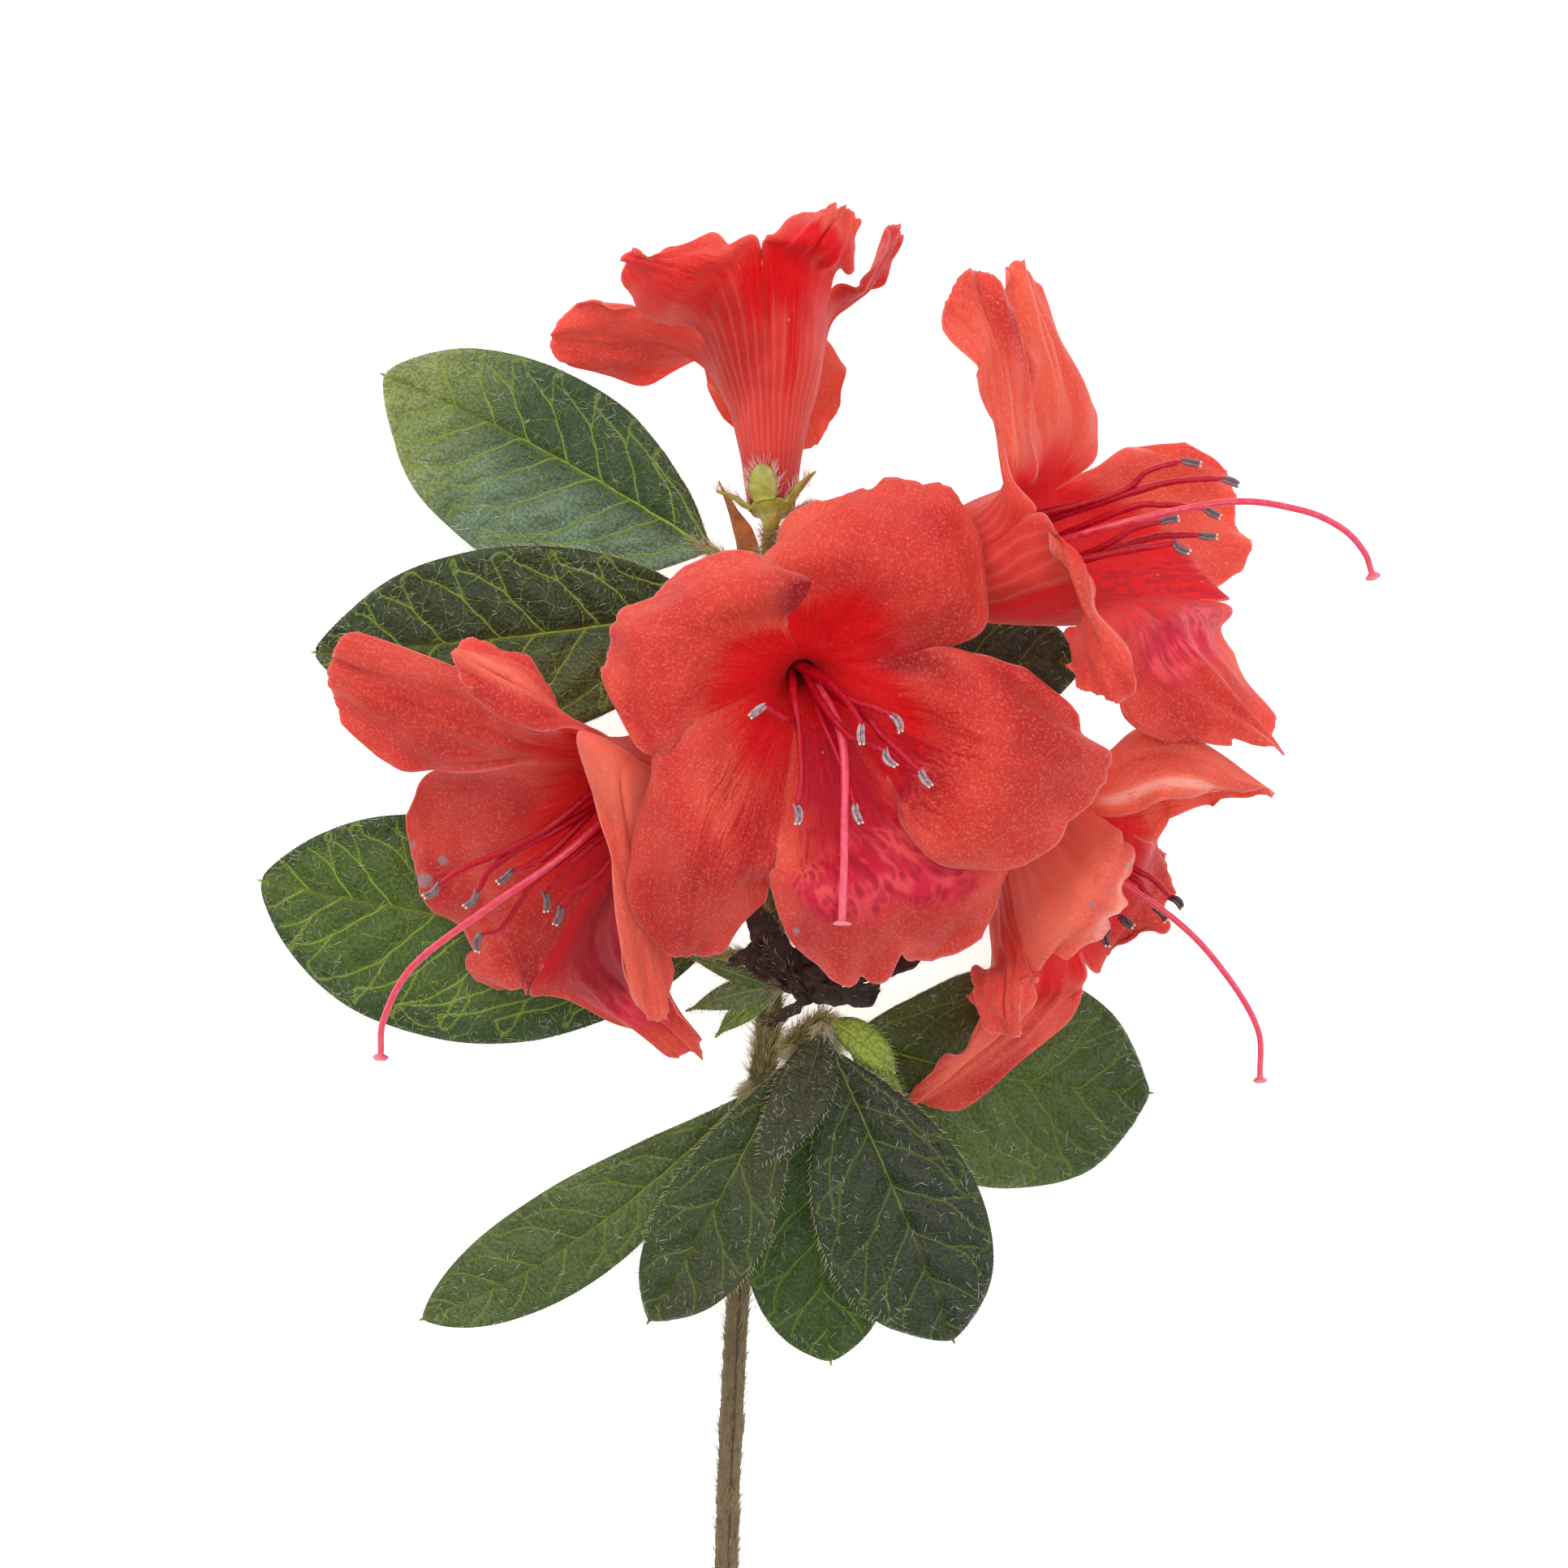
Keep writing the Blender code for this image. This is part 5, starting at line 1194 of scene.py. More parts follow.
def leaf_look(settings):
    look = Shader("leaf green", 0.42)
    _, _, _, blade = look.note("blade")
    nearest, rib, shown, _ = look.note("vein")
    side = look.remap(shown, 0.02, 0.08)
    across, down, seed, _ = look.note("flat")
    where = look.place()
    drift = look.noise(where, 900.0, 2.0)
    patches = look.noise(where, 120.0, 3.0)
    grit = look.noise(where, 3200.0, 1.0, 0.75)
    warp = look.noise(where, 300.0, 2.0)
    beyond = look.plus(across, seed)
    warped = look.vector(
        look.plus(beyond, look.times(warp, 1.8)),
        look.plus(down, look.times(drift, 0.7)),
    )
    net = look.remap(look.cells(warped, 0.27), 0.004, 0.02, 1.0, 0.0)
    small_net = look.remap(look.cells(warped, 0.8), 0.012, 0.05, 1.0, 0.0)
    small_net = look.times(small_net, look.remap(patches, 0.42, 0.6))
    dimples = look.cells(look.vector(beyond, down), 1.9, "F1")
    upper = look.blend(look.remap(patches, 0.3, 0.7, 0.0, 0.4), blade, (0.016, 0.034, 0.008))
    upper = look.blend(look.remap(dimples, 0.25, 0.65, 0.0, 0.38), upper, (0.012, 0.024, 0.006))
    upper = look.blend(look.times(look.remap(nearest, 0.05, 0.35, 0.45, 0.0), shown), upper, settings.veins)
    upper = look.blend(look.remap(grit, 0.54, 0.8, 0.0, 0.24), upper, paint(140, 158, 110))
    upper = look.blend(look.times(look.times(small_net, 0.24), shown), upper, settings.veins)
    upper = look.blend(look.times(look.times(net, 0.7), shown), upper, settings.veins)
    upper = look.blend(look.times(look.remap(rib, 0.15, 0.9, 0.5, 0.0), shown), upper, paint(120, 130, 52))
    under = look.blend(look.times(net, 0.6), settings.under, paint(150, 160, 104))
    skin = look.blend(side, under, upper)
    height = look.plus(look.times(net, -0.4), look.times(grit, 0.45))
    height = look.plus(height, look.times(small_net, -0.25))
    height = look.plus(height, look.times(drift, 0.8))
    height = look.plus(height, look.times(dimples, -0.6))
    look.raise_by(height, 0.26)
    look.surface.inputs["Specular IOR Level"].default_value = 0.36
    look.put(look.surface.inputs["Roughness"], look.remap(grit, 0.2, 0.8, 0.34, 0.58))
    return look.colour(skin)


def vein_look():
    look = Shader("leaf vein", 0.5)
    _, _, _, own = look.note("blade")
    grain = look.noise(look.place(), 900.0, 3.0)
    look.raise_by(grain, 0.08)
    return look.colour(look.blend(look.remap(grain, 0.4, 0.7, 0.0, 0.35), own, (0.06, 0.09, 0.02)))


def grained_look(name, first, second, scale, roughness, height=0.08, third=None):
    """two colours mixed by an uneven grain, with a little relief of the same grain."""
    look = Shader(name, roughness)
    where = look.place()
    grain = look.noise(where, scale, 4.0, 0.6)
    skin = look.blend(look.remap(grain, 0.32, 0.68), first, second)
    if third is not None:
        skin = look.blend(look.remap(look.noise(where, scale * 0.35, 2.0), 0.5, 0.7, 0.0, 0.8), skin, third)
    look.raise_by(grain, height)
    return look.colour(skin)


def stem_look(settings):
    look = Shader("stem bark", 0.7)
    along, turn, _, _ = look.note("limb")
    where = look.place()
    grain = look.noise(look.vector(look.times(along, 26.0), look.times(turn, 5.0), 0.0), 5.0, 4.0, 0.65)
    spots = look.noise(where, 420.0, 3.0)
    skin = look.blend(look.remap(along, 0.35, 0.62), settings.bark, settings.green)
    skin = look.blend(look.remap(grain, 0.4, 0.65, 0.0, 0.55), skin, paint(132, 112, 78))
    skin = look.blend(look.remap(spots, 0.55, 0.72, 0.0, 0.6), skin, paint(74, 52, 38))
    look.raise_by(look.plus(grain, spots), 0.3)
    return look.colour(skin)


def filament_look(settings):
    look = Shader("filament red", 0.38)
    along, _, _, _ = look.note("limb")
    where = look.place()
    grain = look.noise(where, 1500.0, 2.0)
    skin = look.blend(look.remap(along, 0.45, 1.0), paint(170, 0, 22), settings.filament)
    skin = look.blend(look.remap(grain, 0.4, 0.75, 0.0, 0.25), skin, paint(214, 50, 78))
    look.raise_by(grain, 0.05)
    look.surface.inputs["Specular IOR Level"].default_value = 0.25
    look.glow_within(0.15, (1.0, 0.3, 0.3), 0.3)
    return look.colour(skin)


def style_look(settings):
    look = Shader("style pink", 0.32)
    along, _, knob, _ = look.note("limb")
    where = look.place()
    grain = look.noise(where, 1200.0, 2.0)
    skin = look.blend(look.remap(along, 0.1, 0.55), paint(196, 12, 30), settings.style)
    skin = look.blend(look.remap(along, 0.6, 1.0, 0.0, 0.45), skin, paint(234, 110, 128))
    skin = look.blend(look.remap(grain, 0.4, 0.75, 0.0, 0.25), skin, paint(240, 140, 150))
    skin = look.blend(knob, skin, settings.stigma)
    look.raise_by(grain, 0.04)
    look.glow_within(0.2, (1.0, 0.4, 0.4), 0.4)
    return look.colour(skin)


def anther_look(settings):
    look = Shader("anther brown", 0.35)
    along, turn, shade, _ = look.note("limb")
    where = look.place()
    grain = look.noise(where, 1800.0, 2.0)
    silver = look.blend(look.remap(grain, 0.35, 0.7), paint(196, 166, 172), paint(138, 98, 110))
    brown = look.blend(look.remap(grain, 0.35, 0.7), settings.anther, paint(104, 74, 76))
    skin = look.blend(shade, silver, brown)
    # painted shade: dark lines along the sacs where their grooves lie
    groove_shade = look.line(look.plus(look.times(turn, 3.0), 0.2), 0.16)
    skin = look.blend(look.times(groove_shade, 0.8), skin, paint(44, 24, 30))
    skin = look.blend(look.remap(along, 0.88, 0.95), skin, settings.pollen)
    look.raise_by(grain, 0.05)
    return look.colour(skin)


LOOKS = {}


def looks():
    """every material, made once."""
    if not LOOKS:
        scene = bpy.context.scene
        stamens = scene.sprig_stamens
        leaves = scene.sprig_leaves
        stem = scene.sprig_stem
        LOOKS["petal"] = petal_look(scene.sprig_petals)
        LOOKS["leaf"] = leaf_look(leaves)
        LOOKS["stem"] = stem_look(stem)
        LOOKS["filament"] = filament_look(stamens)
        LOOKS["style"] = style_look(stamens)
        LOOKS["anther"] = anther_look(stamens)
        LOOKS["vein"] = vein_look()
        # name, two colours, grain, roughness, and for some the relief and a third colour
        plain = (
            ("leaf hair", leaves.hairs, paint(176, 170, 138), 300.0, 0.45),
            ("edge hair", paint(224, 218, 182), paint(190, 172, 120), 300.0, 0.5),
            ("stem hair", stem.hairs, paint(128, 112, 66), 300.0, 0.5),
            ("golden hair", paint(214, 196, 136), paint(178, 154, 88), 300.0, 0.5),
            ("pale hair", paint(228, 206, 190), paint(216, 180, 168), 300.0, 0.45),
            ("cup green", stem.cup, paint(136, 138, 44), 700.0, 0.5, 0.12, paint(158, 130, 60)),
            ("ovary green", paint(58, 66, 24), paint(34, 38, 14), 900.0, 0.6, 0.15),
            ("withered brown", stem.withered, paint(70, 46, 36), 520.0, 0.75, 0.5, paint(24, 16, 14)),
            ("rusty scale", stem.rust, paint(132, 74, 34), 500.0, 0.6, 0.3, paint(214, 160, 84)),
        )
        for name, *values in plain:
            LOOKS[name] = grained_look(name, *values)
    return LOOKS


# ---- petals -------------------------------------------------------------
def tube_frame(bloom):
    """the tube's base, axis, two cross directions and the turn of the first lobe."""
    base = np.array(bloom["base"], float)
    axis = unit(np.array(bloom["mouth"], float) - base)
    first = unit(np.cross(axis, (0.3, 0.2, 1.0)))
    second = np.cross(axis, first)
    rims = np.array([lobe["middle"][0] for lobe in bloom["lobes"].values()], float) - base
    turns = np.arctan2(rims @ second, rims @ first)
    lag = turns - LOBE_TURN * np.arange(LOBE_COUNT)
    start = math.atan2(np.sin(lag).mean(), np.cos(lag).mean())
    return base, axis, first, second, start


def lobe_net(bloom, number, lobe, tube, across, settings):
    """rows of points from the tube's base to the lobe's tip, with how far along each row is."""
    base, axis, first, second, start = tube
    turns = start + LOBE_TURN * number + across * LOBE_TURN / 2
    ring = np.cos(turns)[:, None] * first + np.sin(turns)[:, None] * second
    notch_one = np.array(bloom["notches"][number], float)
    notch_two = np.array(bloom["notches"][(number + 1) % LOBE_COUNT], float)
    edge_one = np.array(lobe["first"], float)
    middle = np.array(lobe["middle"], float)
    edge_two = np.array(lobe["second"], float)
    profile = bloom.get("tube", TUBE)
    top = profile[-1][0]
    tube_end = base + axis * top + ring * profile[-1][1]
    rim = through_three(notch_one, middle[0], notch_two, across)
    halfway = through_three(edge_one[0], middle[1], edge_two[0], across)
    outer = through_three(edge_one[1], middle[2], edge_two[1], across)
    span = np.linalg.norm(rim - tube_end, axis=1)[:, None]
    leave_tube = (axis * math.cos(TUBE_FLARE) + ring * math.sin(TUBE_FLARE)) * span
    shared = (np.abs(across) ** 3)[:, None]
    at_rim = (halfway - tube_end) / 2 * (1 - shared) + (rim - tube_end) * 0.9 * shared
    at_half = (outer - rim) / 2
    at_end = outer - halfway
    rows = []
    along = []
    for place in np.linspace(0.0, top, TUBE_ROWS + 1)[:-1]:
        radius = np.interp(place, *zip(*profile))
        rows.append(base + axis * place + ring * radius)
        along.append(0.5 * place / top)
    for t in np.linspace(0.0, 1.0, FLARE_ROWS + 1):
        rows.append(hermite(tube_end, rim, leave_tube, at_rim, t))
        along.append(0.5 + 0.5 * t)
    reach = 1 - 0.1 * (1 - np.sqrt(np.clip(1 - np.abs(across) ** 3, 0.0, 1.0)))
    length = np.linalg.norm(outer - halfway, axis=1) * 1.6 + 1.0
    for place, depth, breadth in lobe.get("nicks", ()):
        reach = reach - depth / length * np.exp(-np.abs((across - place) / breadth) ** 1.5)
    rng = np.random.default_rng(31 + 7 * number + len(bloom["anthers"]))
    for waves in (5, 9, 14, 23, 37):
        height = 0.1 / length * rng.uniform(0.4, 1.2)
        reach = reach + height * np.sin(waves * across * 2.2 + rng.uniform(0, 6.3)) * (7.0 / waves) ** 0.4
    for row in range(1, LOBE_ROWS + 1):
        t = 2 * reach * row / LOBE_ROWS
        near = hermite(rim, halfway, at_rim, at_half, np.clip(t, 0, 1))
        far = hermite(halfway, outer, at_half, at_end, np.clip(t - 1, 0, 1.15))
        rows.append(np.where((t > 1)[:, None], far, near))
        along.append(1.0 + row / LOBE_ROWS)
    along = np.array(along)
    net = pushed(np.array(rows), along, across, lobe)
    net = ruffled(net, along, across, 1.9 * number, lobe, settings)
    return rolled(net, along, lobe), along


def pushed(net, along, across, lobe):
    """pulls places on a lobe to where they lie, leaving the edge it shares with its neighbour."""
    out = (along - 1.0)[:, None]
    beside = across[None, :]
    loose = ease((out + 0.45) / 0.5) * (1 - np.abs(beside) ** 6 * (1 - ease(out / 0.3)))
    for place, far, shift, breadth, length in lobe.get("pushes", ()):
        amount = loose * hump(beside, place, breadth) * hump(out, far, length)
        net = net + amount[:, :, None] * np.array(shift)
    return net


def rolled(net, along, lobe):
    """turns bands along a lobe's edges over: side -1 or 1, breadth, turn, start, end."""
    out = (along - 1.0)[:, None]
    for side, breadth, turn, start, end in lobe.get("rolls", ()):
        over = np.gradient(net, axis=1)
        inward = unit(np.cross(np.gradient(net, axis=0), over))
        steps = np.linalg.norm(np.diff(net, axis=1), axis=2)
        run = np.hstack([np.zeros((len(net), 1)), np.cumsum(steps, axis=1)])
        left = run if side < 0 else run[:, -1:] - run
        band = breadth * window(out, start, end, 0.25) * (out > 0)
        past = np.maximum(band - left, 0.0)
        radius = np.maximum(band, 0.001) / abs(turn)
        bent = past / radius
        net = net + unit(over) * side * (radius * np.sin(bent) - past)[:, :, None]
        net = net + inward * (math.copysign(1.0, turn) * radius * (1 - np.cos(bent)))[:, :, None]
    return net


def ruffled(net, along, across, phase, lobe, settings):
    """waves along the free edges of a lobe, with its channel, fine furrows and frill."""
    normals = unit(np.cross(np.gradient(net, axis=0), np.gradient(net, axis=1)))
    out = (along - 1.0)[:, None]
    beside = across[None, :]
    free = ease(out / 0.5) * (out > 0)
    edge = np.maximum(np.abs(beside) ** 3, 0.8 * ease((out - 0.6) / 0.4))
    waves = np.sin(2.6 * math.pi * beside * (0.5 + 0.5 * out) + 6.0 * out + phase)
    lift = settings.ruffle / MM * edge * free * waves
    joined = 1 - np.abs(beside) ** 6 * (1 - free)
    grown = ease((along[:, None] - 0.55) / 0.5) * joined
    lift = lift - 0.3 * grown * hump(beside, 0.0, 0.05 + 0.03 * (2 - along[:, None]))
    for start, end, rise, breadth in lobe.get("folds", ()):
        run = np.array(end) - np.array(start)
        share = (beside - start[0]) * run[0] * 0.3 + (out - start[1]) * run[1]
        share = np.clip(share / (run[0] ** 2 * 0.3 + run[1] ** 2), 0, 1)
        apart = np.hypot((beside - start[0] - share * run[0]) * 9.0, (out - start[1] - share * run[1]) * 16.0)
        lift = lift + rise * grown * hump(apart, 0.0, breadth) * np.sin(math.pi * np.clip(share, 0.08, 0.92))
    furrows = np.sin(np.abs(beside) * 19.0 + 0.9 * np.sin(5.0 * out + phase) + phase)
    lift = lift + 0.035 * grown * furrows * (1 - np.abs(beside) ** 4)
    cross = np.sin(14.0 * out + 3.0 * beside + phase) * np.sin(6.5 * beside - 4.0 * out + 2.0 * phase)
    lift = lift + lobe.get("crumple", 0.16) * grown * cross
    frilled = np.maximum(np.abs(beside) ** 7, ease((out - 0.78) / 0.22)) * free
    small = np.sin(11.0 * beside * (0.6 + 0.4 * out) + 19.0 * out + 2.3 * phase)
    small = small + 0.6 * np.sin(23.0 * beside + 9.0 * out + phase)
    lift = lift + settings.frill / MM * frilled * small * 0.7
    return net + normals * lift[:, :, None]


def margin_distance(net, first_free):
    """how far each point of a lobe is from its free edge, in millimetres."""
    steps = np.linalg.norm(np.diff(net, axis=0), axis=2)
    from_base = np.vstack([np.zeros(net.shape[1]), np.cumsum(steps, axis=0)])
    to_tip = from_base[-1][None, :] - from_base
    steps = np.linalg.norm(np.diff(net, axis=1), axis=2)
    from_first = np.hstack([np.zeros((net.shape[0], 1)), np.cumsum(steps, axis=1)])
    to_side = np.minimum(from_first, from_first[:, -1:] - from_first)
    to_notch = np.maximum(from_base[first_free][None, :] - from_base, 0.0)
    return np.minimum(to_tip, to_side + to_notch)


def patch(given, beside, along, soft):
    """how strongly the given patches (place across, half breadth, start, end, strength) show."""
    total = np.zeros(np.broadcast(beside, along).shape)
    for place, half, start, end, strength in given:
        across = np.clip(1.25 - np.abs(beside - place) / half, 0.0, 1.0)
        total = np.maximum(total, strength * ease(across * 1.3) * window(along, start, end, soft))
    return total


def build_bloom(name, settings, look):
    """tube and five lobes as one thin closed piece."""
    bloom = BLOOMS[name]
    tube = tube_frame(bloom)
    across = np.linspace(-1.0, 1.0, LOBE_COLUMNS + 1)
    joined = TUBE_ROWS + FLARE_ROWS + 1
    rows = joined + LOBE_ROWS
    points = []
    half = []
    notes = {"grown": [], "marks": [], "stain": [], "light_and_shade": []}
    for number, lobe in enumerate(bloom["lobes"].values()):
        net, along = lobe_net(bloom, number, lobe, tube, across, settings)
        points.append(net)
        margin = margin_distance(net, joined - 1)
        beside = np.broadcast_to(across[None, :], net.shape[:2])
        far = np.broadcast_to(along[:, None], net.shape[:2])
        edge = ease(margin / 5.0)
        half.append((settings.edge_thickness * (1 - edge) + settings.thickness * edge) / MM / 2)
        notes["grown"].append(np.stack([np.abs(beside), far, np.ones_like(far)], axis=-1))
        blush = patch(lobe.get("blush", ()), beside, far, 0.3)
        spots = patch(lobe.get("spots", ()), beside, far, 0.25)
        notes["marks"].append(np.stack([blush, np.minimum(margin, 40.0), spots], axis=-1))
        deep = ease((lobe.get("deep", 1.1) + 0.14 * (1 - np.abs(beside)) - far) / 0.42 + 0.5)
        scar = np.zeros_like(far)
        for place, radius in PETAL_SCARS.get(name, ()):
            apart = np.linalg.norm((net - np.array(place))[:, :, :2], axis=2)
            scar = np.maximum(scar, hump(apart, 0.0, radius))
        crimson = patch(bloom.get("crimson", ()), number + beside / 2, far, 0.3)
        notes["stain"].append(np.stack([deep, scar, crimson], axis=-1))
        # painted light and painted shade: light is how much paler the petal is painted, its part below 0 how
        # much darker
        light = lobe.get("light_and_shade", 0.0) * ease((far - 0.7) / 0.5)
        for place, breadth, start, end, strength in lobe.get("light_and_shade_patches", ()):
            light = light + strength * hump(beside, place, breadth) * window(far, start, end, 0.3)
        streaks = patch(lobe.get("streaks", ()), beside, far, 0.3)
        notes["light_and_shade"].append(np.stack([light, np.maximum(-light, 0.0), streaks], axis=-1))
    index = np.arange(LOBE_COUNT * rows * (LOBE_COLUMNS + 1)).reshape(LOBE_COUNT, rows, LOBE_COLUMNS + 1)
    index[:, :joined, -1] = np.roll(index[:, :joined, 0], -1, axis=0)
    quads = sheet_quads(index)
    points = np.array(points).reshape(-1, 3)
    pole = np.full_like(index[:, 0, 1:], len(points))
    closing = np.stack([index[:, 0, 1:], index[:, 0, :-1], pole], axis=-1).reshape(-1, 3)
    points = np.vstack([points, tube[0] - tube[1] * 0.3])
    half = np.append(np.array(half).ravel(), settings.thickness / MM / 2)
    used, back = np.unique(np.concatenate([quads.ravel(), closing.ravel()]), return_inverse=True)
    at_pole = {
        "grown": (0.0, 0.0, 1.0), "marks": (0.0, 40.0, 0.0), "stain": (1.0, 0.0, 0.0),
        "light_and_shade": (0.0, 0.0, 0.0),
    }
    for key, values in notes.items():
        notes[key] = np.vstack([np.array(values).reshape(-1, 3), at_pole[key]])[used]
    faces = [back[:quads.size].reshape(-1, 4), back[quads.size:].reshape(-1, 3)]
    part = shell(points[used], faces, half[used], notes)
    return piece("petals_" + name, [part], look, ["bloom_" + name])


# ---- stamens and styles -------------------------------------------------
def style_line(bloom, base, axis):
    return smooth_line([base + axis * 2.5] + [np.array(point, float) for point in bloom["style"]], 60)


def filament_lines(bloom):
    """each filament's line, from a ring of roots in the tube to the foot of its sacs."""
    base, axis, first, second, _ = tube_frame(bloom)
    style = style_line(bloom, base, axis)
    count = len(bloom["anthers"])
    anthers = np.array(bloom["anthers"], float)
    ways = bloom.get("anther_ways", [axis] * count)
    bends = bloom.get("bends", [[]] * count)
    beside = np.array([style[np.argmin(np.abs((style - anther) @ axis))] for anther in anthers])
    turns = np.arctan2((anthers - beside) @ second, (anthers - beside) @ first)
    order = np.argsort(turns)
    slots = np.radians(np.arange(8) * 45.0 - 135.0)
    ranks = np.sort(turns)
    misses = [float((1 - np.cos(ranks - np.roll(slots, -number)[:count])).sum()) for number in range(8)]
    shift = misses.index(min(misses))
    lines = [None] * count
    for rank, number in enumerate(order):
        foot = anthers[number] - unit(ways[number]) * (0.38 * bloom["anther_length"])
        turn = slots[(rank + shift) % 8]
        spread = unit(first * math.cos(turn) + second * math.sin(turn))
        root = base + axis * 1.5 + spread * 1.0
        throat = base + axis * 13.0 + spread * 0.55 * bloom.get("tube", TUBE)[-1][1]
        given = [np.array(point) for point in bends[number]] or [(throat + foot) / 2 + axis * 1.2]
        lines[number] = smooth_line([root, base + axis * 8.0 + spread * 1.7, throat] + given + [foot], 72)
    return lines


def build_stamens(name, settings, scene_looks):
    """filaments with their pollen sacs, the style with its stigma, and the ovary."""
    bloom = BLOOMS[name]
    base, axis, _, _, _ = tube_frame(bloom)
    rng = np.random.default_rng(7 + len(name))
    style = style_line(bloom, base, axis)
    filaments = []
    sacs = []
    ways = bloom.get("anther_ways", [axis] * len(bloom["anthers"]))
    for line, way in zip(filament_lines(bloom), ways):
        radius = settings.filament_radius / MM
        share = np.linspace(0, 1, len(line))
        radii = radius * (1.3 - 0.45 * share) * (1 - 0.45 * ease((share - 0.96) / 0.04))
        shape = 1 + 0.07 * rng.normal(size=(len(line), 8))
        points, faces = tube_mesh(line, radii, 8, axis, shape)
        filaments.append((points, faces, {"limb": along_note(len(line), 8)}))
        sizes = (bloom["anther_length"], settings.anther_width / MM, bloom.get("anther_shade", 0.5))
        sacs.extend(pollen_sacs(line[-1], unit(way), sizes, rng))
    lift = unit(style[-1] - style[-2])
    share = np.linspace(0, 1, len(style))
    radii = bloom["style_radius"] * (1.1 - 0.16 * share)
    head = style[-1] + lift * np.array([[0.15], [0.32], [0.5], [0.62], [0.72]])
    line = np.vstack([style, head])
    radii = np.concatenate([radii, bloom["style_radius"] * np.array([1.35, 2.0, 2.35, 2.15, 1.5])])
    lobes = 1 + 0.07 * np.cos(5 * np.arange(16) * 2 * math.pi / 16)
    shape = np.ones((len(line), 16))
    shape[-5:] = lobes
    points, faces = tube_mesh(line, radii, 16, axis, shape)
    note = along_note(len(line), 16)
    knob = np.zeros(len(points))
    knob[(len(line) - 4) * 16:len(line) * 16] = 1.0
    knob[-1] = 1.0
    note[:, 2] = knob
    style_part = (points, faces, {"limb": note})
    ovary_line = smooth_line([base + axis * place for place in (0.4, 2.2, 4.2, 5.4)], 12)
    ovary_radii = np.interp(np.linspace(0, 1, 13), (0, 0.4, 0.8, 1), (1.2, 1.5, 1.1, 0.5))
    points, faces = tube_mesh(ovary_line, ovary_radii, 20, axis)
    piece("filaments_" + name, filaments, scene_looks["filament"], ["stamens_" + name])
    piece("anthers_" + name, sacs, scene_looks["anther"])
    piece("style_" + name, [style_part], scene_looks["style"])
    piece("ovary_" + name, [(points, faces, {})], scene_looks["ovary green"])


def pollen_sacs(place, way, sizes, rng):
    """two sacs side by side, grooved along their length and coloured pale at their far end."""
    length, width, shade = sizes
    bow = rng.uniform(-0.6, 0.6)
    turn = unit(np.cross(way, (0.0, 0.0, 1.0)) + 1e-6)
    up = np.cross(turn, way)
    parts = []
    for side in (-1.0, 1.0):
        t = np.linspace(0, 1, 26)
        middle = place + way * ((t - 0.12) * length)[:, None]
        middle = middle + turn * (side * width * (0.19 + 0.03 * np.sin(2.6 * t)))[:, None]
        middle = middle + up * (0.12 * np.sin(math.pi * t) + 0.05 * rng.normal())[:, None]
        middle = middle + turn * (bow * (np.sin(math.pi * t) - 0.5))[:, None]
        size = width * 0.26 * np.clip(1 - np.abs(2 * t - 1) ** 2.6, 0.0, 1.0) ** 0.5
        size = np.maximum(size * (0.92 + 0.1 * t), 0.05)
        size[-2:] = width * 0.12
        sides = 16
        turns = np.arange(sides) * 2 * math.pi / sides
        groove = 1 - 0.2 * np.exp(-((np.cos(turns - 1.0) - 1) / 0.1) ** 2)
        shape = np.ones((26, 1)) * groove[None, :] + 0.03 * rng.normal(size=(26, sides))
        points, faces = tube_mesh(middle, size, sides, turn * side, shape)
        parts.append((points, faces, {"limb": along_note(26, sides, shade)}))
    return parts


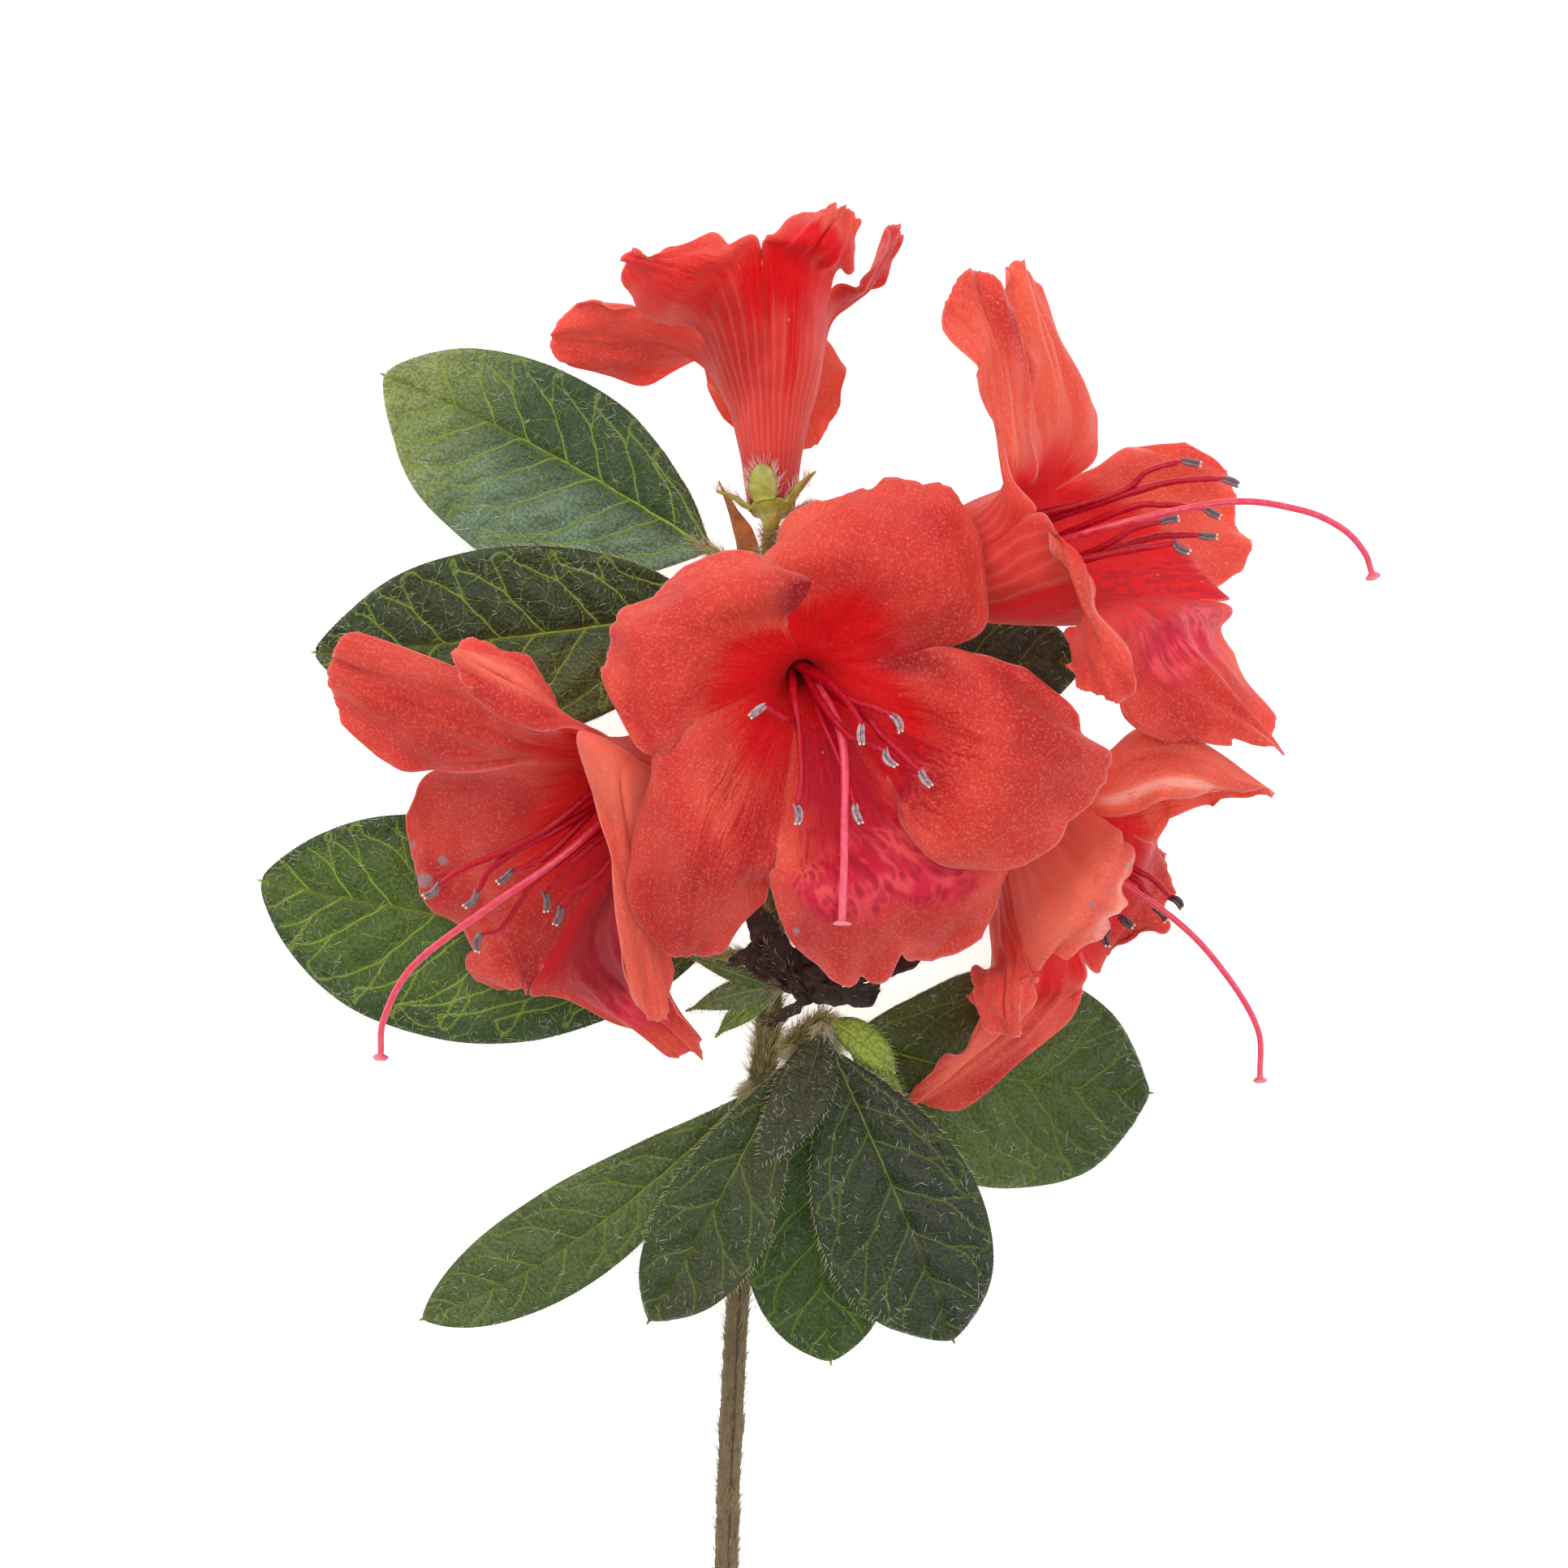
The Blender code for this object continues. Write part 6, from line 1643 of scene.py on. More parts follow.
# ---- flower stalks ------------------------------------------------------
def build_stalk(name, scene_looks):
    """a hairy stalk widening into the cup under the bloom, with five thin green lobes."""
    bloom = BLOOMS[name]
    base = np.array(bloom["base"])
    axis = unit(np.array(bloom["mouth"]) - base)
    rng = np.random.default_rng(101 + len(name) * 3)
    given = [np.array(point) for point in STALKS[name]] + [base - axis * 3.0]
    cup = [base - axis * below for below in (2.4, 1.8, 1.3, 0.9, 0.6)]
    line = np.vstack([smooth_line(given, 40), cup])
    radii = np.interp(np.linspace(0, 1, 41), (0, 0.3, 1), (1.0, 0.92, 0.98))
    radii = np.concatenate([radii, [1.15, 1.5, 2.1, 2.7, 2.9]])
    points, faces = tube_mesh(line, radii, 20, (0, 0, 1), 1 + 0.03 * rng.normal(size=(len(line), 20)))
    parts = [(points, faces, {})]
    roots = []
    leaning = []
    for _ in range(STALK_HAIRS):
        row = rng.uniform(1, 43)
        number = int(row)
        centre = line[number] + (line[number + 1] - line[number]) * (row - number)
        heading = unit(line[number + 1] - line[number])
        out = unit(np.cross(heading, rng.normal(size=3)))
        roots.append(centre + out * np.interp(row, range(len(radii)), radii) * 0.97)
        leaning.append(out * rng.uniform(0.25, 0.9) + heading * rng.uniform(0.5, 1.0))
    first = unit(np.cross(axis, (0.2, 0.1, 1.0)))
    second = np.cross(axis, first)
    outs = []
    for number in range(LOBE_COUNT):
        turn = LOBE_TURN * number + 0.4
        outs.append(first * math.cos(turn) + second * math.sin(turn))
    front_lobe = int(np.argmax([out[2] for out in outs]))
    for number, out in enumerate(outs):
        side = np.cross(axis, out)
        front = number == front_lobe
        reach = 4.4 if front else (3.4, 4.0, 3.0, 3.8, 3.2)[number]
        breadth = 3.7 if front else 1.7
        stand = 0.7 if front else 3.4
        t = np.linspace(0, 1, 22)
        middle = base - axis * 0.9 + out * 2.75 + axis * (reach * (t - 0.02))[:, None]
        middle = middle + out * (0.95 * ease(t * 2.4) + stand * t**2.2)[:, None]
        oval = np.sqrt(np.clip(1 - ((t - 0.42) / 0.6) ** 2, 0, 1))
        pointed = (1 - t) ** 0.7 * (0.7 + 1.0 * t)
        half = np.maximum(breadth / 2 * (oval if front else pointed), 0.06)
        across = np.linspace(-1, 1, 13)
        grid = middle[:, None] + side * (across[None, :] * half[:, None])[:, :, None]
        grid = grid - out * (0.35 * across[None, :] ** 2 * np.ones((22, 1)))[:, :, None]
        grid = grid + out * (0.08 * np.sin(9 * t[:, None] + 5 * across[None, :] + number))[:, :, None]
        parts.append(sheet(grid, 0.13))
        for _ in range(150 if front else 80):
            row = rng.integers(2, 22)
            edge = rng.random() < 0.65
            column = (0 if rng.random() < 0.5 else 12) if edge else rng.integers(1, 12)
            roots.append(grid[row, column])
            ahead = axis * rng.uniform(0.4, 1.1)
            leaning.append(
                ahead + side * across[column] * rng.uniform(0.3, 1.0) + out * rng.uniform(0.2, 0.9)
            )
    piece("stalk_skin_" + name, parts, scene_looks["cup green"], ["stalk_" + name])
    hairs = roots, leaning, rng.uniform(0.9, 2.3, size=len(roots))
    hair_piece("stalk_hairs_" + name, hairs, 0.04, rng, scene_looks["pale hair"])


# ---- leaves -------------------------------------------------------------
class Blade:
    """one leaf's shape: a net of points over its blade and stalk, and places on it."""

    def __init__(self, name, rows, columns):
        base, middle, tip, width, widest, round_base, round_tip, stalk, roll, uneven = LEAVES[name]
        self.width = width
        self.stalk = stalk
        self.rows = rows
        self.columns = columns
        self.share = 1 - (1 - np.linspace(0.0, 1.0, rows + 1)) ** 1.35
        line = through_three(np.array(base), np.array(middle), np.array(tip), self.share * 2 - 1)
        headings = directions(line)
        sides = carried_sides(headings, np.cross((0.0, 0.0, 1.0), headings[0]))
        ups = np.cross(headings, sides)
        lean = math.radians(roll)
        self.sides = sides * math.cos(lean) + ups * math.sin(lean)
        self.ups = ups * math.cos(lean) - sides * math.sin(lean)
        blade = np.clip((self.share - stalk) / (1 - stalk), 0.0, 1.0)
        peak = (widest - stalk) / (1 - stalk)
        near = np.clip(1 - (1 - blade / peak) ** 2, 0.0, 1.0) ** round_base
        out = np.clip((blade - peak) / (1 - peak), 0.0, 1.0)
        far = (1 - out**2) ** round_tip * (1 - 0.3 * out**6)
        half = np.where(blade < peak, near, far) * width / 2
        self.half = np.maximum(half, 0.42 - 0.22 * self.share)
        self.across = np.linspace(-1.0, 1.0, columns + 1)
        self.lop = 1 + uneven * np.sign(self.across)
        self.line = line
        self.headings = headings
        self.down = np.concatenate([[0.0], np.cumsum(np.linalg.norm(np.diff(line, axis=0), axis=1))])
        self.uneven = uneven
        self.offsets = self.across[None, :] * self.half[:, None] * self.lop[None, :]
        lift = 0.16 * np.abs(self.offsets) - 0.012 * self.offsets**2
        self.net = line[:, None, :] + self.sides[:, None, :] * self.offsets[:, :, None]
        self.net = self.net + self.ups[:, None, :] * lift[:, :, None]

    def breadth(self, down, side):
        """the half's width at a place along the midrib."""
        return np.interp(down, self.down, self.half) * (1 + self.uneven * side)

    def row(self, down):
        """the number of the row at a place along the midrib."""
        return int(np.clip(np.interp(down, self.down, np.arange(self.rows + 1)), 0, self.rows))

    def at(self, offset, down, lift):
        """the points at the given distances from and along the midrib, and the ways up there."""
        offset = np.asarray(offset, float)
        down = np.clip(np.asarray(down, float), 0.0, self.down[-1])
        row = np.clip(np.interp(down, self.down, np.arange(self.rows + 1)), 0, self.rows - 1e-6)
        room = np.interp(down, self.down, self.half) * (1 + self.uneven * np.sign(offset))
        column = np.clip((np.clip(offset / room, -1, 1) + 1) / 2 * self.columns, 0, self.columns - 1e-6)
        r = row.astype(int)
        c = column.astype(int)
        fr = (row - r)[..., None]
        fc = (column - c)[..., None]
        net = self.net
        left = net[r, c] * (1 - fr) + net[r + 1, c] * fr
        right = net[r, c + 1] * (1 - fr) + net[r + 1, c + 1] * fr
        place = left * (1 - fc) + right * fc
        along = net[r + 1, c] - net[r, c]
        beside = net[r, c + 1] - net[r, c]
        up = unit(np.cross(along, beside) + 1e-12)
        up = up * np.sign(np.sum(up * self.ups[r], axis=-1, keepdims=True))
        return place + up * lift, up


def vein_lines(blade, rng):
    """side veins as lines of (distance from the midrib, distance along it, breadth)."""
    length = blade.down[-1]
    start = blade.stalk * length
    count = max(5, int(round((length - start) / 6.2)))
    lines = []
    for side in (-1.0, 1.0):
        previous = None
        places = start + (length - start) * (np.linspace(0.03, 0.9, count) ** 1.05)
        places = places + rng.uniform(-0.7, 0.7, size=count) + (1.2 if side > 0 else 0.0)
        for number, place in enumerate(places):
            lean = math.radians(rng.uniform(50, 60) - 16 * number / count)
            vein = [(0.0, place)]
            x, y = 0.0, place
            while True:
                room = float(blade.breadth(y, side))
                share = x / max(room, 0.1)
                if share > 0.8 or y > length - 1.0 or len(vein) > 90:
                    break
                turn = lean - math.radians(34) * ease((share - 0.35) / 0.5)
                turn = turn + math.radians(7) * math.sin(2.2 * x + number)
                x += VEIN_STEP * math.sin(turn)
                y += VEIN_STEP * math.cos(turn)
                vein.append((x, y))
            vein = np.array(vein)
            if len(vein) < 6:
                continue
            lines.append((side, vein, 1.0, 0.55))
            fork = int(len(vein) * rng.uniform(0.45, 0.6))
            if len(vein) > 22:
                x, y = vein[fork]
                turn = lean + math.radians(26)
                branch = [(x, y)]
                for _ in range(60):
                    room = float(blade.breadth(y, side))
                    if x / max(room, 0.1) > 0.88:
                        break
                    turn -= math.radians(0.9)
                    x += VEIN_STEP * math.sin(turn)
                    y += VEIN_STEP * math.cos(turn)
                    branch.append((x, y))
                if len(branch) > 5:
                    lines.append((side, np.array(branch), 0.6, 0.35))
                    if previous is not None and len(previous) > 8:
                        meet = previous[-1]
                        bow = np.linspace(0, 1, 14)[:, None]
                        arch = meet * (1 - bow) + np.array(branch[-1])[None, :] * bow
                        arch = arch + np.array([1.1, 0.0])[None, :] * np.sin(math.pi * bow)
                        lines.append((side, arch, 0.5, 0.4))
            if number > 1 and len(vein) > 14:
                middle = vein[int(len(vein) * 0.32)]
                end = middle + np.array([0.6, 1.0]) * rng.uniform(1.6, 2.8)
                bow = np.linspace(0, 1, 8)[:, None]
                lines.append((side, middle * (1 - bow) + end * bow, 0.45, 0.2))
            previous = vein
    return lines


def vein_distance(offsets, downs, lines):
    """how far each place on the blade is from the nearest side vein."""
    best = np.full(offsets.shape, 50.0)
    for side, line, weight, _ in lines:
        if weight < 0.5:
            continue
        x = line[:, 0] * side
        y = line[:, 1]
        low = y.min() - 4.0
        high = y.max() + 4.0
        rows = np.where((downs[:, 0] > low) & (downs[:, 0] < high))[0]
        if not len(rows):
            continue
        span = slice(rows[0], rows[-1] + 1)
        apart = (offsets[span, :, None] - x) ** 2 + (downs[span, :, None] - y) ** 2
        best[span] = np.minimum(best[span], np.sqrt(apart.min(axis=2)))
    return best


def blade_colours(name, blade, beside):
    """the leaf's own colour at each point of its blade."""
    main, _, others = LEAF_COLOURS[name]
    amounts = {
        "tip": ease((blade.share[:, None] - 0.62) / 0.3) + 0 * beside,
        "right side": ease(beside / 0.5 + 0.1),
        "left side": ease(-beside / 0.5 + 0.1),
        "edges": ease((np.abs(beside) - 0.55) / 0.4),
    }
    colours = np.array(paint(*main)) * np.ones(beside.shape + (1,))
    for other, where in others:
        amount = amounts[where][:, :, None]
        colours = colours * (1 - amount) + np.array(paint(*other)) * amount
    return colours


def vein_ridges(name, blade, lines, size, settings):
    """the midrib above and below the blade, its side veins and its small point."""
    main, shown, _ = LEAF_COLOURS[name]
    own = np.array(settings.veins) * shown + np.array(paint(*main)) * (1 - shown)
    stretch = blade.down[blade.share <= 0.97]
    middle = np.zeros(len(stretch))
    rib_radii = np.interp(stretch / blade.down[-1], (0, blade.stalk, 1), (1.15, 0.66, 0.16))
    rib_radii = rib_radii * (0.5 + 0.5 * size)
    above, _ = blade.at(middle, stretch, 0.1)
    under, _ = blade.at(middle, stretch, -0.35)
    under[:, 2] = np.maximum(under[:, 2], rib_radii + 0.05)
    limbs = [(above, rib_radii * 0.55, 10, (0.3, 0.2, 1)), (under, rib_radii, 12, (0.3, 0.2, 1))]
    for side, line, weight, thin in lines:
        keep = line[line[:, 0] < blade.breadth(line[:, 1], side) * 0.95]
        if len(keep) < 4:
            continue
        place, _ = blade.at(keep[:, 0] * side, keep[:, 1], 0.27)
        radii = settings.vein_radius / MM * weight * np.linspace(1.0, thin, len(keep))
        limbs.append((place, radii * (0.6 + 0.4 * size) * (0.6 + 0.4 * shown), 5, (0.2, 0.3, 1)))
    point = blade.net[-1, blade.columns // 2]
    ahead = blade.headings[-1]
    limbs.append(
        ([point, point + ahead * 0.5, point + ahead * 0.9 * size], [0.22, 0.16, 0.05], 8, (0.3, 0.2, 1))
    )
    ridges = []
    for line, radii, sides, side in limbs:
        points, faces = tube_mesh(line, radii, sides, side)
        ridges.append((points, faces, {"blade": np.tile(own, (len(points), 1))}))
    return ridges


def blade_hairs(blade, size, spacing, length, rng):
    """short hairs all over the upper side of a blade."""
    area = float(np.sum(blade.half[:-1] * 2 * np.diff(blade.down)))
    roots, leaning, lengths = [], [], []
    whole = blade.down[-1]
    for _ in range(int(area / spacing**2)):
        down = rng.uniform(blade.stalk * whole, whole * 0.985)
        side = rng.choice((-1.0, 1.0))
        offset = side * blade.breadth(down, side) * math.sqrt(rng.random()) * 0.98
        place, up = blade.at(np.array([offset]), np.array([down]), 0.2)
        row = blade.row(down)
        roots.append(place[0])
        ahead = blade.headings[row] * rng.uniform(-0.2, 1.2)
        leaning.append(ahead + blade.sides[row] * rng.uniform(-0.8, 0.8) + up[0] * rng.uniform(0.15, 0.5))
        lengths.append(length * rng.uniform(0.6, 1.3) * (0.7 + 0.3 * size))
    return roots, leaning, lengths


def edge_hairs(blade, size, rng):
    """hairs along the edges of a blade, and longer ones round its stalk."""
    roots, leaning, lengths = [], [], []
    whole = blade.down[-1]
    for side in (-1.0, 1.0):
        for down in np.arange(blade.stalk * whole * 0.9, whole * 0.995, 0.48):
            down = down + rng.uniform(-0.1, 0.1)
            edge = side * blade.breadth(down, side) * 0.995
            place, up = blade.at(np.array([edge]), np.array([down]), 0.0)
            row = blade.row(down)
            roots.append(place[0])
            outward = blade.sides[row] * side * rng.uniform(0.5, 1.1)
            leaning.append(
                outward + blade.headings[row] * rng.uniform(0.4, 1.2) + up[0] * rng.uniform(-0.2, 0.5)
            )
            lengths.append(rng.uniform(0.7, 1.5) * (0.6 + 0.4 * size))
    for _ in range(int(520 * size) + 70):
        row = blade.row(rng.uniform(0.0, blade.stalk * whole * 1.45))
        out = unit(np.cross(blade.headings[row], rng.normal(size=3)))
        roots.append(blade.line[row] + out * 0.5)
        leaning.append(out * rng.uniform(0.3, 0.9) + blade.headings[row] * rng.uniform(0.5, 1.2))
        lengths.append(rng.uniform(1.0, 2.5))
    return roots, leaning, lengths


def build_leaf(name, settings, scene_looks):
    """a blade puffed up between its veins, with its vein ridges, hairs and stalk."""
    young = name.startswith("young")
    large = LEAVES[name][3] > 8.0
    rows, columns = (150, 72) if large else (60, 24)
    if young:
        rows, columns = 44, 12
    shown = LEAF_COLOURS[name][1]
    blade = Blade(name, rows, columns)
    rng = np.random.default_rng(sum(ord(letter) for letter in name))
    size = min(1.0, blade.width / 20.0)
    lines = [] if young else vein_lines(blade, rng)
    downs = np.broadcast_to(blade.down[:, None], blade.offsets.shape)
    nearest = vein_distance(blade.offsets, downs, lines) if lines else np.full(blade.offsets.shape, 3.0)
    on_blade = ease((blade.share - blade.stalk - 0.02) / 0.1)[:, None]
    room = np.maximum(blade.half[:, None] * blade.lop[None, :], 0.3)
    inward = (1 - np.abs(blade.offsets) / room) * room
    puff = 0.95 * size * (1 - np.exp(-(nearest / 1.9) ** 2)) - 0.4 * size
    groove = -0.55 * size * hump(blade.offsets, 0.0, 0.55) * on_blade * (1 - 0.5 * blade.share[:, None])
    seed = int(rng.integers(1000))
    uneven = 0.16 * swell(blade.net, 7.0, seed) + 0.07 * swell(blade.net, 2.2, seed + 1)
    waves = 0.55 * size * np.sin(blade.down[:, None] * 0.42 + seed)
    wavy = waves * (np.abs(blade.offsets) / room) ** 2.5 * on_blade
    curl = -0.3 * np.exp(-(inward / 0.55) ** 2) * on_blade
    lift = puff * ease(inward / 2.2) * on_blade + groove + uneven * on_blade * size + wavy + curl
    blade.net = blade.net + blade.ups[:, None, :] * lift[:, :, None]
    blade.net[:, :, 2] = np.maximum(blade.net[:, :, 2], LOWEST)
    index = np.arange(blade.offsets.size).reshape(blade.offsets.shape)
    quads = sheet_quads(index)[:, [0, 3, 2, 1]]
    thick = np.full(index.shape, settings.thickness / MM * (0.72 if young else 1.0))
    thick = np.where(on_blade < 0.4, 0.75, thick)
    thick = thick * (0.45 + 0.55 * ease(inward / 0.9)) if large else thick
    notes = {
        "blade": blade_colours(name, blade, blade.offsets / room),
        "vein": np.stack([nearest, np.abs(blade.offsets), np.full(index.shape, shown)], axis=-1),
        "flat": np.stack([blade.offsets, downs, np.full(index.shape, seed * 0.37)], axis=-1),
    }
    notes = {key: values.reshape(-1, 3) for key, values in notes.items()}
    part = shell(blade.net.reshape(-1, 3), [quads], thick.ravel() / 2, notes)
    piece("blade_" + name, [part], scene_looks["leaf"], [name])
    piece("veins_" + name, vein_ridges(name, blade, lines, size, settings), scene_looks["vein"])
    radius = settings.hair_radius / MM
    spacing = settings.hair_spacing / MM * (1.35 - 0.35 * shown if large else 0.75)
    hairs = blade_hairs(blade, size, spacing, settings.hair_length / MM, rng)
    hair_piece("hairs_" + name, hairs, radius, rng, scene_looks["leaf hair"], 0.3)
    hairs = edge_hairs(blade, size, rng)
    hair_piece("edge_hairs_" + name, hairs, radius * 1.2, rng, scene_looks["edge hair"])


# ---- stem ---------------------------------------------------------------
def stem_shape():
    """the main stem's line and radii."""
    line = smooth_line(STEM_LINE, 420)
    share = np.linspace(0.0, 1.0, len(line))
    radii = STEM_RADIUS + (STEM_TIP_RADIUS - STEM_RADIUS) * share
    for place in STEM_JOINTS:
        radii = radii + 0.24 * hump(line[:, 1], place, 1.6)
    knob = KNOB_RADIUS * np.sqrt(np.clip(1.0 - ((line[:, 1] - 42.0) / 3.2) ** 2, 0.0, 1.0))
    radii = np.maximum(radii, knob)
    ahead = directions(line)[-1] * np.array([[0.4], [0.8], [1.2], [1.5]])
    dome = KNOB_RADIUS * np.array([0.95, 0.85, 0.66, 0.42])
    return np.vstack([line, line[-1] + ahead]), np.concatenate([radii, dome])


def limb_hairs(limb, count, rng, short, long, flat, low, high):
    """hairs over a limb from low to high along it; flat is the share that lie along it."""
    line, radii = limb
    roots, leaning, lengths = [], [], []
    steps = directions(line)
    for _ in range(count):
        row = rng.integers(int(low * (len(line) - 1)), int(high * (len(line) - 1)))
        heading = steps[row]
        out = unit(np.cross(heading, rng.normal(size=3)))
        roots.append(line[row] + heading * rng.uniform(-0.2, 0.2) + out * radii[row] * 0.98)
        lying = rng.random() < flat
        lift = rng.uniform(0.1, 0.32) if lying else rng.uniform(0.5, 1.3)
        ahead = heading * rng.uniform(0.8, 1.1)
        leaning.append(ahead + out * lift + np.cross(heading, out) * rng.uniform(-0.25, 0.25))
        lengths.append(rng.uniform(short, long))
    return roots, leaning, lengths


def build_stem(settings, scene_looks):
    """the hairy main stem, a little thicker at its joints, and the short shoot beside it."""
    line, radii = stem_shape()
    rng = np.random.default_rng(5)
    sides = 28
    turns = np.arange(sides) * 2 * math.pi / sides
    rough = 1 + 0.02 * rng.normal(size=(len(line), sides))
    rough = rough + 0.025 * np.sin(3 * turns[None, :] + line[:, 1:2] * 0.5)
    rough = rough + 0.03 * np.sin(9 * turns[None, :] + 0.8 * np.sin(line[:, 1:2] * 0.7))
    points, faces = tube_mesh(line, radii, sides, (0.3, 0.1, 1.0), rough)
    note = along_note(len(line), sides)
    piece("stem_skin", [(points, faces, {"limb": note})], scene_looks["stem"], ["main_stem"])
    hairs = limb_hairs((line, radii), STEM_HAIRS, rng, 0.9, 1.9, 0.7, 0.01, 0.995)
    hair_piece("stem_hairs", hairs, 0.042, rng, scene_looks["stem hair"])
    hairs = limb_hairs((line, radii), YOUNG_STEM_HAIRS, rng, 1.4, 3.0, 0.25, 0.5, 0.998)
    hair_piece("knob_hairs", hairs, 0.044, rng, scene_looks["golden hair"])
    spur = smooth_line(SPUR_LINE, 48)
    spur_radii = np.interp(np.linspace(0, 3, 49), range(4), SPUR_RADII) * 0.96
    spur_radii[-12:] *= np.sqrt(np.linspace(1.0, 0.08, 12))
    points, faces = tube_mesh(spur, spur_radii, 22, (0.2, 0.3, 1.0), 1 + 0.03 * rng.normal(size=(49, 22)))
    note = along_note(49, 22)
    note[:, 0] = 0.4 + 0.3 * note[:, 0]
    piece("shoot_skin", [(points, faces, {"limb": note})], scene_looks["stem"], ["side_shoot"])
    hairs = limb_hairs((spur, spur_radii), SHOOT_HAIRS, rng, 1.2, 2.8, 0.3, 0.02, 0.99)
    hair_piece("shoot_hairs", hairs, 0.042, rng, scene_looks["golden hair"])


# ---- withered remains and bud scale -------------------------------------
def build_withered(scene_looks):
    """dark dried-up strips crumpled together where an old flower hung."""
    parts = []
    roots, leaning, lengths = [], [], []
    rng = np.random.default_rng(12)
    for number, (given, width, curl) in enumerate(WITHERED_STRIPS):
        line = smooth_line(given, 46)
        headings = directions(line)
        tops = carried_sides(headings, (math.sin(1.3 * number), math.cos(1.3 * number), 1.5))
        sides = np.cross(headings, tops)
        t = np.linspace(0, 1, 47)
        across = np.linspace(-1, 1, 19)
        body = width / 2 * (0.62 + 0.38 * np.sin(math.pi * np.clip(t * 1.1, 0, 1)))
        body = body * (1 - 0.6 * ease((t - 0.8) / 0.2))
        body = body * (1 + 0.16 * np.sin(13 * t + number) + 0.1 * np.sin(29 * t + 2 * number))
        turn = across[None, :] * curl * (1 + 0.35 * np.sin(5 * t[:, None] + number))
        beside = np.sin(turn) / max(curl, 0.3) * body[:, None]
        rise = (1 - np.cos(turn)) * body[:, None] * 0.9
        grid = line[:, None] + sides[:, None] * beside[:, :, None] + tops[:, None] * rise[:, :, None]
        crumple = 0.3 * swell(grid, 3.2, 40 + number) + 0.16 * swell(grid, 1.3, 70 + number)
        grid = grid + tops[:, None] * crumple[:, :, None]
        parts.append(sheet(grid, 0.16 + 0.1 * np.abs(swell(grid, 2.0, 90 + number))))
        for _ in range(46):
            row = rng.integers(6, 47)
            column = rng.integers(0, 19)
            roots.append(grid[row, column])
            ahead = headings[row] * rng.uniform(0.3, 1.2)
            beside = sides[row] * across[column] * rng.uniform(0.2, 0.9)
            leaning.append(ahead + beside + tops[row] * rng.uniform(0.1, 0.8))
            lengths.append(rng.uniform(0.6, 1.6))
    shifts = np.array([(-2.2, -1.0, -0.8), (-0.8, 0.3, 0.2), (0.6, 0.8, 0.6), (1.9, 0.9, 0.2)])
    line = smooth_line(np.array(WITHERED_CORE) + shifts, 30)
    t = np.linspace(0, 1, 31)
    radii = 1.75 * np.sqrt(np.clip(1 - (2 * t - 1) ** 2, 0.02, 1))
    ridges = 0.18 * np.sin(5 * np.arange(24) * 2 * math.pi / 24)
    shape = 1 + 0.11 * rng.normal(size=(31, 24)) + ridges[None, :]
    points, faces = tube_mesh(line, radii, 24, (0, 0, 1), shape)
    parts.append((points, faces, {}))
    piece("withered_strips", parts, scene_looks["withered brown"], ["withered_scales"])
    hair_piece("withered_hairs", (roots, leaning, lengths), 0.035, rng, scene_looks["edge hair"])


def build_bud_scale(scene_looks):
    """the dry scale left beside the top flower stalk."""
    line = smooth_line(BUD_SCALE_LINE, 50)
    headings = directions(line)
    sides = carried_sides(headings, (0.8, 0.1, 0.5))
    tops = np.cross(headings, sides)
    t = np.linspace(0, 1, 51)
    half = np.interp(t, (0, 0.16, 0.4, 0.6, 0.85, 1), (1.3, 1.9, 1.6, 0.8, 0.36, 0.06))
    across = np.linspace(-1, 1, 15)
    turn = across[None, :] * 0.9
    beside = np.sin(turn) / 0.9 * half[:, None]
    rise = (1 - np.cos(turn)) * half[:, None] * 1.2 + 0.1 * np.sin(11 * t)[:, None] * np.abs(across)[None, :]
    grid = line[:, None] + sides[:, None] * beside[:, :, None] + tops[:, None] * rise[:, :, None]
    piece("rusty_scale", [sheet(grid, 0.09)], scene_looks["rusty scale"], ["bud_scale"])


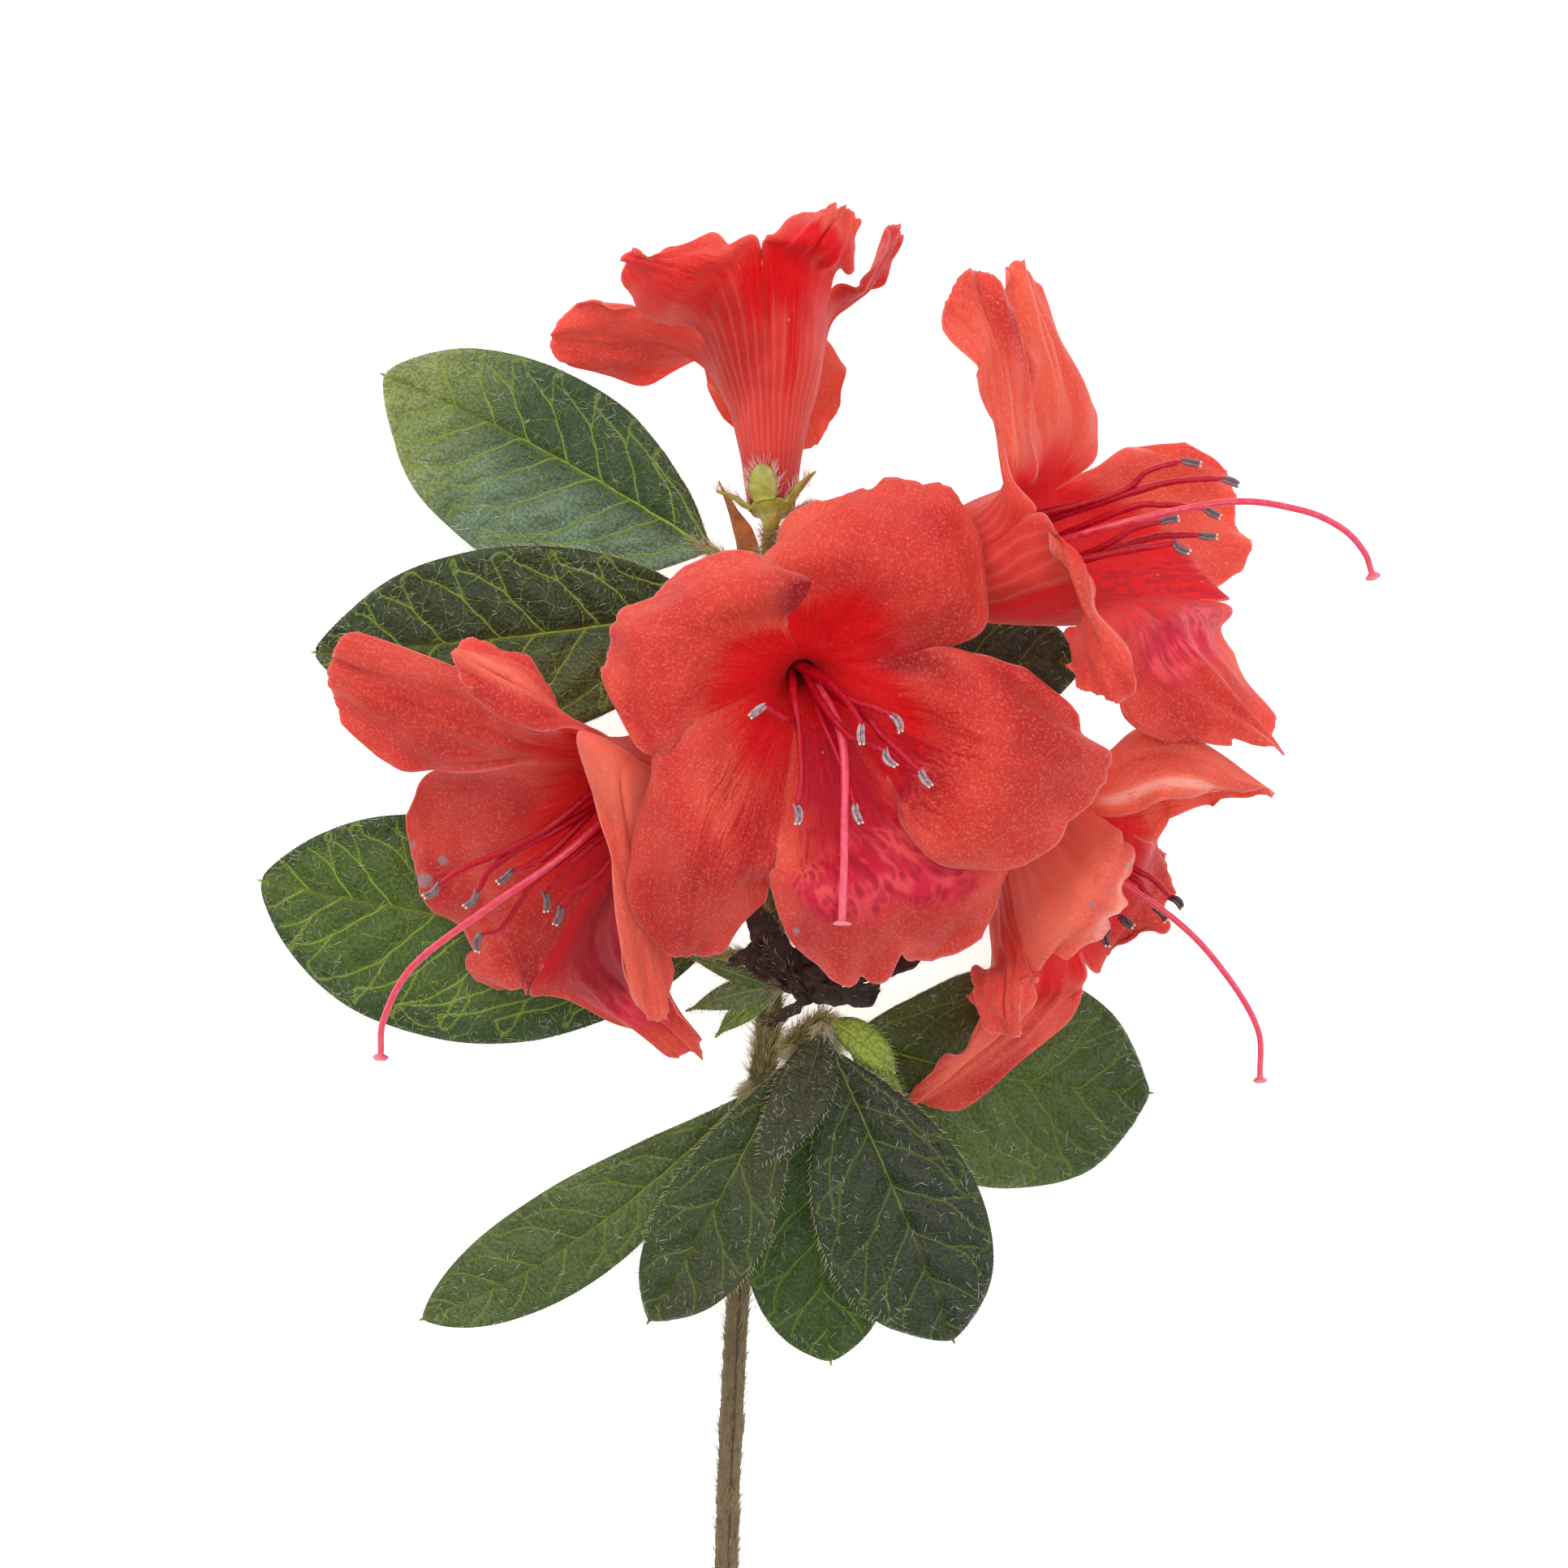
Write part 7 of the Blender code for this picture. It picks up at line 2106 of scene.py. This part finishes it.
# ---- stage --------------------------------------------------------------
def build_stage(settings):
    """a pale floor, soft studio light and a camera looking straight down."""
    scene = bpy.context.scene
    look = Shader("pale floor", 0.75)
    grain = look.noise(look.place(), 90.0, 3.0)
    look.colour(look.blend(look.remap(grain, 0.3, 0.7, 0.0, 0.06), settings.floor, (0.86, 0.86, 0.87)))
    look.surface.inputs["Emission Color"].default_value = (1.0, 1.0, 1.0, 1.0)
    look.surface.inputs["Emission Strength"].default_value = settings.glow
    # the lamps and the soft light do the lighting, so the floor isn't searched for as a lamp
    look.material.cycles.emission_sampling = "NONE"
    size = 1.5
    mesh = bpy.data.meshes.new("floor")
    corners = [(-size, -size, 0.0), (size, -size, 0.0), (size, size, 0.0), (-size, size, 0.0)]
    mesh.from_pydata(corners, [], [(0, 1, 2, 3)])
    mesh.materials.append(look.material)
    floor = bpy.data.objects.new("floor", mesh)
    scene.collection.objects.link(floor)
    floor.location = (0.0, 0.0, -0.00002)
    world = bpy.data.worlds.new("soft light")
    world.use_nodes = True
    background = world.node_tree.nodes["Background"]
    background.inputs[0].default_value = (1.0, 1.0, 1.0, 1.0)
    background.inputs[1].default_value = settings.fill
    scene.world = world
    lamps = (
        ("key light", (-0.5, 0.72, 0.92), 0.8, 0.66),
        ("side light", (0.95, 0.1, 0.9), 0.8, 0.3),
        ("front light", (0.15, 0.00, 1.6), 0.5, 0.5),
    )
    for name, place, breadth, power in lamps:
        data = bpy.data.lights.new(name, "AREA")
        data.energy = settings.key * power
        data.size = breadth
        lamp = bpy.data.objects.new(name, data)
        scene.collection.objects.link(lamp)
        lamp.location = place
        aim = Vector((0.0, 0.0, 0.02)) - Vector(place)
        lamp.rotation_euler = aim.to_track_quat("-Z", "Y").to_euler()
    data = bpy.data.cameras.new("camera")
    data.lens = settings.lens
    data.sensor_width = 36.0
    data.clip_start = 0.05
    data.clip_end = 10.0
    camera = bpy.data.objects.new("camera", data)
    scene.collection.objects.link(camera)
    camera.location = (settings.camera_across, settings.camera_along, settings.camera_height)
    scene.camera = camera
    scene.view_settings.view_transform = "Standard"


# ---- operators ----------------------------------------------------------
class BuildPetals(bpy.types.Operator):
    """Build the petals of all five blooms"""
    bl_idname = "sprig.petals"
    bl_label = "Petals"

    def execute(self, context):
        look = looks()["petal"]
        for name in BLOOMS:
            build_bloom(name, context.scene.sprig_petals, look)
        return {"FINISHED"}


class BuildStamens(bpy.types.Operator):
    """Build the stamens and styles of all five blooms"""
    bl_idname = "sprig.stamens"
    bl_label = "Stamens and styles"

    def execute(self, context):
        for name in BLOOMS:
            build_stamens(name, context.scene.sprig_stamens, looks())
        return {"FINISHED"}


class BuildStalks(bpy.types.Operator):
    """Build the flower stalks with their green lobes"""
    bl_idname = "sprig.stalks"
    bl_label = "Flower stalks"

    def execute(self, context):
        for name in BLOOMS:
            build_stalk(name, looks())
        return {"FINISHED"}


class BuildLeaves(bpy.types.Operator):
    """Build the leaves with their veins and hairs"""
    bl_idname = "sprig.leaves"
    bl_label = "Leaves"

    def execute(self, context):
        for name in LEAVES:
            build_leaf(name, context.scene.sprig_leaves, looks())
        return {"FINISHED"}


class BuildStem(bpy.types.Operator):
    """Build the stem and the side shoot with their hairs"""
    bl_idname = "sprig.stem"
    bl_label = "Stem"

    def execute(self, context):
        build_stem(context.scene.sprig_stem, looks())
        return {"FINISHED"}


class BuildRemains(bpy.types.Operator):
    """Build the withered strips and the rusty bud scale"""
    bl_idname = "sprig.remains"
    bl_label = "Withered remains"

    def execute(self, context):
        build_withered(looks())
        build_bud_scale(looks())
        return {"FINISHED"}


class BuildStage(bpy.types.Operator):
    """Set up the pale floor, the lights and the camera"""
    bl_idname = "sprig.stage"
    bl_label = "Stage"

    def execute(self, context):
        build_stage(context.scene.sprig_stage)
        return {"FINISHED"}


class SprigPanel(bpy.types.Panel):
    """Lists the parts of the sprig"""
    bl_idname = "VIEW3D_PT_sprig"
    bl_label = "Azalea sprig"
    bl_space_type = "VIEW_3D"
    bl_region_type = "UI"
    bl_category = "Sprig"

    def draw(self, context):
        for operator in OPERATORS:
            self.layout.operator(operator.bl_idname)
        for name, group in SETTINGS.items():
            settings = getattr(context.scene, name)
            box = self.layout.box()
            for setting in group.__annotations__:
                box.prop(settings, setting)


OPERATORS = (BuildPetals, BuildStamens, BuildStalks, BuildLeaves, BuildStem, BuildRemains, BuildStage)


def register():
    for group in SETTINGS.values():
        bpy.utils.register_class(group)
    for operator in OPERATORS:
        bpy.utils.register_class(operator)
    bpy.utils.register_class(SprigPanel)
    for name, group in SETTINGS.items():
        setattr(bpy.types.Scene, name, bpy.props.PointerProperty(type=group))


def unregister():
    for name in SETTINGS:
        delattr(bpy.types.Scene, name)
    bpy.utils.unregister_class(SprigPanel)
    for operator in reversed(OPERATORS):
        bpy.utils.unregister_class(operator)
    for group in reversed(list(SETTINGS.values())):
        bpy.utils.unregister_class(group)


def main():
    register()
    bpy.ops.sprig.petals()
    bpy.ops.sprig.stamens()
    bpy.ops.sprig.stalks()
    bpy.ops.sprig.leaves()
    bpy.ops.sprig.stem()
    bpy.ops.sprig.remains()
    bpy.ops.sprig.stage()
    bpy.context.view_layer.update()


if __name__ == "__main__":
    main()
